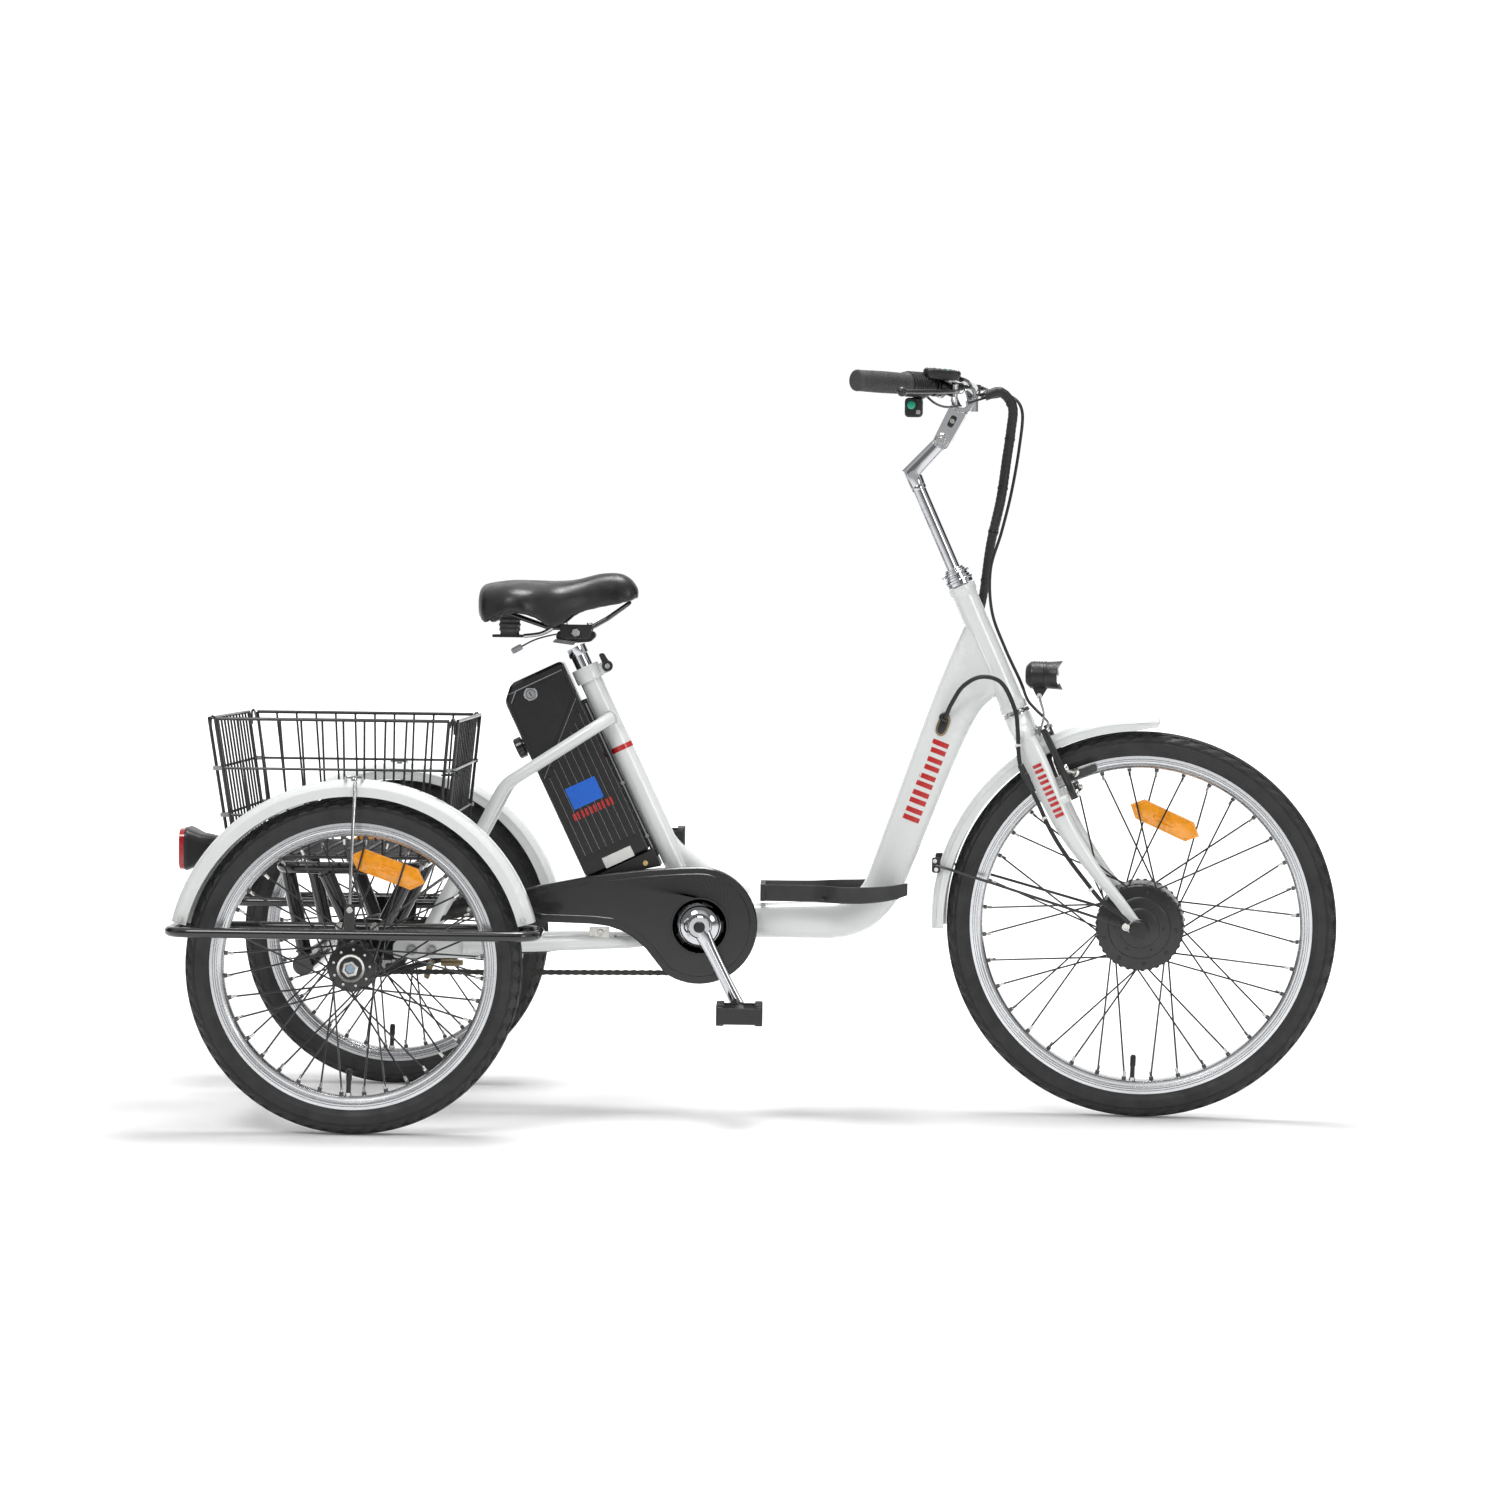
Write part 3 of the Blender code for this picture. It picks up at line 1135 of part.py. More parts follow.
def build_drive(root):
    crank_line = pivot("crank_axis", CRANK_CENTRE, root)
    hang_all(crank_line, chainring(), crank_right(), crank_left())
    for word, side in SIDES.items():
        pedal_line = pivot("pedal_axis_" + word, crank_end(side), crank_line)
        hang_all(pedal_line, pedal("pedal_" + word, side))
    sprocket_line = pivot("sprocket_axis", Vector((0, CHAIN_Y, REAR_R)), root)
    hang_all(sprocket_line, rear_sprocket())


def build_rear_wheels(root):
    for word, side in SIDES.items():
        hub = Vector((0, side * TRACK / 2, REAR_R))
        line = pivot("wheel_axis_" + word, hub, root)
        hang_all(line, tyre("rear_tyre_" + word, hub, REAR_R), rim("rear_rim_" + word, hub, REAR_R),
                 hub_with_spokes("rear_hub_" + word, hub, rear_hub_profile(), 0.032, 0.029, spoke_reach(REAR_R)))
        if word == "right":
            hang_all(line, rear_axle())


def build_front(root):
    turn = Quaternion(STEER_UP, PARKED_TURN)
    steering = pivot("steering_axis", HEAD_TOP, root, turn)
    upper = headset("headset_upper", 0.0010, [(0.0225, 0.006), (0.0190, 0.008), (0.0205, 0.005)])
    hang_all(steering, fork(), upper, finish(front_mudguard(), WHITE, 0.25), headlight_bracket(), motor_axle(),
             front_brake_cable())
    lamp_line = pivot("headlight_axis", LAMP_PIVOT, steering)
    hang_all(lamp_line, headlight())
    for word, side in SIDES.items():
        boss = BRAKE_BOSS + Y_AXIS * (side * BOSS_Y)
        arm_line = pivot("brake_arm_axis_" + word, boss, steering)
        hang_all(arm_line, brake_arm("brake_arm_" + word, side))
    hub = Vector((WHEELBASE, 0, FRONT_R))
    wheel_line = pivot("front_wheel_axis", hub, steering)
    hang_all(wheel_line, tyre("front_tyre", hub, FRONT_R), rim("front_rim", hub, FRONT_R),
             hub_with_spokes("motor_hub", hub, motor_profile(), 0.060, 0.031, spoke_reach(FRONT_R)))
    build_bars(steering)


def build_bars(steering):
    post_line = pivot("stem_post_axis", steer(0.0200), steering)
    hang_all(post_line, stem_post())
    arm_line = pivot("stem_arm_axis", STEM_KNUCKLE, post_line)
    hang_all(arm_line, stem_arm(), handlebar(), grip("grip_left", 1, 0.1250, 0.0160), throttle_housing(),
             brake_mount("brake_mount_right", -1), brake_mount("brake_mount_left", 1), switch_pod())
    throttle_line = pivot("throttle_axis", bar_point(-1, 0.05), arm_line)
    hang_all(throttle_line, grip("throttle_grip", -1, 0.1050, 0.0160))
    for word, side in SIDES.items():
        lever_line = pivot("brake_lever_axis_" + word, lever_pivot(side), arm_line)
        hang_all(lever_line, brake_lever("brake_lever_" + word, side))
    button_line = pivot("horn_button_axis", POD_CENTRE, arm_line)
    hang_all(button_line, horn_button())


def centre_on_box(root):
    """Moves everything so that the origin is the middle of the box's bottom."""
    bpy.context.view_layer.update()
    xs = [(obj.matrix_world @ v.co).x for obj in bpy.data.objects if obj.type == "MESH" for v in obj.data.vertices]
    root.location.x = -(min(xs) + max(xs)) / 2
    bpy.context.view_layer.update()
    print(f"moved in X by {root.location.x:.6f}")


def build():
    clear_scene()
    root = pivot("tricycle", Vector(), None)
    build_frame(root)
    build_seat_and_battery(root)
    build_drive(root)
    build_rear_wheels(root)
    build_front(root)
    centre_on_box(root)


build()
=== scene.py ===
"""The looks of the adult tricycle: every piece the camera sees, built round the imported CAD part.

Points given to at() have the rear axle at X = 0 and the ground at Z = 0, X forwards and Y to the left, in
metres. Points given to front() are for the front end steered straight ahead, and come back turned as it is
parked.
"""

import json
from math import atan2, ceil, cos, pi, radians, sin, sqrt, tau

import bmesh
import bpy
from mathutils import Matrix, Quaternion, Vector

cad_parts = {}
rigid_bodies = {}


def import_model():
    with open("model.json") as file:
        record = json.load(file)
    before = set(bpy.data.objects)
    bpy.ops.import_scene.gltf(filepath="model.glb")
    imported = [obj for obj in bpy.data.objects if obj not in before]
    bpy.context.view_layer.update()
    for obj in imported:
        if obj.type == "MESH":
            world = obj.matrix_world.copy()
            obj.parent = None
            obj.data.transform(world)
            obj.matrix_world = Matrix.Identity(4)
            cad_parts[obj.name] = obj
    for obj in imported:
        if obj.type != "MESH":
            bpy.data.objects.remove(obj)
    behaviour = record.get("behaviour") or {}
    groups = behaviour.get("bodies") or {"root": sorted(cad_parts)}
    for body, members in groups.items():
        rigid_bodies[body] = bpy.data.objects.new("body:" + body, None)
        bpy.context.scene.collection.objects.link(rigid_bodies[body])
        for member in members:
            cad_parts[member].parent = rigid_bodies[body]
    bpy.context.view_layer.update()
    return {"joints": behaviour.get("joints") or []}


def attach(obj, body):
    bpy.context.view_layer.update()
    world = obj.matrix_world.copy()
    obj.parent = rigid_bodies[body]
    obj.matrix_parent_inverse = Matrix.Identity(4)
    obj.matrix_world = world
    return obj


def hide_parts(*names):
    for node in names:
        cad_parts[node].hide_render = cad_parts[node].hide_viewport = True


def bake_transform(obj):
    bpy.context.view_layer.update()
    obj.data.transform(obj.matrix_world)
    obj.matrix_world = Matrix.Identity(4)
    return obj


for startup_object in list(bpy.data.objects):
    bpy.data.objects.remove(startup_object)
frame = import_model()
JOINTS = {joint["name"]: joint for joint in frame["joints"]}

X_AXIS = Vector((1.0, 0.0, 0.0))
Y_AXIS = Vector((0.0, 1.0, 0.0))
Z_AXIS = Vector((0.0, 0.0, 1.0))
REAR_X = JOINTS["wheel_right_spin"]["pos_m"][0]
HEAD_TOP = Vector(JOINTS["steering_turn"]["pos_m"])
STEER_UP = Vector(JOINTS["steering_turn"]["axis"])
STEER_FORWARD = Y_AXIS.cross(STEER_UP)
PARKED = Quaternion(STEER_UP, radians(-8.0))
SIDES = {"right": -1, "left": 1}

FRONT_R = 0.299
REAR_R = 0.247
WHEELBASE = 1.1785
HALF_TRACK = 0.310
TYRE_HALF = 0.0225
TYRE_DEPTH = 0.0385
RIM_HALF = 0.014
RIM_DEPTH = 0.018
SPOKES = 36
AXLE_R = 0.008
AXLE_END = 0.3560
SPOKE_R = 0.0014
FRONT_AXLE_R = 0.006
HEAD_LENGTH = 0.210
SEAT_UP = Vector(JOINTS["seat_height"]["axis"])
SEAT_BACK = SEAT_UP.cross(Y_AXIS)
BAR_R = 0.0111
CHAIN_Y = -0.050
CHAIN_PITCH = 0.0127
RING_TEETH = 36
SPROCKET_TEETH = 16
CRANK_LENGTH = 0.140
CRANK_ANGLE = radians(-63.0)
BEAM_Z = 0.301
PLATFORM_Z = 0.382
LOOP_Z = 0.2975


def at(x, y, z):
    return Vector((x + REAR_X, y, z))


def straight_to_parked(point):
    return HEAD_TOP + PARKED @ (point - HEAD_TOP)


def front(x, y, z):
    return straight_to_parked(at(x, y, z))


SEAT_FOOT = at(0.505, 0.0, 0.291)
CRANK_CENTRE = at(0.500, 0.0, 0.292)


def steer(up, forward=0.0):
    """A point from the head tube's top: along the steering axis and ahead of it."""
    return HEAD_TOP + STEER_UP * up + STEER_FORWARD * forward


def seat(up, back=0.0, left=0.0):
    """A point along the seat tube, behind it and to the left."""
    return SEAT_FOOT + SEAT_UP * up + SEAT_BACK * back + Y_AXIS * left


# ---------------------------------------------------------------- materials
def node_of(material, kind, **settings):
    node = material.node_tree.nodes.new(kind)
    for key, value in settings.items():
        if key in node.inputs:
            node.inputs[key].default_value = value
        else:
            setattr(node, key, value)
    return node


def link(material, source, target):
    material.node_tree.links.new(source, target)


def noise(material, place, scale, detail=3.0):
    node = node_of(material, "ShaderNodeTexNoise")
    node.inputs["Scale"].default_value = scale
    node.inputs["Detail"].default_value = detail
    link(material, place, node.inputs["Vector"])
    return node.outputs["Fac"]


def spread(material, value, low, high):
    node = node_of(material, "ShaderNodeMapRange")
    node.inputs["From Min"].default_value = 0.3
    node.inputs["From Max"].default_value = 0.7
    node.inputs["To Min"].default_value = low
    node.inputs["To Max"].default_value = high
    link(material, value, node.inputs["Value"])
    return node.outputs["Result"]


def radial_place(material, place):
    """A place that changes only with the distance from the piece's own Y axis, for brushed rings."""
    parts = node_of(material, "ShaderNodeSeparateXYZ")
    link(material, place, parts.inputs[0])
    flat = node_of(material, "ShaderNodeCombineXYZ")
    link(material, parts.outputs["X"], flat.inputs["X"])
    link(material, parts.outputs["Z"], flat.inputs["Y"])
    length = node_of(material, "ShaderNodeVectorMath", operation="LENGTH")
    link(material, flat.outputs[0], length.inputs[0])
    ring = node_of(material, "ShaderNodeCombineXYZ")
    link(material, length.outputs["Value"], ring.inputs["X"])
    return ring.outputs[0]


def finish_of(name, colour, rough, metal=0.0, coat=0.0, grain=0.0, grain_scale=900.0, tone=0.12, gloss=0.25,
              patch=9.0, rings=False, dust=0.0):
    """One material: a base tone that drifts, a gloss that varies in patches and a fine surface grain."""
    material = bpy.data.materials.new(name)
    material.use_nodes = True
    shader = material.node_tree.nodes["Principled BSDF"]
    place = node_of(material, "ShaderNodeTexCoord").outputs["Object"]
    drift = spread(material, noise(material, place, patch), -tone, tone)
    shade = node_of(material, "ShaderNodeMath", operation="ADD")
    shade.inputs[1].default_value = 1.0
    link(material, drift, shade.inputs[0])
    base = node_of(material, "ShaderNodeVectorMath", operation="SCALE")
    base.inputs[0].default_value = colour
    link(material, shade.outputs[0], base.inputs["Scale"])
    colour_out = base.outputs[0]
    if dust:
        colour_out = dusted(material, place, colour_out, dust)
    link(material, colour_out, shader.inputs["Base Color"])
    smear = noise(material, place, patch * 3.1, 5.0)
    link(material, spread(material, smear, rough * (1 - gloss), min(1.0, rough * (1 + gloss))),
         shader.inputs["Roughness"])
    shader.inputs["Metallic"].default_value = metal
    shader.inputs["Coat Weight"].default_value = coat
    shader.inputs["Coat Roughness"].default_value = 0.06
    if grain:
        where = radial_place(material, place) if rings else place
        bump = node_of(material, "ShaderNodeBump")
        bump.inputs["Strength"].default_value = grain
        bump.inputs["Distance"].default_value = 0.0004
        link(material, noise(material, where, grain_scale, 2.0), bump.inputs["Height"])
        link(material, bump.outputs["Normal"], shader.inputs["Normal"])
    return material


def dusted(material, place, colour, amount):
    """A thin pale dust, in soft patches, over a dark colour."""
    cover = spread(material, noise(material, place, 24.0, 6.0), 0.0, amount)
    mix = node_of(material, "ShaderNodeMix", data_type="RGBA")
    link(material, cover, mix.inputs["Factor"])
    link(material, colour, mix.inputs["A"])
    mix.inputs["B"].default_value = (0.30, 0.29, 0.27, 1.0)
    return mix.outputs["Result"]


WHITE = finish_of("white_enamel", (0.74, 0.76, 0.75), 0.24, coat=0.55, grain=0.04, grain_scale=420.0,
                  tone=0.02)
BLACK = finish_of("black_enamel", (0.008, 0.008, 0.009), 0.20, coat=0.7, grain=0.05, grain_scale=380.0,
                  dust=0.004)
WIRE = finish_of("black_wire_coat", (0.016, 0.016, 0.017), 0.34, coat=0.3, grain=0.10, grain_scale=700.0)
CHROME = finish_of("chrome", (0.63, 0.64, 0.66), 0.06, metal=1.0, gloss=0.4, tone=0.03, patch=22.0)
STEEL = finish_of("bright_steel", (0.40, 0.40, 0.41), 0.27, metal=1.0, grain=0.08, grain_scale=1500.0,
                  patch=40.0)
ZINC = finish_of("zinc_bolt", (0.72, 0.71, 0.68), 0.24, metal=1.0, grain=0.06, patch=120.0)
BLUED = finish_of("blued_steel", (0.34, 0.43, 0.52), 0.30, metal=1.0, grain=0.06, patch=120.0)
BRASS_DARK = finish_of("dark_brass", (0.26, 0.205, 0.125), 0.38, metal=1.0, grain=0.05, patch=90.0)
BRASS = finish_of("brass", (0.78, 0.57, 0.25), 0.28, metal=1.0, grain=0.05, patch=90.0)
CHAIN = finish_of("chain_steel", (0.040, 0.038, 0.035), 0.45, metal=0.4, tone=0.25, patch=160.0, grain=0.1)
ALLOY = finish_of("brushed_rim", (0.72, 0.73, 0.745), 0.23, metal=1.0, grain=0.22, grain_scale=2600.0,
                  rings=True, tone=0.03)
# The spoke seats' darkened alloy: a painted dark reflection of the rim's inner bed.
RIM_BED_PAINTED_REFLECTION = finish_of("rim_bed_painted_reflection", (0.10, 0.10, 0.105), 0.5, metal=0.6, grain=0.1)
DARK_ALLOY = finish_of("black_alloy", (0.016, 0.016, 0.018), 0.36, coat=0.15, grain=0.16, grain_scale=1100.0,
                       dust=0.008)
RUBBER = finish_of("tyre_rubber", (0.020, 0.020, 0.021), 0.62, grain=0.35, grain_scale=1500.0, tone=0.2,
                   dust=0.02, patch=14.0)
GRIP = finish_of("grip_rubber", (0.052, 0.052, 0.053), 0.60, grain=0.3, grain_scale=1800.0, patch=40.0)
TREAD_PLASTIC = finish_of("tread_plastic", (0.022, 0.022, 0.024), 0.52, grain=0.35, grain_scale=1300.0,
                          dust=0.02)
PLASTIC = finish_of("black_plastic", (0.016, 0.016, 0.018), 0.38, grain=0.22, grain_scale=1500.0, patch=30.0)
GLOSS = finish_of("gloss_black_shell", (0.007, 0.007, 0.008), 0.22, coat=0.45, grain=0.05, grain_scale=500.0,
                  dust=0.004)
CASE = finish_of("battery_shell", (0.008, 0.008, 0.009), 0.26, coat=0.4, grain=0.06, grain_scale=900.0,
                 dust=0.003)
SHEATH = finish_of("cable_sheath", (0.012, 0.012, 0.013), 0.42, grain=0.15, grain_scale=1400.0, patch=50.0)
WRAP = finish_of("loom_wrap", (0.014, 0.014, 0.015), 0.50, grain=0.3, grain_scale=1200.0, patch=60.0)
VINYL = finish_of("saddle_vinyl", (0.010, 0.010, 0.011), 0.36, grain=0.32, grain_scale=820.0, patch=18.0,
                  dust=0.008)
RED = finish_of("red_paint", (0.50, 0.018, 0.018), 0.28, coat=0.4, tone=0.05, grain=0.03)
BLUE = finish_of("blue_label", (0.012, 0.13, 0.62), 0.35, tone=0.06, patch=60.0, grain=0.03)
LABEL = finish_of("white_label", (0.74, 0.74, 0.72), 0.45, tone=0.04, patch=80.0, grain=0.05)
GREY_TIE = finish_of("grey_tie", (0.30, 0.31, 0.33), 0.45, tone=0.06, patch=90.0, grain=0.1)
WHITE_TIE = finish_of("white_tie", (0.72, 0.72, 0.70), 0.40, tone=0.04, patch=90.0, grain=0.1)
ORANGE = finish_of("amber_reflector", (0.93, 0.345, 0.010), 0.16, coat=0.8, tone=0.10, patch=150.0,
                   grain=0.55, grain_scale=420.0)
RED_LENS = finish_of("red_lens", (0.42, 0.006, 0.010), 0.12, coat=0.9, tone=0.12, patch=80.0, grain=0.5,
                     grain_scale=360.0)
CLEAR_LENS = finish_of("clear_lens", (0.55, 0.57, 0.60), 0.08, metal=0.7, coat=1.0, grain=0.4,
                       grain_scale=500.0)
SCREEN = finish_of("gauge_window", (0.02, 0.03, 0.03), 0.08, coat=1.0, tone=0.1, patch=60.0, grain=0.01)
GREEN = finish_of("green_button", (0.012, 0.40, 0.24), 0.30, coat=0.3, tone=0.05, patch=120.0, grain=0.05)


# ---------------------------------------------------------------- shape tools
def catmull_rom(a, b, c, d, t):
    """A point between b and c, on a smooth line through all four."""
    return (b * 2 + (c - a) * t + (a * 2 - b * 5 + c * 4 - d) * t ** 2
            + (b * 3 - a - c * 3 + d) * t ** 3) * 0.5


def curve(points, count):
    """A smooth path of count points through the given ones."""
    ends = [points[0] * 2 - points[1]] + list(points) + [points[-1] * 2 - points[-2]]
    lengths = [(b - a).length for a, b in zip(points, points[1:])]
    total = sum(lengths)
    path = []
    for i, length in enumerate(lengths):
        steps = max(2, round(count * length / total))
        path += [catmull_rom(*ends[i:i + 4], k / steps) for k in range(steps)]
    path.append(points[-1])
    return path


def bend(corners, radius, steps=8):
    """A path through the corners, each inner corner rounded to the radius as far as it fits."""
    path = [corners[0]]
    for before, corner, after in zip(corners, corners[1:], corners[2:]):
        back = (before - corner).normalized()
        on = (after - corner).normalized()
        half = back.angle(on) / 2
        reach = min(radius / max(abs(sin(half) / cos(half)), 1e-6), 0.45 * (before - corner).length,
                    0.45 * (after - corner).length)
        for i in range(steps + 1):
            t = i / steps
            path.append(corner + back * (reach * (1 - t) ** 2) + on * (reach * t ** 2))
    path.append(corners[-1])
    return path


def spaced(path, step):
    """The same path with points no further apart than the step."""
    dense = [path[0]]
    for start, end in zip(path, path[1:]):
        parts = max(1, ceil((end - start).length / step))
        dense += [start.lerp(end, (k + 1) / parts) for k in range(parts)]
    return dense


def length_of(path):
    return sum((b - a).length for a, b in zip(path, path[1:]))


def oval(centre, u, v, a, b, sides, power=1.0):
    """Points round an oval with half sizes a along u and b along v. A power under 1 squares it off."""
    ring = []
    for k in range(sides):
        angle = tau * (k + 0.5) / sides
        c = abs(cos(angle)) ** power * (1 if cos(angle) >= 0 else -1)
        s = abs(sin(angle)) ** power * (1 if sin(angle) >= 0 else -1)
        ring.append(centre + u * (a * c) + v * (b * s))
    return ring


def rounded(corners, radius, steps=6):
    """A closed flat outline with every corner rounded."""
    outline = []
    count = len(corners)
    for i in range(count):
        corner = Vector(corners[i])
        back = Vector(corners[i - 1]) - corner
        on = Vector(corners[(i + 1) % count]) - corner
        reach = min(radius, 0.45 * back.length, 0.45 * on.length)
        for k in range(steps + 1):
            t = k / steps
            point = corner + back.normalized() * (reach * (1 - t) ** 2) + on.normalized() * (reach * t ** 2)
            outline.append((point.x, point.y))
    return outline


def rectangle(low_a, high_a, low_b, high_b):
    return [(low_a, low_b), (high_a, low_b), (high_a, high_b), (low_a, high_b)]


class Shape:
    """Closed surfaces gathered into one mesh. Each has a paint, the number of a material given to make()."""

    def __init__(self):
        self.points = []
        self.faces = []
        self.paints = []

    def add(self, points, faces, paint=0):
        first = len(self.points)
        self.points.extend(points)
        self.faces.extend(tuple(first + k for k in face) for face in faces)
        self.paints.extend([paint] * len(faces))
        return self

    def loft(self, rings, paint=0, closed=False):
        """A solid through rings of equal point counts."""
        count = len(rings[0])
        points = [p for ring in rings for p in ring]
        faces = []
        for i in range(len(rings) if closed else len(rings) - 1):
            low = i * count
            high = ((i + 1) % len(rings)) * count
            for k in range(count):
                after = (k + 1) % count
                faces.append((low + k, low + after, high + after, high + k))
        if not closed:
            faces.append(tuple(range(count)))
            faces.append(tuple(len(points) - count + k for k in range(count)))
        return self.add(points, faces, paint)

    def tube(self, path, radius, sides=12, paint=0, closed=False, flat=1.0, up=None):
        """A rod along the path. flat is its size along up as a share of its size across."""
        radii = radius if isinstance(radius, list) else [radius] * len(path)
        count = len(path)
        rings = []
        u = up
        for i, point in enumerate(path):
            if closed:
                tangent = path[(i + 1) % count] - path[i - 1]
            else:
                tangent = path[min(i + 1, count - 1)] - path[max(i - 1, 0)]
            tangent.normalize()
            if u is None:
                u = tangent.orthogonal()
            u = (u - tangent * u.dot(tangent)).normalized()
            rings.append(oval(point, u, tangent.cross(u), radii[i] * flat, radii[i], sides))
        return self.loft(rings, paint, closed)

    def rod(self, start, end, radius, sides=12, paint=0):
        return self.tube([start, end], radius, sides, paint)

    def turned(self, profile, centre, axis, sides=32, paint=0, closed=True):
        """A turned piece. The profile is (radius, place along the axis); an open one ends on the axis."""
        u = axis.orthogonal().normalized()
        v = axis.cross(u)
        points = []
        rows = []
        for radius, along in profile:
            if radius == 0:
                rows.append([len(points)] * sides)
                points.append(centre + axis * along)
                continue
            rows.append([len(points) + k for k in range(sides)])
            for k in range(sides):
                angle = tau * (k + 0.5) / sides
                points.append(centre + axis * along + u * (radius * cos(angle)) + v * (radius * sin(angle)))
        faces = []
        for low, high in list(zip(rows, rows[1:])) + ([(rows[-1], rows[0])] if closed else []):
            for k in range(sides):
                after = (k + 1) % sides
                face = tuple(dict.fromkeys([low[k], low[after], high[after], high[k]]))
                if len(face) > 2:
                    faces.append(face)
        return self.add(points, faces, paint)

    def slab(self, outline, low, high, origin=Vector(), u=X_AXIS, v=Z_AXIS, w=Y_AXIS, paint=0, edge=0.0):
        """A flat outline given thickness from low to high along w, its rims eased in by the edge."""
        if not edge:
            return self.loft([[origin + u * a + v * b + w * c for a, b in outline] for c in (low, high)],
                             paint)
        middle = Vector((sum(a for a, b in outline), sum(b for a, b in outline))) / len(outline)
        small = []
        for a, b in outline:
            out = Vector((a, b)) - middle
            small.append(middle + out * max(0.0, 1 - edge / max(out.length, 1e-9)))
        levels = [(small, low), (outline, low + edge), (outline, high - edge), (small, high)]
        return self.loft([[origin + u * a + v * b + w * c for a, b in line] for line, c in levels], paint)

    def bolt(self, centre, axis, radius, height, paint=0, socket=True):
        """A bolt head standing on its centre: hexagonal, or round with a sunk socket."""
        if not socket:
            profile = [(0, 0), (radius, 0), (radius, height * 0.8), (radius * 0.86, height), (0, height)]
            return self.turned(profile, centre, axis, 6, paint, closed=False)
        profile = [(0, 0), (radius, 0), (radius, height * 0.7), (radius * 0.88, height),
                   (radius * 0.55, height), (radius * 0.5, height * 0.45), (0, height * 0.45)]
        return self.turned(profile, centre, axis, 16, paint, closed=False)

    def nut(self, centre, axis, radius, height, bore, paint=0):
        return self.turned([(bore, 0), (radius, 0), (radius, height * 0.85), (radius * 0.88, height),
                            (bore, height)],
                           centre, axis, 6, paint)

    def make(self, name, body, *materials, sharp=35.0, place=None, turn=None):
        """The finished object, riding on the CAD body when one is named."""
        mesh = bpy.data.meshes.new(name)
        mesh.from_pydata([tuple(p) for p in self.points], [], self.faces)
        for material in materials:
            mesh.materials.append(material)
        mesh.polygons.foreach_set("material_index", self.paints)
        mesh.polygons.foreach_set("use_smooth", [True] * len(self.paints))
        work = bmesh.new()
        work.from_mesh(mesh)
        bmesh.ops.recalc_face_normals(work, faces=work.faces)
        work.to_mesh(mesh)
        work.free()
        mesh.set_sharp_from_angle(angle=radians(sharp))
        obj = bpy.data.objects.new(name, mesh)
        bpy.context.scene.collection.objects.link(obj)
        if place is not None:
            obj.location = place
        if turn is not None:
            obj.rotation_mode = "QUATERNION"
            obj.rotation_quaternion = turn
        if body is not None:
            bpy.context.view_layer.update()
            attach(obj, body)
        return obj


# ---------------------------------------------------------------- wheels
def clock(angle):
    """The direction at this many degrees clockwise from the top, seen from the right."""
    return Vector((sin(radians(angle)), 0.0, cos(radians(angle))))


TREAD_BLOCKS = 64
SLICES_A_BLOCK = 6
TREAD_DEPTH = 0.0022
TREAD_ANGLES = (0, 3, 5, 6, 9.5, 10.5, 16, 22, 27, 28, 31.5, 32.5, 38, 44, 50, 51, 57, 63, 64, 66, 67, 74,
                82, 90)


def tread_height(angle, turn):
    """How far the tyre stands out here: centre rib, two rows of slanted blocks and notched shoulders."""
    side = abs(angle)
    phase = turn * TREAD_BLOCKS + (0.5 if angle > 0 else 0.0)
    if side <= 5:
        return TREAD_DEPTH
    if side < 9.6 or 28 <= side < 31.6:
        return 0.0
    if side <= 27:
        return TREAD_DEPTH if (phase + side / 34) % 1.0 > 0.25 else 0.0
    if side <= 57:
        return TREAD_DEPTH if (phase + side / 60) % 1.0 > 0.45 else 0.0
    if 63.5 <= side <= 66.5 or 73 <= side <= 75:
        return 0.0008
    return 0.0


def tyre(name, body, node, radius, centre, turn=None):
    slices = TREAD_BLOCKS * SLICES_A_BLOCK
    middle = radius - TYRE_HALF
    bead = radius - TYRE_DEPTH
    angles = [-a for a in reversed(TREAD_ANGLES[1:])] + list(TREAD_ANGLES)
    wall = [(bead + 0.0105, 0.0206), (bead + 0.0080, 0.0186), (bead + 0.0065, 0.0176),
            (bead + 0.0055, 0.0172), (bead + 0.0030, 0.0150), (bead + 0.0003, 0.0120)]
    rings = []
    for i in range(slices):
        out = clock(360.0 * i / slices)
        row = [out * r - Y_AXIS * y for r, y in reversed(wall)]
        for angle in angles:
            reach = TYRE_HALF - TREAD_DEPTH + tread_height(angle, i / slices)
            row.append(out * (middle + reach * cos(radians(angle))) + Y_AXIS * (reach * sin(radians(angle))))
        row += [out * r + Y_AXIS * y for r, y in wall]
        rings.append(row)
    shape = Shape().loft(rings, closed=True)
    obj = shape.make(name, body, RUBBER, sharp=28, place=centre, turn=turn)
    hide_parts(node)
    return obj


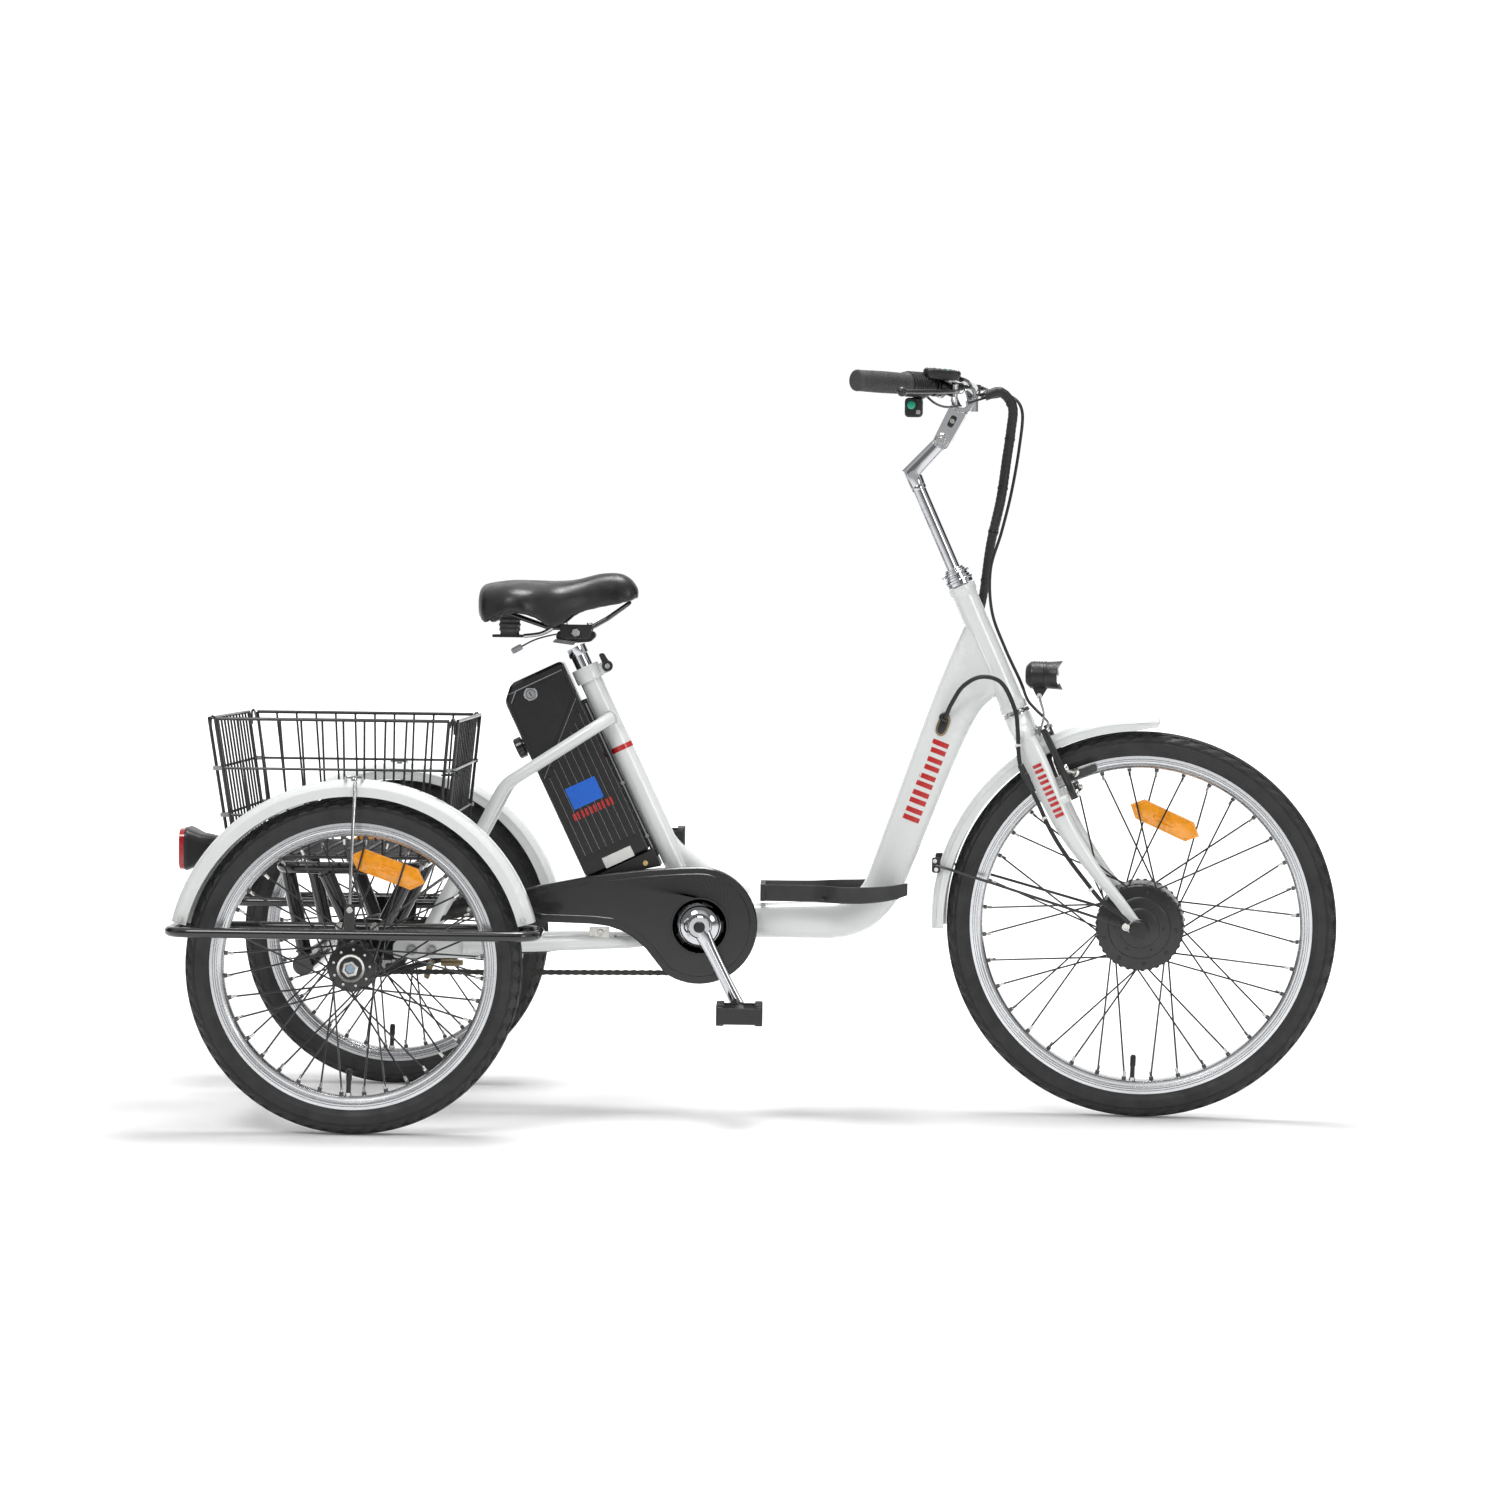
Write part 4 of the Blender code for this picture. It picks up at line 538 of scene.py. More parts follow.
def rim(name, body, node, radius, centre, turn=None):
    """Box-section rim with turned grooves, spoke seats darkened as a painted dark reflection of the rim's
    bed, bright nipples and a black valve.
    """
    top = radius - TYRE_DEPTH
    side = [(top, 0.0115), (top + 0.0016, 0.0128), (top + 0.0016, RIM_HALF), (top - 0.0026, RIM_HALF),
            (top - 0.0031, RIM_HALF - 0.0012), (top - 0.0038, RIM_HALF), (top - 0.0056, RIM_HALF),
            (top - 0.0061, RIM_HALF - 0.0012), (top - 0.0068, RIM_HALF), (top - 0.0086, RIM_HALF - 0.0002),
            (top - 0.0091, RIM_HALF - 0.0012), (top - 0.0098, RIM_HALF - 0.0006),
            (top - 0.0110, RIM_HALF - 0.0016), (top - 0.0125, 0.0125), (top - 0.0160, 0.0100),
            (top - RIM_DEPTH, 0.0070)]
    profile = [(r, y) for r, y in side] + [(r, -y) for r, y in reversed(side)]
    shape = Shape().turned(profile, Vector(), Y_AXIS, 144)
    inner = top - RIM_DEPTH
    for k in range(SPOKES):
        out = clock(10.0 * k + 5.0)
        lean = Y_AXIS * (0.0022 if k % 2 else -0.0022)
        # Spoke seats in the darkened rim-bed finish: painted dark reflection.
        shape.rod(out * (inner + 0.002) + lean, out * (inner - 0.0045) + lean, 0.0034, 10, 1)
        shape.rod(out * (inner - 0.0040) + lean, out * (inner - 0.0125) + lean * 1.4, 0.0022, 8, 2)
    down = clock(182.0)
    shape.rod(down * (inner + 0.002), down * (inner - 0.004), 0.0050, 12, 2)
    valve = [(0, 0), (0.0036, 0), (0.0036, 0.018), (0.0044, 0.019), (0.0044, 0.033), (0.0030, 0.036),
             (0, 0.036)]
    shape.turned(valve, down * (inner - 0.003), -down, 14, 3, closed=False)
    obj = shape.make(name, body, ALLOY, RIM_BED_PAINTED_REFLECTION, ZINC, PLASTIC, place=centre, turn=turn)
    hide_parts(node)
    return obj


def reflector(name, body, centre, angle, reach, tilt, turn=None):
    """An amber strip with pointed ends, in facets that rise to its middle, clipped between the spokes."""
    out = clock(angle)
    along = Vector((cos(radians(tilt)), 0.0, -sin(radians(tilt))))
    across = along.cross(Y_AXIS)
    long, tall = 0.058, 0.0165
    outline = [(-long, 0), (-long * 0.72, -tall), (long * 0.72, -tall), (long, 0), (long * 0.72, tall),
               (-long * 0.72, tall)]
    middle = out * reach
    shape = Shape().slab(outline, -0.0030, 0.0030, middle, along, across, edge=0.0012)
    for side in (-1, 1):
        steps = ((0.92, 0.86, 0.0029), (0.90, 0.82, 0.0040), (0.62, 0.40, 0.0066), (0.34, 0.34, 0.0070),
                 (0.30, 0.26, 0.0056), (0.05, 0.05, 0.0080))
        rings = [[middle + along * (a * wide) + across * (b * high) + Y_AXIS * (side * lift)
                  for a, b in outline] for wide, high, lift in steps]
        shape.loft(rings)
    return shape.make(name, body, ORANGE, place=centre, turn=turn, sharp=12)


def spoke(shape, hub_angle, hub_r, hub_y, rim_angle, rim_r, paint):
    """One wire spoke with its bent head through the flange."""
    side = 1 if hub_y > 0 else -1
    root = clock(hub_angle) * hub_r + Y_AXIS * hub_y
    head = root - Y_AXIS * (side * 0.0045)
    tip = clock(rim_angle) * rim_r + Y_AXIS * (side * 0.0030)
    elbow = root + Y_AXIS * (side * 0.0018)
    shape.tube([head, elbow, elbow.lerp(tip, 0.02), tip], SPOKE_R, 8, paint)
    shape.rod(head, head - Y_AXIS * (side * 0.0010), 0.0021, 8, paint)


def motor_hub():
    """The hub motor: domed black shell with stepped covers, notched rim, cover bolts and crossed spokes."""
    half = [(0.0670, 0.012), (0.0670, 0.027), (0.0655, 0.030), (0.0655, 0.0345), (0.0640, 0.0362),
            (0.0480, 0.0395), (0.0470, 0.0415), (0.0455, 0.0425), (0.0310, 0.0438), (0.0300, 0.0452),
            (0.0285, 0.0462), (0.0150, 0.0468), (0.0140, 0.0482), (0.0120, 0.0490), (0.0064, 0.0490)]
    profile = half + [(r, -y) for r, y in reversed(half)]
    shape = Shape().turned(profile, Vector(), Y_AXIS, 96)
    for side in (-1, 1):
        for k in range(36):
            notch = clock(10.0 * k + 5)
            shape.rod(notch * 0.0635 + Y_AXIS * (side * 0.024), notch * 0.0635 + Y_AXIS * (side * 0.0330),
                      0.0048, 10)
        for k in range(9):
            out = clock(40.0 * k + 12)
            shape.bolt(out * 0.0560 + Y_AXIS * (side * 0.0374), Y_AXIS * side, 0.0030, 0.0018)
        for k in range(6):
            out = clock(60.0 * k + 30)
            shape.bolt(out * 0.0375 + Y_AXIS * (side * 0.0429), Y_AXIS * side, 0.0022, 0.0014)
    pattern = ((-15, 18), (-5, 23), (5, -22), (15, -18))
    rim_reach = FRONT_R - TYRE_DEPTH - RIM_DEPTH - 0.0060
    for group in range(9):
        for k, (to_rim, to_hub) in enumerate(pattern):
            side = -1 if k % 2 else 1
            spoke(shape, 40 * group + to_hub, 0.0630, side * (0.0300 + 0.0016 * (k // 2)),
                  40 * group + to_rim, rim_reach, 2)
    place = JOINTS["front_wheel_spin"]["pos_m"]
    obj = shape.make("motor_hub_and_spokes", "front_wheel", DARK_ALLOY, ZINC, WIRE, place=place, turn=PARKED)
    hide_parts("motor_hub")


def rear_hub(side_name):
    """A small scalloped hub with its sleeve, dust ring and crossed spokes."""
    half = [(0.0170, 0.010), (0.0180, 0.0235), (0.0330, 0.0262), (0.0352, 0.0275), (0.0352, 0.0300),
            (0.0330, 0.0312), (0.0215, 0.0322), (0.0195, 0.0340), (0.0190, 0.0400), (0.0175, 0.0418),
            (0.0084, 0.0418)]
    shape = Shape().turned(half + [(r, -y) for r, y in reversed(half)], Vector(), Y_AXIS, 64)
    for face in (-1, 1):
        for k in range(18):
            out = clock(20.0 * k)
            shape.rod(out * 0.0322 + Y_AXIS * (face * 0.0262), out * 0.0322 + Y_AXIS * (face * 0.0308),
                      0.0042, 10)
        for k in range(9):
            out = clock(40.0 * k + 6)
            shape.bolt(out * 0.0268 + Y_AXIS * (face * 0.0316), Y_AXIS * face, 0.0021, 0.0018, 1)
        dust_ring = [(0.0166, 0.0405), (0.0208, 0.0405), (0.0208, 0.0430), (0.0200, 0.0442),
                     (0.0166, 0.0436)]
        shape.turned(dust_ring, Vector(), Y_AXIS * face, 40, 1)
    rim_reach = REAR_R - TYRE_DEPTH - RIM_DEPTH - 0.0060
    for k in range(SPOKES):
        face = 1 if k % 2 else -1
        lean = 52 if (k // 2) % 2 else -52
        angle = 10.0 * k + 5
        spoke(shape, angle + lean, 0.0322, face * (0.0290 + 0.0012 * ((k // 2) % 2)), angle, rim_reach, 2)
    place = Vector((REAR_X, SIDES[side_name] * HALF_TRACK, REAR_R))
    obj = shape.make(f"rear_hub_and_spokes_{side_name}", f"wheel_{side_name}", DARK_ALLOY, ZINC, WIRE,
                     place=place)
    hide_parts(f"rear_hub_{side_name}")


def front_wheel():
    place = JOINTS["front_wheel_spin"]["pos_m"]
    tyre("front_tyre_tread", "front_wheel", "front_tyre", FRONT_R, place, PARKED)
    rim("front_rim_turned", "front_wheel", "front_rim", FRONT_R, place, PARKED)
    reflector("front_wheel_reflector", "front_wheel", place, 12.0, 0.166, 24.0, PARKED)
    motor_hub()
    shape = Shape()
    for side in (-1, 1):
        start = Y_AXIS * (side * 0.0569)
        shape.nut(start, Y_AXIS * side, 0.0112, 0.0085, FRONT_AXLE_R)
        shape.turned([(FRONT_AXLE_R, -0.0016), (0.0125, -0.0016), (0.0125, 0.0), (FRONT_AXLE_R, 0.0)], start,
                     Y_AXIS * side, 28)
    shape.rod(-Y_AXIS * 0.0700, Y_AXIS * 0.0700, FRONT_AXLE_R - 0.0001, 20)
    for side in (-1, 1):
        cap = [(0.0120, 0), (0.0150, 0), (0.0152, 0.0020), (0.0146, 0.0110), (0.0128, 0.0132),
               (0.0050, 0.0140), (0, 0.0140), (0, 0.0110), (0.0120, 0.0110)]
        shape.turned(cap, Y_AXIS * (side * 0.0580), Y_AXIS * side, 36, 1)
    obj = shape.make("motor_axle_nuts", "steering", ZINC, PLASTIC, place=place, turn=PARKED)
    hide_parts("motor_axle")


def rear_wheels():
    for name, side in SIDES.items():
        place = Vector((REAR_X, side * HALF_TRACK, REAR_R))
        body = f"wheel_{name}"
        tyre(f"rear_tyre_tread_{name}", body, f"rear_tyre_{name}", REAR_R, place)
        rim(f"rear_rim_turned_{name}", body, f"rear_rim_{name}", REAR_R, place)
        rear_hub(name)
    right = Vector((REAR_X, -HALF_TRACK, REAR_R))
    left = Vector((REAR_X, HALF_TRACK, REAR_R))
    reflector("rear_wheel_reflector_right", "wheel_right", right, 18.8, 0.150, 20.0)
    reflector("rear_wheel_reflector_left", "wheel_left", left, -7.4, 0.140, 8.0)
    shape = Shape().rod(at(0, -AXLE_END, REAR_R), at(0, AXLE_END, REAR_R), AXLE_R - 0.0001, 24)
    for side in SIDES.values():
        start = Vector((REAR_X, side * (HALF_TRACK + 0.0440), REAR_R))
        shape.turned([(AXLE_R, -0.0012), (0.0165, -0.0012), (0.0165, 0.0008), (AXLE_R, 0.0008)], start,
                     Y_AXIS * side, 32, 3)
        shape.nut(start + Y_AXIS * (side * 0.0008), Y_AXIS * side, 0.0125, 0.0085, AXLE_R, 1)
        end = Vector((REAR_X, side * (AXLE_END - 0.0010), REAR_R))
        shape.turned([(0, 0), (0.0085, 0), (0.0085, 0.0035), (0.0070, 0.0055), (0, 0.0055)], end,
                     Y_AXIS * side, 6, 2, closed=False)
    obj = shape.make("rear_axle_nuts", "wheel_right", STEEL, ZINC, BLUED, DARK_ALLOY)
    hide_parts("rear_axle")


# ---------------------------------------------------------------- basket
BASKET_FLOOR_Z = 0.3965
BASKET_TOP_Z = 0.607
BASKET_PITCH = 0.0335
BASKET_TOP = (-0.233, 0.143, 0.225)
BASKET_BOTTOM = (-0.201, 0.124, 0.215)
RAIL_R = 0.0026
THIN_R = 0.0017


def basket_corner(along, across, height):
    """A corner of the basket at a share of its height: along is 0 behind and 1 in front, across -1 or 1."""
    rear = BASKET_BOTTOM[0] + (BASKET_TOP[0] - BASKET_BOTTOM[0]) * height
    ahead = BASKET_BOTTOM[1] + (BASKET_TOP[1] - BASKET_BOTTOM[1]) * height
    half = BASKET_BOTTOM[2] + (BASKET_TOP[2] - BASKET_BOTTOM[2]) * height
    z = BASKET_FLOOR_Z + 0.003 + (BASKET_TOP_Z - BASKET_FLOOR_Z - 0.006) * height
    inset = 0.003
    return at(rear + inset + (ahead - rear - 2 * inset) * along, across * (half - inset), z)


def basket_panel(shape, start, end):
    """One side: four rails and the upright wires, between two corners given as (along, across)."""
    heights = (0.0, 0.30, 0.64, 1.0)
    width = (basket_corner(*end, 1.0) - basket_corner(*start, 1.0)).length
    count = round(width / BASKET_PITCH)
    trim = 0.012 / width

    def place(share, height):
        return basket_corner(*start, height).lerp(basket_corner(*end, height), share)

    outward = (place(0.5, 0.5) - basket_corner(0.5, 0.0, 0.5)).normalized()
    for height in heights:
        radius = RAIL_R if height in (0.0, 1.0) else 0.0020
        shape.rod(place(trim, height), place(1 - trim, height), radius, 10)
    for k in range(count + 1):
        share = trim + (1 - 2 * trim) * k / count
        radius = RAIL_R if k in (0, count) else THIN_R
        inner = outward * (radius + 0.0014 if 0 < k < count else 0.0)
        shape.rod(place(share, 0.0) - inner, place(share, 1.0) - inner, radius, 8)


def basket():
    """A folding wire basket: four framed panels tied at the corners, standing on a wire floor."""
    shape = Shape()
    basket_panel(shape, (0, -1), (1, -1))
    basket_panel(shape, (0, 1), (1, 1))
    basket_panel(shape, (0, -1), (0, 1))
    basket_panel(shape, (1, -1), (1, 1))
    low = [basket_corner(a, b, 0.0) for a, b in ((0, -1), (1, -1), (1, 1), (0, 1))]
    lengthways = round(2 * BASKET_BOTTOM[2] / BASKET_PITCH)
    for k in range(1, lengthways):
        share = k / lengthways
        shape.rod(low[0].lerp(low[3], share), low[1].lerp(low[2], share), THIN_R, 8)
    sideways = round((BASKET_BOTTOM[1] - BASKET_BOTTOM[0]) / BASKET_PITCH)
    lift = Z_AXIS * (2 * THIN_R)
    for k in range(1, sideways):
        share = k / sideways
        shape.rod(low[0].lerp(low[1], share) + lift, low[3].lerp(low[2], share) + lift, THIN_R, 8)
    for a, b in ((0, -1), (1, -1), (1, 1), (0, 1)):
        inward = Vector((-0.004 if a else 0.004, -b * 0.004, 0.0))
        for height in (0.30, 0.64):
            centre = basket_corner(a, b, height) + inward
            shape.turned([(0.0062, -0.0030), (0.0086, -0.0030), (0.0086, 0.0030), (0.0062, 0.0030)], centre,
                         Z_AXIS, 20, 1)
        hook = basket_corner(a, b, 1.0) + inward
        loop = [hook - Z_AXIS * 0.020, hook + Z_AXIS * 0.001, hook + inward + Z_AXIS * 0.002,
                hook + inward * 2 - Z_AXIS * 0.010]
        shape.tube(curve(loop, 16), 0.0018, 8)
    near_hook = basket_corner(1, -1, 0.64)
    for drop in (0.0, 0.006):
        tip = [near_hook + Vector((-0.016, -0.001, -drop)), near_hook + Vector((0.004, -0.003, -drop)),
               near_hook + Vector((0.009, 0.002, -drop - 0.003)),
               near_hook + Vector((0.006, 0.008, -drop - 0.004))]
        shape.tube(curve(tip, 14), 0.0017, 8)
    obj = shape.make("basket_wires", "frame", WIRE, GREY_TIE)
    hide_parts("basket")
    return obj


# ---------------------------------------------------------------- saddle
SADDLE_STATIONS = ((0.156, 0.060, 0.806, 0.766, 0.782), (0.162, 0.078, 0.812, 0.754, 0.782),
                   (0.172, 0.090, 0.815, 0.751, 0.782), (0.205, 0.105, 0.8195, 0.765, 0.783),
                   (0.240, 0.098, 0.8190, 0.760, 0.784), (0.272, 0.072, 0.8185, 0.744, 0.784),
                   (0.305, 0.050, 0.8220, 0.766, 0.788), (0.340, 0.038, 0.8310, 0.776, 0.795),
                   (0.370, 0.034, 0.8320, 0.782, 0.799), (0.388, 0.029, 0.8230, 0.787, 0.800),
                   (0.399, 0.018, 0.8080, 0.790, 0.7945))
SADDLE_SHRINK = 0.0022
MOST_PUFF = 0.0030


def saddle_slice(x, half, top, edge, ceiling):
    """One slice across the saddle: crowned top, rounded edges, turned-down sides and a hollow underside."""
    wall = 0.013
    top -= SADDLE_SHRINK
    half -= SADDLE_SHRINK
    outer = []
    steps = 28
    for k in range(steps + 1):
        angle = pi * k / steps
        outer.append((-half * cos(angle), edge + (top - edge) * sin(angle) ** 0.55))
    inner = []
    for k in range(11):
        angle = pi * k / 10
        inner.append(((half - wall) * cos(angle), edge + 0.001 + (ceiling - edge) * sin(angle) ** 0.7))
    return [at(x, y, z) for y, z in outer + inner]


def saddle_stations(count):
    """The stations as one smooth run."""
    first = [Vector((s[0], s[1], s[2])) for s in SADDLE_STATIONS]
    second = [Vector((s[0], s[3], s[4])) for s in SADDLE_STATIONS]
    return [(a.x, a.y, a.z, b.y, b.z) for a, b in zip(smooth_run(first, count), smooth_run(second, count))]


def smooth_run(points, count):
    """Catmull-Rom through the points with the same number of steps in every span."""
    ends = [points[0] * 2 - points[1]] + points + [points[-1] * 2 - points[-2]]
    steps = max(2, count // (len(points) - 1))
    run = []
    for i in range(len(points) - 1):
        run += [catmull_rom(*ends[i:i + 4], k / steps) for k in range(steps)]
    run.append(points[-1])
    return run


def apply_modifiers(obj):
    graph = bpy.context.evaluated_depsgraph_get()
    mesh = bpy.data.meshes.new_from_object(obj.evaluated_get(graph))
    obj.modifiers.clear()
    obj.data = mesh
    return obj


def puff(obj, pressure, stiff, held_below):
    """Lets the cover swell over its foam: a short cloth run, held underneath, with its movement capped."""
    group = obj.vertex_groups.new(name="held")
    for vertex in obj.data.vertices:
        low = vertex.co.z < held_below(vertex.co)
        group.add([vertex.index], 1.0 if low else 0.0, "REPLACE")
    before = [v.co.copy() for v in obj.data.vertices]
    cloth = obj.modifiers.new("cloth", "CLOTH")
    cloth.settings.use_pressure = True
    cloth.settings.uniform_pressure_force = pressure
    cloth.settings.effector_weights.gravity = 0.0
    cloth.settings.tension_stiffness = stiff
    cloth.settings.compression_stiffness = stiff
    cloth.settings.vertex_group_mass = "held"
    cloth.settings.mass = 0.3
    scene = bpy.context.scene
    for number in range(1, 21):
        scene.frame_set(number)
    apply_modifiers(obj)
    scene.frame_set(1)
    for vertex, start in zip(obj.data.vertices, before):
        moved = vertex.co - start
        if moved.length > MOST_PUFF:
            vertex.co = start + moved * (MOST_PUFF / moved.length)


def saddle():
    """The padded saddle: an even mesh, swollen a little by a cloth run and then smoothed."""
    shape = Shape().loft([saddle_slice(*s) for s in saddle_stations(60)])
    pad = shape.make("saddle_pad", None, VINYL, sharp=180)
    remesh = pad.modifiers.new("even", "REMESH")
    remesh.mode = "VOXEL"
    remesh.voxel_size = 0.0045
    remesh.use_smooth_shade = True
    apply_modifiers(pad)
    puff(pad, 3.0, 12.0, lambda co: 0.785)
    smooth = pad.modifiers.new("soften", "SMOOTH")
    smooth.factor = 0.5
    smooth.iterations = 4
    fine = pad.modifiers.new("fine", "SUBSURF")
    fine.levels = 1
    fine.render_levels = 1
    apply_modifiers(pad)
    pad.data.polygons.foreach_set("use_smooth", [True] * len(pad.data.polygons))
    pad.data.materials.clear()
    pad.data.materials.append(VINYL)
    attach(pad, "seat")
    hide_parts("saddle")
    return pad


# ---------------------------------------------------------------- the white frame
MAIN_PATH_CORNER = at(0.7627, 0.0, BEAM_Z)
MAIN_THROAT = at(0.884, 0.0, 0.622)
MAIN_REAR = at(0.478, 0.0, BEAM_Z - 0.006)


def main_tube_stations():
    """The large pressed tube as (point, half depth, half width): deep in front, then bent into the beam."""
    path = bend([MAIN_THROAT, MAIN_PATH_CORNER, MAIN_REAR], 0.100, 18)
    lower = [(p, 0.029, 0.024) for p in spaced(path[1:-1], 0.02)] + [(MAIN_REAR, 0.024, 0.020)]
    head = [(steer(-0.109, -0.004), 0.064, 0.015), (MAIN_THROAT, 0.0365, 0.0235)]
    joined = [Vector((s[1], s[2], 0.0)) for s in head + lower[:1]]
    blend_points = smooth_run([s[0] for s in head + lower[:1]], 24)
    blend_sizes = smooth_run(joined, 24)
    upper = [(p, s.x, s.y) for p, s in zip(blend_points, blend_sizes)]
    return upper + lower[1:]


HEAD_BLEND = 16


def main_tube_ring(stations, i, grow=0.0, sides=40):
    point, half, width = stations[i]
    before = stations[max(i - 1, 0)][0]
    after = stations[min(i + 1, len(stations) - 1)][0]
    tangent = (after - before).normalized()
    across = tangent.cross(Y_AXIS).normalized()
    if i < HEAD_BLEND:
        upright = -STEER_UP if across.dot(STEER_UP) < 0 else STEER_UP
        across = upright.lerp(across, (i / HEAD_BLEND) ** 1.4).normalized()
    return oval(point, across, Y_AXIS, half + grow, width + grow, sides, 0.8)


BEAD_STEP = 0.0022
BEAD_RIPPLE = 0.22


def weld_bead(shape, ring, radius):
    """A bead of little overlapping ripples along a closed line."""
    path = spaced_closed(ring, BEAD_STEP)
    radii = [radius * (1.0 + BEAD_RIPPLE * (k % 2)) for k in range(len(path))]
    shape.tube(path, radii, 8, closed=True)


def circle(centre, axis, radius, count=40):
    u = axis.orthogonal().normalized()
    v = axis.cross(u)
    return [centre + u * (radius * cos(tau * k / count)) + v * (radius * sin(tau * k / count))
            for k in range(count)]


def stay_paths(side):
    seat_stay = [at(0.361, side * 0.022, 0.609), at(0.338, side * 0.055, 0.594),
                 at(0.200, side * 0.057, 0.504), at(0.080, side * 0.074, 0.270)]
    chain_stay = [at(0.480, side * 0.020, 0.276), at(0.395, side * 0.031, 0.264),
                  at(0.300, side * 0.064, 0.262), at(0.140, side * 0.075, 0.256)]
    return bend(seat_stay, 0.05, 8), bend(chain_stay, 0.10, 8)


DROPOUT = ((0.033, 0.238), (0.165, 0.240), (0.175, 0.250), (0.165, 0.263), (0.090, 0.276), (0.033, 0.263))


def at_outline(points):
    return [(x + REAR_X, z) for x, z in points]


def decal_bar(shape, low, high, half, side, surface, paint):
    """A thin raised bar on the side of the main tube, from low to high, bent to the tube's side."""
    along = (high - low).normalized()
    across = along.cross(Y_AXIS)
    steps = 8
    rings = []
    for k in range(steps + 1):
        mid = low.lerp(high, k / steps)
        row = []
        for share in (-1, -0.5, 0, 0.5, 1):
            point = mid + across * (half * share)
            row.append(Vector((point.x, side * (surface(point) + 0.0007), point.z)))
        under = [Vector((p.x, p.y - side * 0.0016, p.z)) for p in reversed(row)]
        rings.append(row + under)
    shape.loft(rings, paint)


def stroke_shares(pairs):
    """Pairs of short strokes, as (start, end) shares of a length, with a gap after each pair."""
    step = 1.0 / (pairs - 0.25)
    shares = []
    for k in range(pairs):
        shares += [(step * k, step * (k + 0.28)), (step * (k + 0.46), step * (k + 0.74))]
    return shares


def main_tube_side(point):
    """How far the main tube's side stands out at a point of its upper part."""
    top, bottom = MAIN_THROAT, MAIN_PATH_CORNER
    axis = (top - bottom).normalized()
    off = abs((point - bottom).cross(axis).y)
    share = min(1.0, off / 0.029)
    return 0.024 * max(0.0, 1 - share ** 2.5) ** 0.4


def frame_lettering(shape):
    """Plain red bars where the maker's lettering would be."""
    axis = (MAIN_THROAT - MAIN_PATH_CORNER).normalized()
    base = MAIN_PATH_CORNER + axis * 0.165
    for side in (-1, 1):
        for start, end in stroke_shares(5):
            decal_bar(shape, base + axis * (start * 0.131), base + axis * (end * 0.131), 0.0130, side,
                      main_tube_side, 1)


def seat_tube_marks(shape):
    """A red stripe round the seat tube."""
    profile = [(0.0174, 0), (0.0178, 0), (0.0178, 0.0080), (0.0174, 0.0080)]
    shape.turned(profile, seat(0.2960), SEAT_UP, 40, 1)


def head_tube(shape):
    half = [(0.0139, 0), (0.0215, 0.0006), (0.0218, 0.002), (0.0218, 0.0105), (0.0208, 0.0125),
            (0.0196, 0.0150), (0.0195, 0.0200)]
    profile = half + [(r, HEAD_LENGTH - z) for r, z in reversed(half)]
    shape.turned(profile, steer(-HEAD_LENGTH), STEER_UP, 48)


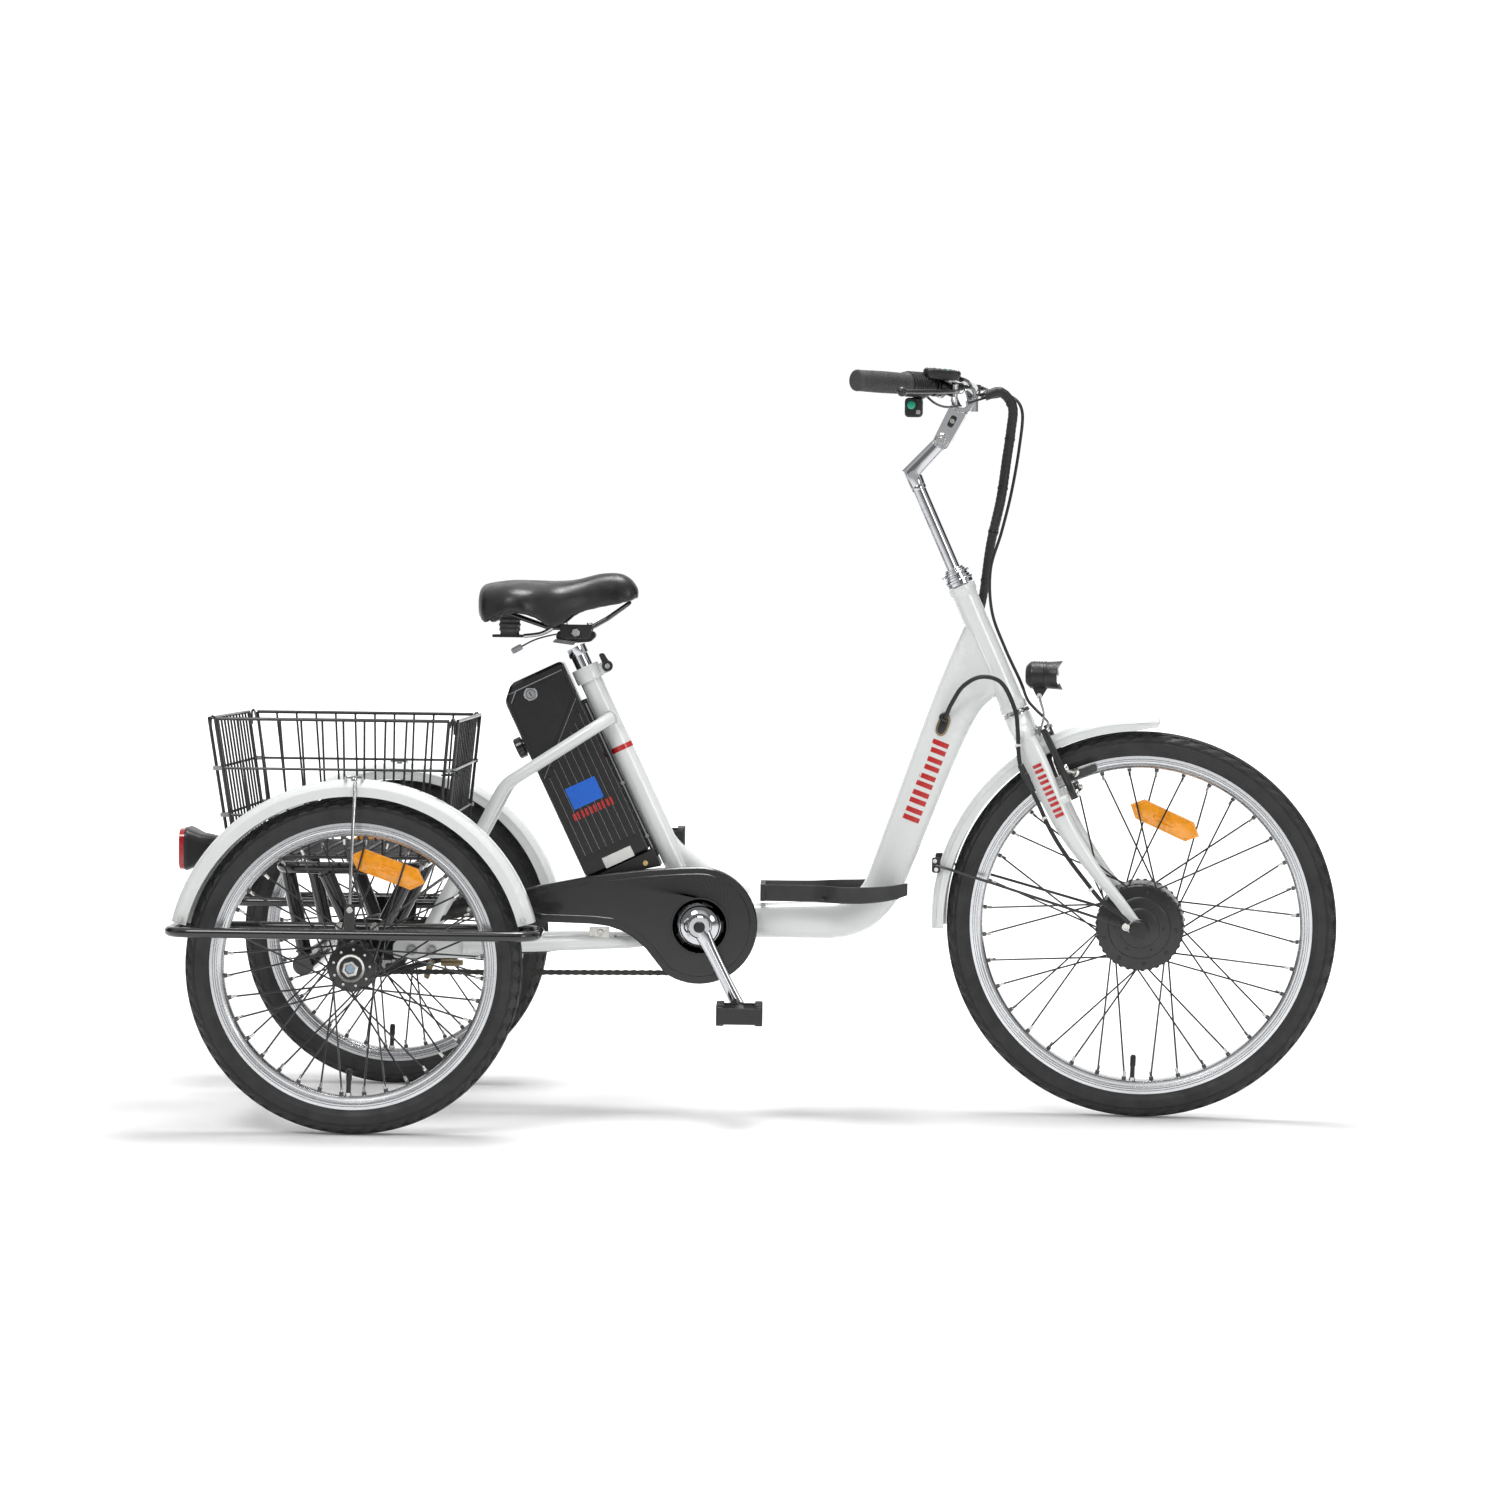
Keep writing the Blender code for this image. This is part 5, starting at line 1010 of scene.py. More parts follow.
def main_frame():
    """Head tube, pressed main tube, seat tube, crank shell, stays and plates, with their weld beads."""
    shape = Shape()
    head_tube(shape)
    stations = main_tube_stations()
    shape.loft([main_tube_ring(stations, i) for i in range(len(stations))])
    seat_profile = [(0.0139, 0.24), (0.0139, 0.4354), (0.0175, 0.4354), (0.0175, 0.0), (0.0139, 0.0)]
    shape.turned(seat_profile, SEAT_FOOT, SEAT_UP, 40)
    shape.turned([(0.0150, -0.036), (0.0225, -0.036), (0.0225, 0.036), (0.0150, 0.036)], CRANK_CENTRE,
                 Y_AXIS, 48)
    for side in (-1, 1):
        cup = [(0.0100, 0.0350), (0.0205, 0.0350), (0.0205, 0.0385), (0.0150, 0.0400), (0.0100, 0.0400)]
        shape.turned(cup, CRANK_CENTRE, Y_AXIS * side, 40, 3)
    gusset = curve([seat(0.150, -0.004), seat(0.115, -0.010), at(0.520, 0.0, 0.345),
                    at(0.560, 0.0, 0.318)], 16)
    shape.tube(gusset, [0.012 + 0.018 * (k / 15) ** 1.3 for k in range(len(gusset))], 24, up=Y_AXIS,
               flat=0.62)
    for side in SIDES.values():
        seat_stay, chain_stay = stay_paths(side)
        shape.tube(seat_stay, 0.0095, 20)
        shape.tube(chain_stay, 0.0100, 20)
        inner, outer = sorted((side * 0.072, side * 0.078))
        shape.slab(rounded(at_outline(DROPOUT), 0.008), inner, outer, edge=0.0008)
        for x in (0.062, 0.092):
            face = at(x, side * 0.0779, 0.2515)
            shape.turned([(0, 0), (0.0086, 0), (0.0086, 0.0012), (0, 0.0012)], face, Y_AXIS * side, 28, 6,
                         closed=False)
            shape.bolt(face + Y_AXIS * (side * 0.0010), Y_AXIS * side, 0.0060, 0.0048, 6)
        stay_way = (seat_stay[1] - seat_stay[0]).normalized()
        weld_bead(shape, circle(at(0.361, side * 0.024, 0.609), stay_way, 0.0098), 0.0017)
    weld_bead(shape, main_tube_ring(stations, 1, 0.0006, 60), 0.0016)
    weld_bead(shape, circle(CRANK_CENTRE + Y_AXIS * 0.0245, Y_AXIS, 0.0228), 0.0016)
    weld_bead(shape, circle(CRANK_CENTRE - Y_AXIS * 0.0245, Y_AXIS, 0.0228), 0.0016)
    frame_lettering(shape)
    seat_tube_marks(shape)
    tube_way = (MAIN_THROAT - MAIN_PATH_CORNER).normalized()
    cable_exit = ((0.004, 0.0170, 0.0092), (-0.0012, 0.0170, 0.0092), (-0.0019, 0.0155, 0.0078))
    exit_hole_shade = ((0.003, 0.0140, 0.0062), (-0.0022, 0.0140, 0.0062), (-0.0026, 0.0128, 0.0052))
    # The exit's dark brass rim, and a black oval inside it: painted shade in the hole.
    for steps, paint in ((cable_exit, 5), (exit_hole_shade, 2)):
        shape.loft([oval(at(0.8690, sink - 0.0243, 0.6025), tube_way, tube_way.cross(Y_AXIS), deep, wide,
                         32, 0.8) for sink, deep, wide in steps], paint)
    grommet_at = at(0.8720, -0.0240, 0.6140)
    out = Vector((0.30, -0.95, 0.12)).normalized()
    shape.turned([(0.0036, -0.004), (0.0085, -0.004), (0.0085, 0.0012), (0.0070, 0.0030), (0.0036, 0.0030)],
                 grommet_at, out, 28, 4)
    obj = shape.make("frame_tubes", "frame", WHITE, RED, PLASTIC, ZINC, SHEATH, BRASS_DARK, STEEL, sharp=40)
    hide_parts("main_frame")


def seat_collar():
    shape = Shape().turned([(0.0178, 0.4130), (0.0215, 0.4132), (0.0220, 0.4150), (0.0220, 0.4345),
                            (0.0212, 0.4366), (0.0178, 0.4366)], SEAT_FOOT, SEAT_UP, 48)
    for side in (-1, 1):
        low, high = sorted((side * 0.0022, side * 0.0105))
        shape.slab(rounded(rectangle(0.0190, 0.0390, 0.4138, 0.4318), 0.006), low, high, SEAT_FOOT,
                   -SEAT_BACK, SEAT_UP, edge=0.0010)
    shape.bolt(seat(0.4228, -0.0300, -0.0105), -Y_AXIS, 0.0055, 0.0040, 1)
    obj = shape.make("seat_collar_clamp", "frame", WHITE, PLASTIC)
    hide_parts("seat_collar")


# ---------------------------------------------------------------- the black axle carriage and wheel loops
def carriage_side(shape, side):
    def place(x, y, z):
        return at(x, side * y, z)

    housing = [(AXLE_R + 0.0004, 0.0665), (0.0150, 0.0665), (0.0165, 0.0680), (0.0165, 0.2310),
               (0.0155, 0.2325), (AXLE_R + 0.0004, 0.2325)]
    shape.turned(housing, at(0, 0, REAR_R), Y_AXIS * side, 36)
    bracket = rounded(at_outline(((-0.030, 0.222), (0.030, 0.222), (0.042, 0.310), (-0.036, 0.310))), 0.016)
    inner, outer = sorted((side * 0.2275, side * 0.2335))
    shape.slab(bracket, inner, outer, edge=0.0008)
    for x in (-0.021, 0.026):
        shape.bolt(place(x, 0.2335, 0.2965), Y_AXIS * side, 0.0062, 0.0048, 1, socket=False)
        shape.rod(place(x, 0.2335, 0.2965), place(x, 0.2400, 0.2965), 0.0036, 12, 1)
    lug = rounded(at_outline(((-0.010, 0.232), (0.108, 0.240), (0.108, 0.263), (-0.010, 0.268))), 0.006)
    inner, outer = sorted((side * 0.0655, side * 0.0715))
    shape.slab(lug, inner, outer, edge=0.0008)
    feet = (place(0.004, 0.150, REAR_R + 0.003), place(-0.006, 0.156, REAR_R + 0.004),
            place(-0.090, 0.148, 0.239))
    heads = (place(0.070, 0.149, PLATFORM_Z), place(-0.060, 0.184, PLATFORM_Z - 0.001),
             place(-0.120, 0.147, PLATFORM_Z))
    for foot, head in zip(feet, heads):
        shape.tube(spaced([foot, head], 0.02), 0.0110, 24)
        along = (head - foot).normalized()
        weld_bead(shape, circle(foot + along * 0.0165, along, 0.0118), 0.0015)
        weld_bead(shape, circle(head - along * 0.0080, along, 0.0116), 0.0014)


def hoop_path(corners, corner, steps=8):
    """A closed path with rounded corners."""
    path = []
    for i, point in enumerate(corners):
        back = (corners[i - 1] - point).normalized() * corner
        on = (corners[(i + 1) % len(corners)] - point).normalized() * corner
        for k in range(steps + 1):
            angle = (pi / 2) * k / steps
            path.append(point + back * (1 - sin(angle)) + on * (1 - cos(angle)))
    return path


def rear_carriage():
    shape = Shape()
    corners = [at(-0.025 + a * 0.100, b * 0.185, PLATFORM_Z)
               for a, b in ((1, 1), (-1, 1), (-1, -1), (1, -1))]
    shape.tube(hoop_path(corners, 0.030), 0.0090, 20, closed=True, up=Z_AXIS)
    for y in (-0.110, 0.110):
        shape.slab(rounded(at_outline(rectangle(-0.122, 0.072, PLATFORM_Z - 0.002, PLATFORM_Z + 0.002)),
                           0.001),
                   y - 0.014, y + 0.014)
        for x in (-0.095, 0.045):
            shape.bolt(at(x, y, PLATFORM_Z + 0.002), Z_AXIS, 0.0058, 0.0040, 1)
    for side in SIDES.values():
        carriage_side(shape, side)
    ends = [(0, -0.1885), (0.0130, -0.1885), (0.0160, -0.1860), (0.0165, -0.1820)]
    shape.turned(ends + [(r, -y) for r, y in reversed(ends)], at(-0.090, 0, 0.236), Y_AXIS, 36, closed=False)
    shape.slab(rounded([(x + REAR_X, y) for x, y in rectangle(-0.243, -0.115, -0.012, 0.012)], 0.005),
               PLATFORM_Z - 0.003, PLATFORM_Z + 0.003, u=X_AXIS, v=Y_AXIS, w=Z_AXIS, edge=0.0006)
    bracket = rounded(at_outline(((0.094, 0.290), (0.160, 0.290), (0.160, 0.3245), (0.128, 0.3245),
                                  (0.098, 0.306))), 0.004)
    shape.slab(bracket, 0.0660, 0.0700, edge=0.0008)
    for z in (0.3023, 0.3175):
        shape.bolt(at(0.138, 0.0660, z), -Y_AXIS, 0.0050, 0.0034, 1)
    obj = shape.make("axle_carriage", "frame", BLACK, ZINC)
    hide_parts("rear_carriage")


def guard_loop(name, side):
    """The tube round a rear wheel, its outer tab, and the rod up to the mudguard."""
    rear, ahead, near, far = -0.2665, 0.2690, 0.3700, 0.2412
    corners = [at(ahead, side * near, LOOP_Z), at(rear, side * near, LOOP_Z), at(rear, side * far, LOOP_Z),
               at(ahead, side * far, LOOP_Z)]
    shape = Shape().tube(spaced_closed(hoop_path(corners, 0.035), 0.02), 0.0075, 18, closed=True, up=Z_AXIS)
    tab = rounded(at_outline(rectangle(-0.0075, 0.0075, LOOP_Z - 0.006, LOOP_Z + 0.0440)), 0.005)
    low, high = sorted((side * 0.3683, side * 0.3712))
    shape.slab(tab, low, high, edge=0.0006)
    shape.bolt(at(0.0, side * 0.3712, LOOP_Z + 0.036), Y_AXIS * side, 0.0050, 0.0034, 1)
    stay = [at(0.0, side * 0.3660, LOOP_Z + 0.030), at(0.0, side * 0.3655, LOOP_Z + 0.070),
            at(0.002, side * 0.3560, 0.4550), at(0.003, side * 0.3470, 0.4960),
            at(0.003, side * 0.3400, 0.5180)]
    shape.tube(curve(stay, 24), 0.0026, 10, 2)
    for x in (-0.0285, 0.0230):
        shape.bolt(at(x, side * (far + 0.0064), LOOP_Z + 0.0015), Y_AXIS * side, 0.0070, 0.0046, 1)
    obj = shape.make(f"wheel_loop_{name}", "frame", BLACK, ZINC, STEEL)
    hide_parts(f"guard_loop_{name}")


def spaced_closed(path, step):
    return spaced(path + [path[0]], step)[:-1]


# ---------------------------------------------------------------- mudguards
def guard_section(half_width, skirt):
    """The channel's outline, outside then inside, with a rolled bead along each lower edge."""
    sheet = 0.0020
    outer = []
    for share in (-1, -0.93, -0.82, -0.66, -0.45, -0.22, 0, 0.22, 0.45, 0.66, 0.82, 0.93, 1):
        outer.append((half_width * share, -0.0015 - 0.0105 * abs(share) ** 5))
    left = [(-half_width, -skirt * 0.75), (-half_width, -skirt * 0.5)]
    right = [(half_width, -skirt * 0.5), (half_width, -skirt * 0.75)]
    bead_r = [(half_width + 0.0012, -skirt + 0.0030), (half_width + 0.0010, -skirt + 0.0004),
              (half_width - 0.0006, -skirt)]
    bead_l = [(-y, r) for y, r in reversed(bead_r)]
    outside = bead_l + left + outer + right + bead_r
    inside = []
    for y, r in reversed(outside):
        bead_step = 0.0008 if r < -skirt * 0.8 else 0
        inner_y = y * (1 - sheet / half_width) - (bead_step if y > 0 else -bead_step)
        inner_r = r - (sheet if r > -skirt * 0.5 else 0) + (0.0012 if r <= -skirt + 0.0004 else 0)
        inside.append((inner_y, inner_r))
    return outside + inside


def mudguard_piece(outer_r, start, end, half_width, skirt, bolts=True, tip=0.0):
    """A channel bent round a wheel; with `tip`, its first few degrees are cut back to a slanted end."""
    rings = []
    steps = 72
    for i in range(steps + 1):
        section = guard_section(half_width, skirt * (1.0 - tip * max(0.0, 1 - i / 5)))
        angle = radians(start + (end - start) * i / steps)
        out = Vector((cos(angle), 0, sin(angle)))
        narrow = 1.0 - 0.10 * max(0.0, abs(2 * i / steps - 1) - 0.94) / 0.06
        rings.append([out * (outer_r + r) + Y_AXIS * (y * narrow) for y, r in section])
    shape = Shape().loft(rings)
    for angle in (start + 1.6, end - 1.6) if bolts else ():
        out = Vector((cos(radians(angle)), 0, sin(radians(angle))))
        for side in (-1, 1):
            shape.bolt(out * (outer_r - 0.016) + Y_AXIS * (side * half_width), Y_AXIS * side, 0.0040, 0.0028,
                       1)
    return shape


def rear_mudguard(name, side):
    centre = at(0, side * HALF_TRACK, REAR_R)
    shape = mudguard_piece(0.2750, 14.5, 166.5, 0.0320, 0.026)
    loop = [Vector((-0.010, side * 0.030, 0.2735)), Vector((-0.012, side * 0.012, 0.2766)),
            Vector((0.010, side * 0.012, 0.2766)), Vector((0.012, side * 0.030, 0.2735))]
    shape.tube(curve(loop, 24), 0.0018, 8, 2)
    shape.bolt(Vector((0.0, side * 0.018, 0.2730)), Z_AXIS, 0.0046, 0.0034, 1)
    obj = shape.make(f"mudguard_{name}", "frame", WHITE, ZINC, STEEL, place=centre)
    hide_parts(f"rear_fender_{name}")


def front_mudguard():
    centre = Vector(JOINTS["front_wheel_spin"]["pos_m"])
    shape = mudguard_piece(0.3240, 85.6, 182.0, 0.0290, 0.0225, bolts=False, tip=0.30)

    def local(x, side, y, z):
        return Vector((x - WHEELBASE, side * y, z - FRONT_R))

    for side in SIDES.values():
        low = [local(0.8610, side, 0.0310, 0.3860), local(0.8920, side, 0.0370, 0.3800),
               local(1.1100, side, 0.0655, 0.3180), local(1.1630, side, 0.0655, 0.3020)]
        shape.tube(curve(low, 40), 0.0022, 10, 3)
        plate = local(0.8640, side, 0.0306, 0.3870)
        low_y, high_y = sorted((plate.y - 0.0010, plate.y + 0.0016))
        shape.slab(rounded(rectangle(-0.006, 0.007, -0.012, 0.012), 0.004), low_y, high_y,
                   Vector((plate.x, 0, plate.z)), edge=0.0004, paint=2)
        for dx, dz in ((-0.001, 0.0065), (0.001, -0.0065)):
            shape.bolt(Vector((plate.x + dx, high_y if side > 0 else low_y, plate.z + dz)), Y_AXIS * side,
                       0.0036, 0.0024, 1)
        eye = local(1.1590, side, 0.0655, 0.3040)
        shape.bolt(eye + Y_AXIS * (side * 0.0015), Y_AXIS * side, 0.0066, 0.0046, 1)
    obj = shape.make("mudguard_front", "steering", WHITE, ZINC, PLASTIC, WIRE, place=centre, turn=PARKED)
    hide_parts("front_fender")


# ---------------------------------------------------------------- fork, brake and lamp
BLADE_PATH = ((0.999, 0.050, 0.584), (1.017, 0.052, 0.551), (1.062, 0.054, 0.457), (1.110, 0.054, 0.387),
              (1.148, 0.0530, 0.341), (1.174, 0.0515, 0.306))
BLADE_DEPTH = (0.018, 0.0185, 0.0150, 0.0100, 0.0085, 0.0080)
BLADE_WIDTH = (0.0095, 0.0095, 0.0090, 0.0075, 0.0060, 0.0045)
BOSS_Y = 0.0540
BRAKE_OUT = PARKED @ Vector((0.898, 0.0, 0.440)).normalized()
BRAKE_UP = PARKED @ Vector((-0.440, 0.0, 0.898)).normalized()
ACROSS = PARKED @ Y_AXIS
AHEAD = PARKED @ X_AXIS
BRAKE_FACE = front(1.0610, 0.0, 0.4960)


def fork_blade(shape, side):
    points = smooth_run([front(x, side * y, z) for x, y, z in BLADE_PATH], 30)
    sizes = smooth_run([Vector((d, w, 0)) for d, w in zip(BLADE_DEPTH, BLADE_WIDTH)], 30)
    rings = []
    for i, (point, size) in enumerate(zip(points, sizes)):
        tangent = (points[min(i + 1, len(points) - 1)] - points[max(i - 1, 0)]).normalized()
        u = (ACROSS - tangent * ACROSS.dot(tangent)).normalized()
        rings.append(oval(point, tangent.cross(u), u, size.x, size.y, 28))
    shape.loft(rings)
    end = rounded(((WHEELBASE - 0.020, 0.296), (WHEELBASE + 0.001, 0.286), (WHEELBASE + 0.012, 0.292),
                   (WHEELBASE + 0.010, 0.308), (WHEELBASE - 0.006, 0.318), (WHEELBASE - 0.022, 0.312)),
                  0.007)
    low, high = sorted((side * 0.0505, side * 0.0565))
    shape.slab(end, low, high, front(0, 0, 0), AHEAD, UP, ACROSS, edge=0.0008)
    boss = BRAKE_FACE + ACROSS * (side * BOSS_Y)
    shape.rod(boss - BRAKE_OUT * 0.018, boss + BRAKE_OUT * 0.0100, 0.0070, 20)


def fork():
    shape = Shape()
    steerer = [(0.0114, -0.150), (0.0114, 0.0200), (0.0127, 0.0200), (0.0127, -0.2140), (0.0114, -0.2140)]
    shape.turned(steerer, HEAD_TOP, STEER_UP, 36)
    crown = [(-0.2130, 0.0200, 0.0200), (-0.2180, 0.0208, 0.0220), (-0.2260, 0.0210, 0.0270),
             (-0.2340, 0.0210, 0.0420), (-0.2400, 0.0205, 0.0540), (-0.2480, 0.0198, 0.0590),
             (-0.2560, 0.0185, 0.0600)]
    forward = PARKED @ STEER_FORWARD
    shape.loft([oval(HEAD_TOP + STEER_UP * up, forward, ACROSS, deep, wide, 36, 0.75)
                for up, deep, wide in crown])
    for side in SIDES.values():
        fork_blade(shape, side)
    for side in SIDES.values():
        fork_bars(shape, side)
    obj = shape.make("fork_blades", "steering", WHITE, RED, sharp=40)
    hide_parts("fork")


def fork_bars(shape, side):
    """Plain red bars on the blade's outer face where the maker's lettering would be."""
    top, bottom = front(1.0185, side * 0.0522, 0.5490), front(1.0560, side * 0.0539, 0.4700)
    along = (bottom - top).normalized()
    for start, end in stroke_shares(5):
        rings = []
        for k in range(4):
            mid = top.lerp(bottom, start + (end - start) * k / 3)
            depth_axis = along.cross(ACROSS)
            row = []
            for share in (-0.42, -0.2, 0.0, 0.2, 0.42):
                bulge = 0.0094 * sqrt(1 - share ** 2) + 0.0006
                row.append(mid + depth_axis * (0.0165 * share) + ACROSS * (side * bulge))
            rings.append(row + [p - ACROSS * (side * 0.0016) for p in reversed(row)])
        shape.loft(rings, 1)


def lower_headset():
    """The chrome race and ring under the head tube."""
    shape = Shape()
    rings = [(0.0142, -0.2105), (0.0224, -0.2108), (0.0224, -0.2128), (0.0232, -0.2140), (0.0232, -0.2168),
             (0.0220, -0.2182), (0.0142, -0.2182)]
    shape.turned(rings, HEAD_TOP, STEER_UP, 48)
    shape.make("headset_lower_race", "steering", CHROME)


def upper_headset():
    shape = Shape()
    steps = ((0.0215, 0.0008, 0.0070), (0.0232, 0.0070, 0.0105), (0.0205, 0.0105, 0.0150),
             (0.0190, 0.0150, 0.0182), (0.0205, 0.0182, 0.0222), (0.0175, 0.0222, 0.0255),
             (0.0158, 0.0255, 0.0285))
    profile = [(0.0131, 0.0008)]
    for radius, low, high in steps:
        profile += [(radius - 0.0008, low), (radius, low + 0.0008), (radius, high - 0.0008),
                    (radius - 0.0008, high)]
    profile.append((0.0131, 0.0285))
    shape.turned(profile, HEAD_TOP, STEER_UP, 48)
    for k in range(12):
        out = Quaternion(STEER_UP, tau * k / 12) @ STEER_FORWARD
        shape.rod(HEAD_TOP + out * 0.0200 + STEER_UP * 0.0186, HEAD_TOP + out * 0.0200 + STEER_UP * 0.0218,
                  0.0018, 8)
    obj = shape.make("headset_upper_stack", "steering", CHROME)
    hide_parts("headset_upper")


def brake_arm(name, side):
    """A long brake arm with its return spring, shoe, washers and bolts."""
    def place(across, up, out):
        return BRAKE_FACE + ACROSS * (side * across) + BRAKE_UP * up + BRAKE_OUT * out

    shape = Shape()
    centre_line = [(BOSS_Y, -0.006), (BOSS_Y, 0.010), (0.0470, 0.044), (0.0440, 0.080), (0.0430, 0.110)]
    widths = [0.0090, 0.0090, 0.0062, 0.0056, 0.0050]
    points = smooth_run([Vector((a, b, 0)) for a, b in centre_line], 24)
    sizes = smooth_run([Vector((w, 0, 0)) for w in widths], 24)
    rings = [oval(place(p.x, p.y, 0.0160), ACROSS, BRAKE_OUT, s.x, 0.0054, 20, 0.6)
             for p, s in zip(points, sizes)]
    shape.loft(rings)
    shape.bolt(place(BOSS_Y, 0.0, 0.0214), BRAKE_OUT, 0.0062, 0.0040, 1)
    shape.bolt(place(0.0465, 0.0420, 0.0212), BRAKE_OUT, 0.0056, 0.0044, 1)
    shape.bolt(place(0.0430, 0.1060, 0.0212), BRAKE_OUT, 0.0042, 0.0030, 1)
    spring = [place(BOSS_Y + 0.008, -0.004, 0.008), place(BOSS_Y + 0.0105, 0.020, 0.008),
              place(0.0540, 0.055, 0.009), place(0.0500, 0.066, 0.011)]
    shape.tube(curve(spring, 24), 0.0009, 8, 1)
    shoe_at = front(1.0833, side * 0.0205, 0.5327)
    rim_way = PARKED @ Vector((0.926, 0, 0.377))
    up = rim_way.cross(ACROSS).normalized()
    sole = rounded(rectangle(-0.027, 0.027, -0.0055, 0.0055), 0.004)
    shape.slab(sole, -0.0045, 0.0045, shoe_at, rim_way, up, ACROSS, paint=2, edge=0.0008)
    held = place(0.0440, 0.0420, 0.0160)
    pin = shoe_at.lerp(held, 0.12)
    shape.rod(pin, held, 0.0034, 14, 1)
    way = (held - shoe_at).normalized()
    shape.turned([(0.0034, 0), (0.0072, 0), (0.0062, 0.003), (0.0034, 0.003)], shoe_at + way * 0.0085, way,
                 20, 1)
    obj = shape.make(f"brake_arm_parts_{name}", f"brake_arm_{name}", DARK_ALLOY, ZINC, GRIP)
    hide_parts(f"brake_arm_{name}")


def headlight():
    """A drum lamp with a flared hood scooped at its sides, a clear lens, a rear cap and a bolted foot."""
    mid = 0.6815
    shape = Shape()

    def ring(x, a, b, scoop=0.0):
        middle = front(x, 0, mid)
        points = oval(middle, ACROSS, UP, a, b, 40)
        return [p - AHEAD * (scoop * ((p - middle).dot(ACROSS) / a) ** 2) for p in points]

    outside = [(0.9965, 0.0120, 0.0110), (0.9975, 0.0150, 0.0140), (1.0000, 0.0175, 0.0168),
               (1.0040, 0.0200, 0.0205), (1.0060, 0.0208, 0.0208), (1.0240, 0.0212, 0.0205),
               (1.0250, 0.0222, 0.0213), (1.0280, 0.0222, 0.0213), (1.0300, 0.0215, 0.0205),
               (1.0420, 0.0226, 0.0214, 0.003), (1.0530, 0.0240, 0.0225, 0.009)]
    inside = [(1.0528, 0.0222, 0.0208, 0.009), (1.0470, 0.0206, 0.0194, 0.005), (1.0420, 0.0190, 0.0178),
              (1.0395, 0.0120, 0.0110)]
    shape.loft([ring(*s) for s in outside + inside])
    shape.loft([ring(1.0400, 0.0176, 0.0166), ring(1.0450, 0.0180, 0.0168), ring(1.0480, 0.0120, 0.0112)], 1)
    for x in (1.0085, 1.0125, 1.0165, 1.0205):
        shape.loft([ring(x, 0.0214, 0.0214), ring(x + 0.0016, 0.0214, 0.0214)])
    foot = [(1.0060, 0.6640), (1.0150, 0.6455), (1.0210, 0.6455), (1.0320, 0.6640)]
    shape.slab(rounded(foot, 0.003), -0.0048, 0.0048, front(0, 0, 0), AHEAD, UP, ACROSS, edge=0.0006)
    for side in (-1, 1):
        shape.bolt(front(1.0180, side * 0.0048, 0.6505), ACROSS * side, 0.0042, 0.0030, 2)
    obj = shape.make("headlight_drum", "headlight", PLASTIC, CLEAR_LENS, ZINC)
    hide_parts("headlight")


def headlight_bracket():
    """Two crossing wires from the crown's bolt up to the lamp's foot."""
    shape = Shape()
    for side in (-1, 1):
        wire = [front(1.0190, side * 0.0070, 0.5930), front(1.0235, side * 0.0075, 0.6080),
                front(1.0250, -side * 0.0010, 0.6230), front(1.0205, -side * 0.0066, 0.6380),
                front(1.0180, -side * 0.0066, 0.6490)]
        shape.tube(curve(wire, 28), 0.0016, 10)
    crown_bolt = front(1.0165, 0, 0.5960)
    shape.turned([(0.0026, -0.0014), (0.0090, -0.0014), (0.0090, 0.0014), (0.0026, 0.0014)], crown_bolt,
                 BRAKE_OUT, 28)
    shape.bolt(crown_bolt + BRAKE_OUT * 0.0014, BRAKE_OUT, 0.0062, 0.0048, socket=False)
    obj = shape.make("headlight_wires", "steering", STEEL)
    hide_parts("headlight_bracket")


# ---------------------------------------------------------------- battery
BATTERY_KEY = (0.4330, 0.0910)
BATTERY_HALF_WIDTH = 0.038
BATTERY_FRONT = 0.0265
BATTERY_BACK = 0.1325
BATTERY_BOTTOM = 0.1390
BATTERY_TOP = 0.4600


def battery_side(shape, outline, side, depth, paint, edge=0.0004):
    """A thin raised patch on the battery's side, its outline given behind and along the seat tube."""
    low, high = sorted((side * (BATTERY_HALF_WIDTH - 0.0012), side * (BATTERY_HALF_WIDTH + depth)))
    shape.slab(outline, low, high, SEAT_FOOT, SEAT_BACK, SEAT_UP, paint=paint, edge=edge)


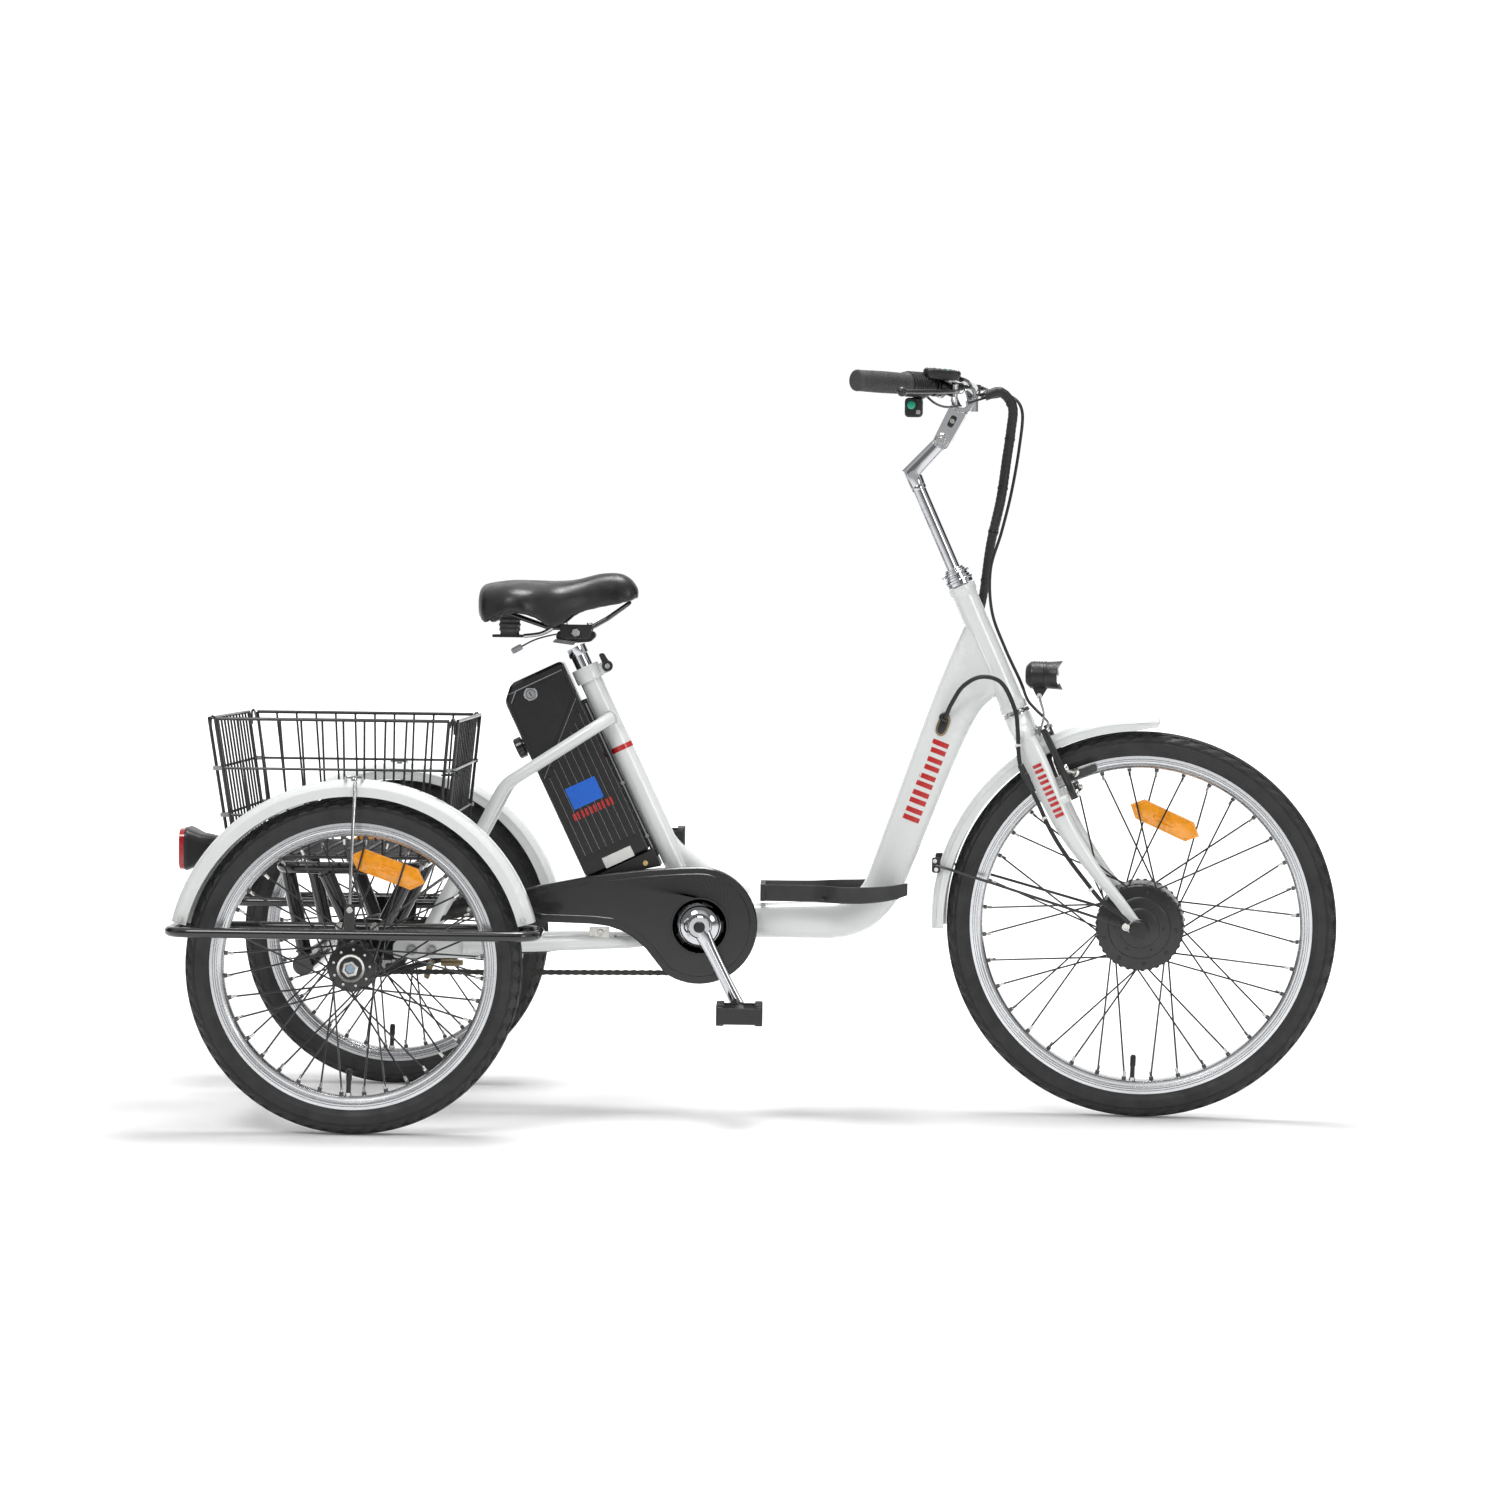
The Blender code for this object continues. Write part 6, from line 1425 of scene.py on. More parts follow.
def battery():
    """The battery's shell: a cap with a bright line, a slanted panel line, ribs with a painted highlight
    strip along one edge, plain labels and a knob.
    """
    shape = Shape()
    corners = [(BATTERY_FRONT, BATTERY_BOTTOM), (BATTERY_BACK, BATTERY_BOTTOM),
               (BATTERY_BACK, BATTERY_TOP - 0.022), (BATTERY_BACK - 0.020, BATTERY_TOP),
               (BATTERY_FRONT, BATTERY_TOP)]
    outline = rounded(corners, 0.008)
    half = BATTERY_HALF_WIDTH - 0.0006
    shape.slab(outline, -half, half, SEAT_FOOT, SEAT_BACK, SEAT_UP, edge=0.0050)
    for side in (-1, 1):
        rim = [(BATTERY_FRONT + 0.006, BATTERY_TOP - 0.0125), (BATTERY_BACK - 0.022, BATTERY_TOP - 0.0125),
               (BATTERY_BACK - 0.0085, BATTERY_TOP - 0.0270), (BATTERY_BACK - 0.0085, BATTERY_TOP - 0.0285),
               (BATTERY_BACK - 0.0228, BATTERY_TOP - 0.0140), (BATTERY_FRONT + 0.006, BATTERY_TOP - 0.0140)]
        battery_side(shape, rim, side, 0.0004, 1)
        slant = [(BATTERY_FRONT + 0.004, 0.3990), (BATTERY_FRONT + 0.004, 0.3978),
                 (BATTERY_BACK - 0.006, 0.3060), (BATTERY_BACK - 0.006, 0.3072)]
        battery_side(shape, slant, side, 0.0006, 5)
        upper = rounded([(BATTERY_FRONT + 0.006, 0.4040), (BATTERY_BACK - 0.007, 0.3130),
                         (BATTERY_BACK - 0.007, 0.4270), (BATTERY_BACK - 0.022, 0.4430),
                         (BATTERY_FRONT + 0.006, 0.4430)],
                        0.006)
        battery_side(shape, upper, side, 0.0002, 0, edge=0.0008)
        for k in range(8):
            back = BATTERY_FRONT + 0.0120 + 0.0118 * k
            top = 0.3900 - 0.87 * (back - BATTERY_FRONT)
            rib = rounded(rectangle(back - 0.0022, back + 0.0022, 0.1700, top), 0.002, 3)
            battery_side(shape, rib, side, 0.0012, 0, edge=0.0007)
            # A thin bright steel strip along each rib's edge: a painted highlight.
            battery_side(shape, rectangle(back - 0.0027, back - 0.0021, 0.1720, top - 0.004), side, 0.0012,
                         5)
        base_line = rectangle(BATTERY_FRONT + 0.004, BATTERY_BACK - 0.004, 0.1630, 0.1642)
        battery_side(shape, base_line, side, 0.0004, 0)
    for up in (0.1660, 0.4460):
        seam = rectangle(BATTERY_FRONT + 0.010, BATTERY_BACK - 0.010, up, up + 0.0008)
        battery_side(shape, seam, -1, 0.0003, 1 if up > 0.3 else 0)
    shape.turned([(0.0072, 0.0000), (0.0105, 0.0000), (0.0105, 0.0016), (0.0094, 0.0026), (0.0072, 0.0026)],
                 seat(*BATTERY_KEY, -0.0370), -Y_AXIS, 36, 1)
    label(shape, 0.0800, 0.2610, 0.0500, 0.0175, 2)
    for start, end in stroke_shares(5):
        label(shape, 0.0450 + 0.0330 * (start + end), 0.2330, 0.0660 * (end - start), 0.0060, 3)
    label(shape, 0.0740, 0.1500, 0.0480, 0.0085, 4)
    knob = [(0, 0), (0.0120, 0), (0.0120, 0.0040), (0.0160, 0.0050), (0.0165, 0.0070), (0.0165, 0.0150),
            (0.0150, 0.0170), (0, 0.0175)]
    shape.turned(knob, seat(0.3650, BATTERY_BACK - 0.0010), SEAT_BACK, 32, closed=False)
    obj = shape.make("battery_shell", "battery", CASE, CHROME, BLUE, RED, LABEL, STEEL, sharp=30)
    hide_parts("battery_case")


def label(shape, back, up, half_long, half_high, paint):
    """A plain printed patch on the battery's right side, level with its bottom edge."""
    outline = rounded(rectangle(back - half_long * 0.5, back + half_long * 0.5, up - half_high,
                                up + half_high), 0.0012)
    battery_side(shape, outline, -1, 0.0015, paint, edge=0.0002)


def battery_lock():
    """The key barrel, with a black patch as painted shade in its keyway."""
    start = seat(*BATTERY_KEY, -0.0386)
    shape = Shape().turned([(0, 0.009), (0.0068, 0.009), (0.0068, -0.0004), (0.0060, -0.0012), (0, -0.0012)],
                           start, Y_AXIS, 28, closed=False)
    # The keyway is not cut: a black patch stands for the shade inside it.
    shape.slab(rectangle(-0.0008, 0.0008, -0.0042, 0.0042), -0.0016, -0.0009, start, SEAT_BACK, SEAT_UP,
               paint=1)
    obj = shape.make("battery_key_barrel", "battery_lock", CHROME, PLASTIC)
    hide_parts("battery_lock")


def battery_dock():
    """The rail on the seat tube and the foot the battery stands in."""
    shape = Shape()
    rail = rounded(rectangle(0.0180, BATTERY_FRONT - 0.0008, 0.125, 0.392), 0.002)
    shape.slab(rail, -0.0140, 0.0140, SEAT_FOOT, SEAT_BACK, SEAT_UP, edge=0.0010)
    for side in (-1, 1):
        low, high = sorted((side * 0.0138, side * 0.0152))
        shape.slab(rectangle(0.0205, 0.0225, 0.135, 0.385), low, high, SEAT_FOOT, SEAT_BACK, SEAT_UP,
                   paint=1)
        for up in (0.160, 0.250, 0.350):
            shape.bolt(seat(up, 0.0215, side * 0.0150), Y_AXIS * side, 0.0034, 0.0022, 1)
    foot = rounded([(0.0205, 0.110), (BATTERY_BACK, 0.1370), (BATTERY_BACK, 0.1384), (0.0205, 0.1384)],
                   0.001)
    shape.slab(foot, -0.0370, 0.0370, SEAT_FOOT, SEAT_BACK, SEAT_UP, edge=0.0012)
    lip = rounded(rectangle(0.0215, BATTERY_BACK - 0.002, 0.1345, 0.1384), 0.001)
    for side in (-1, 1):
        low, high = sorted((side * 0.0364, side * 0.0380))
        shape.slab(lip, low, high, SEAT_FOOT, SEAT_BACK, SEAT_UP, edge=0.0005)
    shape.bolt(seat(0.1240, 0.0400, -0.0372), -Y_AXIS, 0.0045, 0.0030, 2)
    obj = shape.make("battery_rail_and_foot", "frame", PLASTIC, STEEL, BRASS)
    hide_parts("battery_dock")


# ---------------------------------------------------------------- drive
def pitch_radius(teeth):
    return CHAIN_PITCH / (2 * sin(pi / teeth))


def belt(radius_front, radius_rear, steps=40):
    """The line of a belt round the crank centre and the rear axle, in X and Z."""
    ahead = Vector((CRANK_CENTRE.x, CRANK_CENTRE.z))
    rear = Vector((REAR_X, REAR_R))
    span = ahead - rear
    lean = atan2(span.y, span.x)
    wrap = (radius_front - radius_rear) / span.length
    line = []
    for k in range(steps + 1):
        angle = lean - (pi / 2 + wrap) + (pi + 2 * wrap) * k / steps
        line.append((ahead.x + radius_front * cos(angle), ahead.y + radius_front * sin(angle)))
    for k in range(steps // 2 + 1):
        angle = lean + (pi / 2 + wrap) + (pi - 2 * wrap) * k / (steps // 2)
        line.append((rear.x + radius_rear * cos(angle), rear.y + radius_rear * sin(angle)))
    return line


def even_links(line):
    """Pin places along the closed line, a whole number of pairs of links apart."""
    path = [Vector((x, CHAIN_Y, z)) for x, z in line]
    path.append(path[0])
    total = length_of(path)
    count = 2 * round(total / CHAIN_PITCH / 2)
    pins = []
    step = total / count
    travelled = 0.0
    wanted = 0.0
    for a, b in zip(path, path[1:]):
        span = (b - a).length
        while wanted <= travelled + span and len(pins) < count:
            pins.append(a.lerp(b, (wanted - travelled) / span))
            wanted += step
        travelled += span
    return pins


def link_plate(start, end, half_high):
    """A waisted side plate between two pins, as an outline along and across them."""
    length = (end - start).length
    outline = []
    for centre, first in ((length, -70), (0.0, 110)):
        for k in range(8):
            angle = radians(first + 20 * k)
            outline.append((centre + half_high * cos(angle), half_high * sin(angle)))
    outline.insert(8, (length / 2, half_high * 0.72))
    outline.append((length / 2, -half_high * 0.72))
    return outline


def chain():
    """A roller chain, link by link."""
    pins = even_links(belt(pitch_radius(RING_TEETH), pitch_radius(SPROCKET_TEETH)))
    shape = Shape()
    for k, start in enumerate(pins):
        end = pins[(k + 1) % len(pins)]
        along = (end - start).normalized()
        across = along.cross(Y_AXIS)
        out = 0.0030 if k % 2 else 0.0021
        for side in (-1, 1):
            low, high = sorted((side * out, side * (out + 0.0008)))
            shape.slab(link_plate(start, end, 0.0044), low, high, start, along, across)
        shape.rod(start - Y_AXIS * 0.0043, start + Y_AXIS * 0.0043, 0.0016, 8, 1)
        shape.rod(start - Y_AXIS * 0.0021, start + Y_AXIS * 0.0021, 0.0036, 10, 1)
    obj = shape.make("roller_chain", "frame", CHAIN, DARK_ALLOY)
    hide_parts("chain")


def toothed_ring(shape, centre, teeth, inner, half, paint=0):
    """A flat ring whose teeth stand between the chain's rollers."""
    root = pitch_radius(teeth) - 0.0040
    outline = []
    for k in range(teeth):
        for share, reach in ((0.0, 0.0), (0.22, 0.0), (0.40, 0.0042), (0.60, 0.0042), (0.78, 0.0)):
            angle = tau * (k + share) / teeth
            radius = root + reach
            outline.append((radius * cos(angle), radius * sin(angle)))
    rings = []
    for y in (-half, half):
        rings.append([centre + X_AXIS * a + Z_AXIS * b + Y_AXIS * y for a, b in outline])
    bore = []
    for y in (half, -half):
        bore.append([centre + X_AXIS * (inner * cos(tau * (k + 0.5) / len(outline)))
                     + Z_AXIS * (inner * sin(tau * (k + 0.5) / len(outline))) + Y_AXIS * y
                     for k in range(len(outline))])
    shape.loft(rings + bore, paint, closed=True)


def chainring():
    """The toothed ring and the chrome dished disc on its outer face, its slots black patches of painted
    shade.
    """
    centre = Vector((CRANK_CENTRE.x, CHAIN_Y, CRANK_CENTRE.z))
    shape = Shape()
    toothed_ring(shape, centre, RING_TEETH, 0.0380, 0.0012, 1)
    disc = [(0.0094, 0.0010), (0.0300, 0.0012), (0.0420, 0.0014), (0.0420, -0.0014), (0.0400, -0.0022),
            (0.0310, -0.0050), (0.0290, -0.0078), (0.0270, -0.0085), (0.0200, -0.0100), (0.0180, -0.0120),
            (0.0140, -0.0125), (0.0094, -0.0125)]
    shape.turned(disc, centre, Y_AXIS, 72)
    # The slots are not cut: black patches stand for the shade seen through them.
    for k in range(5):
        out = clock(72.0 * k + 20)
        mid = centre + out * 0.0350 - Y_AXIS * 0.0034
        around = out.cross(Y_AXIS)
        normal = (-Y_AXIS + out * 0.30).normalized()
        shape.tube([mid - around * 0.0085, mid + around * 0.0085], 0.0030, 12, 2, flat=0.4, up=normal)
    obj = shape.make("chainring_and_disc", "crank", CHROME, STEEL, PLASTIC)
    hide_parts("chainring")


def rear_sprocket():
    centre = Vector((REAR_X, CHAIN_Y, REAR_R))
    shape = Shape()
    toothed_ring(shape, centre, SPROCKET_TEETH, 0.0150, 0.0012)
    shape.turned([(AXLE_R + 0.0004, -0.008), (0.0180, -0.008), (0.0185, -0.007), (0.0185, 0.0080),
                  (0.0178, 0.009), (AXLE_R + 0.0004, 0.009)], centre, Y_AXIS, 36)
    obj = shape.make("axle_sprocket", "sprocket", STEEL)
    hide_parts("rear_sprocket")


def crank(name, side):
    """A forged crank: round boss, ridged arm and pedal eye."""
    angle = CRANK_ANGLE if side < 0 else CRANK_ANGLE + pi
    along = Vector((cos(angle), 0, sin(angle)))
    across = along.cross(Y_AXIS)
    shape = Shape()
    middle = 0.0805
    stations = ((0.006, 0.0125, 0.0058), (0.018, 0.0118, 0.0060), (0.040, 0.0100, 0.0058),
                (0.090, 0.0090, 0.0056), (0.125, 0.0098, 0.0058), (CRANK_LENGTH, 0.0112, 0.0060))
    points = smooth_run([Vector(s) for s in stations], 30)
    rings = []
    for p in points:
        centre = CRANK_CENTRE + along * p.x + Y_AXIS * (side * middle)
        rings.append(oval(centre, across, Y_AXIS, p.y, p.z, 24, 0.7))
    shape.loft(rings)
    face = side * (middle + 0.0054)
    ridge = [CRANK_CENTRE + along * d + Y_AXIS * face for d in (0.026, 0.060, 0.100, 0.122)]
    shape.tube(curve(ridge, 16), 0.0028, 12, flat=0.6, up=Y_AXIS)
    boss = [(0.0088, -0.0070), (0.0160, -0.0070), (0.0168, -0.0060), (0.0168, 0.0040), (0.0155, 0.0056),
            (0.0088, 0.0056)]
    shape.turned(boss, CRANK_CENTRE + Y_AXIS * (side * middle), Y_AXIS * side, 40)
    cap = [(0, 0.0030), (0.0086, 0.0030), (0.0086, 0.0062), (0.0070, 0.0078), (0, 0.0082)]
    shape.turned(cap, CRANK_CENTRE + Y_AXIS * (side * middle), Y_AXIS * side, 28, 1, closed=False)
    eye = [(0.0052, -0.0060), (0.0114, -0.0060), (0.0120, -0.0048), (0.0120, 0.0048), (0.0114, 0.0060),
           (0.0052, 0.0060)]
    shape.turned(eye, CRANK_CENTRE + along * CRANK_LENGTH + Y_AXIS * (side * middle), Y_AXIS * side, 36)
    if side > 0:
        shape.rod(CRANK_CENTRE - Y_AXIS * 0.0800, CRANK_CENTRE + Y_AXIS * 0.0800, 0.0084, 24)
    obj = shape.make(f"crank_forged_{name}", "crank", CHROME, PLASTIC)
    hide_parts(f"crank_{name}")


def pedal(name, side):
    """A black cage pedal: ribbed treads front and back, end plates, cross plates and a barrel."""
    angle = CRANK_ANGLE if side < 0 else CRANK_ANGLE + pi
    centre = CRANK_CENTRE + Vector((cos(angle), 0, sin(angle))) * CRANK_LENGTH
    centre.y = 0
    shape = Shape()

    def y_range(low, high):
        return sorted((side * low, side * high))

    barrel = [(0, 0.0960), (0.0090, 0.0960), (0.0100, 0.0980), (0.0100, 0.1860), (0.0085, 0.1885),
              (0, 0.1885)]
    shape.turned(barrel, centre, Y_AXIS * side, 28, closed=False)
    for inner, outer in ((0.0960, 0.1010), (0.1840, 0.1895)):
        low, high = y_range(inner, outer)
        shape.slab(rounded(rectangle(-0.0330, 0.0330, -0.0125, 0.0115), 0.005), low, high, centre,
                   edge=0.0010)
    for end in (-1, 1):
        x = end * 0.0290
        low, high = y_range(0.0985, 0.1870)
        shape.slab(rounded(rectangle(x - 0.0055, x + 0.0050, -0.0135, 0.0135), 0.003), low, high, centre,
                   edge=0.0008)
        for k in range(7):
            low, high = y_range(0.1060 + 0.0115 * k, 0.1090 + 0.0115 * k)
            shape.slab(rounded(rectangle(x - 0.0062, x + 0.0056, -0.0155, 0.0155), 0.002), low, high, centre,
                       edge=0.0004)
    for k in range(4):
        low, high = y_range(0.1130 + 0.0180 * k, 0.1160 + 0.0180 * k)
        shape.slab(rectangle(-0.0280, 0.0280, -0.0085, 0.0085), low, high, centre, edge=0.0005)
    start = centre + Y_AXIS * (side * 0.0755)
    shape.rod(start, centre + Y_AXIS * (side * 0.0970), 0.0049, 20, 1)
    shape.turned([(0.0049, 0), (0.0080, 0), (0.0080, 0.0050), (0.0049, 0.0050)],
                 centre + Y_AXIS * (side * 0.0885), Y_AXIS * side, 6, 1)
    obj = shape.make(f"pedal_cage_{name}", f"pedal_{name}", TREAD_PLASTIC, ZINC)
    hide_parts(f"pedal_{name}")


def case_outline(inset=0.0, steps=40):
    """The chain case's side, its corners eased."""
    centre = Vector((0.499, 0.293))
    radius = 0.0895 - inset
    outline = []
    for k in range(steps + 1):
        angle = radians(-125 + 215 * k / steps)
        outline.append((centre.x + radius * cos(angle), centre.y + radius * sin(angle)))
    top = [(0.470, 0.3815), (0.420, 0.3775), (0.335, 0.367), (0.260, 0.352), (0.207, 0.339)]
    bottom = [(0.256, 0.2955), (0.300, 0.2945), (0.336, 0.2935), (0.360, 0.2905), (0.380, 0.284),
              (0.400, 0.273), (0.418, 0.2570), (0.432, 0.2395)]
    shift = min(inset, 0.01)
    outline += [(x + (shift if x < 0.25 else 0), z - inset) for x, z in top]
    outline += [(x + 0.75 * inset * (0.4 if x < 0.35 else 1.0), z + inset * (1.0 if x < 0.37 else 0.55))
                for x, z in bottom]
    return at_outline(outline)


def chain_case():
    """The thin shell over the ring and the chain, with a raised line along its edge and its opening."""
    outer, inner = -0.0665, -0.0445
    wall = 0.0022
    count = 96
    shape = Shape()
    edge_line = resampled(case_outline(), count)
    soft_line = resampled(case_outline(0.0020), count)
    inside_line = resampled(case_outline(wall), count)
    hole_line = [(CRANK_CENTRE.x + 0.042 * cos(angle), CRANK_CENTRE.z + 0.042 * sin(angle))
                 for angle in hole_angles(edge_line)]

    def ring(line, y):
        return [Vector((x, y, z)) for x, z in line]

    rings = [ring(hole_line, outer), ring(soft_line, outer), ring(edge_line, outer + 0.0020),
             ring(edge_line, inner), ring(inside_line, inner), ring(inside_line, outer + wall),
             ring(hole_line, outer + wall)]
    shape.loft(rings, closed=True)
    ridge = [Vector((x, outer - 0.0002, z)) for x, z in resampled(case_outline(0.0110), 160)]
    shape.tube(ridge, 0.0011, 8, closed=True, up=Y_AXIS)
    shape.turned([(0.0414, outer - 0.0010), (0.0440, outer - 0.0010), (0.0446, outer + 0.0004),
                  (0.0446, outer + 0.003), (0.0414, outer + 0.003)],
                 Vector((CRANK_CENTRE.x, 0, CRANK_CENTRE.z)), Y_AXIS, 72)
    obj = shape.make("chain_case_shell", "frame", GLOSS, sharp=30)
    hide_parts("chain_case")


def resampled(outline, count):
    """A closed flat outline as evenly spaced points."""
    path = [Vector((a, b, 0)) for a, b in outline]
    path.append(path[0])
    total = length_of(path)
    points = []
    travelled = 0.0
    k = 0
    for a, b in zip(path, path[1:]):
        span = (b - a).length
        while k < count and k * total / count <= travelled + span:
            point = a.lerp(b, (k * total / count - travelled) / max(span, 1e-9))
            points.append((point.x, point.y))
            k += 1
        travelled += span
    return points


def hole_angles(line):
    """Angles round the opening that follow the case's outline without crossing."""
    count = len(line)
    first = atan2(line[0][1] - CRANK_CENTRE.z, line[0][0] - CRANK_CENTRE.x)
    return [first + tau * k / count for k in range(count)]


# ---------------------------------------------------------------- footboard
def footboard():
    """A shallow moulded tray with a rolled lip and raised grip ribs."""
    top, floor = 0.3560, 0.3305
    stations = ((0.592, 0.052, 0.0), (0.662, 0.056, 0.0), (0.690, 0.070, 0.0), (0.712, 0.088, 0.0),
                (0.752, 0.095, 0.001), (0.790, 0.095, 0.006), (0.816, 0.090, 0.014))
    run = smooth_run([Vector(s) for s in stations], 36)
    shape = Shape()
    for side in (-1, 1):
        rings = []
        for x, half, rise in run:
            low = floor + rise
            high = top + rise * 0.55
            gap = 0.0262
            section = [(gap, low), (half - 0.0060, low), (half - 0.0030, low + 0.003),
                       (half - 0.0008, high - 0.003), (half, high - 0.001), (half - 0.0006, high),
                       (half - 0.0040, high), (half - 0.0055, high - 0.002), (half - 0.0080, low + 0.0065),
                       (half - 0.0105, low + 0.0042), (gap, low + 0.0042)]
            rings.append([at(x, side * y, z) for y, z in section])
        shape.loft(rings)
        for k in range(9):
            x = 0.620 + 0.0225 * k
            half = 0.050 if x < 0.68 else 0.082
            rise = 0.0 if x < 0.76 else 0.004
            low, high = sorted((side * 0.030, side * (half - 0.006)))
            rib = rounded([(REAR_X + a, b) for a, b in rectangle(x - 0.003, x + 0.003, floor + rise + 0.003,
                                                                floor + rise + 0.0062)], 0.001, 2)
            shape.slab(rib, low, high, edge=0.0005)
        for x in (0.640, 0.760):
            shape.bolt(at(x, side * 0.0400, floor + 0.0060), Z_AXIS, 0.0050, 0.0030, 1)
    bar = rounded(at_outline(rectangle(0.592, 0.600, floor, top)), 0.002)
    shape.slab(bar, -0.0520, 0.0520, edge=0.0008)
    obj = shape.make("footboard_tray", "frame", TREAD_PLASTIC, ZINC)
    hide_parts("footboard")


# ---------------------------------------------------------------- saddle's metalwork and the seat post
def saddle_hardware():
    rails = Shape()
    half = [at(0.385, 0.006, 0.784), at(0.352, 0.020, 0.760), at(0.325, 0.0215, 0.7445),
            at(0.262, 0.0215, 0.7445), at(0.205, 0.038, 0.7640)]
    other = [Vector((p.x, -p.y, p.z)) for p in reversed(half)]
    rails.tube(bend(other + half, 0.030, 8), 0.0034, 14)
    obj = rails.make("saddle_rail_wires", "seat", BLACK)
    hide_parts("saddle_rails")

    clamp = Shape()
    clamp.turned([(0.0140, 0.4560), (0.0152, 0.4560), (0.0158, 0.4570), (0.0158, 0.4702), (0.0140, 0.4702)],
                 SEAT_FOOT, SEAT_UP, 36, 2)
    head = rounded(at_outline(((0.284, 0.7200), (0.326, 0.7235), (0.335, 0.7320), (0.332, 0.7400),
                               (0.276, 0.7400), (0.272, 0.7290))), 0.004)
    clamp.slab(head, -0.0150, 0.0150, edge=0.0012)
    for side in (-1, 1):
        low, high = sorted((side * 0.0150, side * 0.0275))
        cheek = rounded(at_outline(((0.282, 0.7270), (0.326, 0.7290), (0.330, 0.7500), (0.278, 0.7500))),
                        0.005)
        clamp.slab(cheek, low, high, edge=0.0014)
        clamp.bolt(at(0.304, side * 0.0275, 0.7380), Y_AXIS * side, 0.0070, 0.0050, 1, socket=False)
        for x in (0.286, 0.324):
            clamp.bolt(at(x, side * 0.0210, 0.7500), Z_AXIS, 0.0036, 0.0030, 1)
    plate = rounded(at_outline(((0.268, 0.7220), (0.300, 0.7180), (0.306, 0.7235), (0.272, 0.7275))), 0.002)
    clamp.slab(plate, -0.0200, 0.0200, edge=0.0006, paint=2)
    bracket = rounded(at_outline(((0.176, 0.7290), (0.224, 0.7290), (0.224, 0.7335), (0.176, 0.7335))),
                      0.002)
    clamp.slab(bracket, -0.0300, 0.0300, edge=0.0006)
    for side in (-1, 1):
        middle = at(0.201, side * 0.024, 0.7335)
        profile = []
        for k in range(25):
            share = k / 24
            profile.append((0.0125 + 0.0022 * sin(pi * share) + 0.0007 * cos(tau * 4 * share),
                            0.0300 * share))
        clamp.turned([(0, 0)] + profile + [(0, 0.0300)], middle, Z_AXIS, 28, 3, closed=False)
        clamp.tube(curve([at(0.224, side * 0.024, 0.7312), at(0.250, side * 0.022, 0.7350),
                          at(0.268, side * 0.0215, 0.7445)], 12), 0.0034, 12, 2)
    obj = clamp.make("saddle_clamp_parts", "seat", DARK_ALLOY, ZINC, CHROME, GRIP)
    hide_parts("saddle_clamp")

    post = Shape().turned([(0, 0.3250), (0.0128, 0.3250), (0.0136, 0.3258), (0.0136, 0.4700), (0, 0.4700)],
                          SEAT_FOOT, SEAT_UP, 40, closed=False)
    for k in range(6):
        post.turned([(0.0130, 0.3560 + 0.010 * k), (0.01375, 0.3560 + 0.010 * k),
                     (0.01375, 0.3564 + 0.010 * k), (0.0130, 0.3564 + 0.010 * k)], SEAT_FOOT, SEAT_UP, 40, 1)
    obj = post.make("seat_post_tube", "seat", CHROME, PLASTIC)
    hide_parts("seat_post")


# ---------------------------------------------------------------- tail light
def tail_light():
    """A black tapering shell with a domed, ribbed red lens."""
    def ring(x, half_y, half_z, power=0.45):
        return oval(at(x, 0, 0.3975), Y_AXIS, Z_AXIS, half_y, half_z, 48, power)

    shape = Shape()
    shape.loft([ring(-0.2925, 0.0455, 0.0330), ring(-0.2900, 0.0460, 0.0335), ring(-0.2840, 0.0440, 0.0310),
                ring(-0.2700, 0.0380, 0.0240), ring(-0.2480, 0.0250, 0.0200), ring(-0.2440, 0.0210, 0.0170)])
    shape.loft([ring(-0.2920, 0.0448, 0.0326), ring(-0.3000, 0.0445, 0.0322), ring(-0.3018, 0.0400, 0.0285),
                ring(-0.3024, 0.0200, 0.0140)], 1)
    for k in range(7):
        z = 0.3975 - 0.0210 + 0.0070 * k
        shape.slab(rectangle(-0.0360, 0.0360, -0.0007, 0.0007), -0.0032, 0.0006, at(-0.3005, 0, z), Y_AXIS,
                   Z_AXIS, -X_AXIS, paint=1)
    for side in (-1, 1):
        shape.bolt(at(-0.2500, side * 0.0140, 0.3905), X_AXIS, 0.0040, 0.0030, 2)
    obj = shape.make("tail_lamp", "frame", PLASTIC, RED_LENS, ZINC, sharp=40)
    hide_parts("tail_light")


# ---------------------------------------------------------------- stem, bars and controls
STEM_KNUCKLE = front(0.8640, 0.0, 1.0400)
BAR_CENTRE = front(0.8950, 0.0, 1.1000)


def bar_end(side):
    return front(0.7650, side * 0.3110, 1.1280)


def bar_shoulder(side):
    return front(0.8970, side * 0.1500, 1.1200)


def bar_inward(side):
    return (bar_shoulder(side) - bar_end(side)).normalized()


def bar_point(side, from_end):
    """A point on the straight grip part of the bar, measured in from its end."""
    return bar_end(side) + bar_inward(side) * from_end


def lever_ahead(side):
    """Level and square to the grip, pointing forwards."""
    inward = PARKED.inverted() @ bar_inward(side)
    return PARKED @ Vector((abs(inward.y), side * abs(inward.x), 0)).normalized()


UP = PARKED @ Z_AXIS
LEVER_AT = 0.1660


def lever_pivot(side):
    return bar_point(side, LEVER_AT) + lever_ahead(side) * 0.0360 - UP * 0.0080


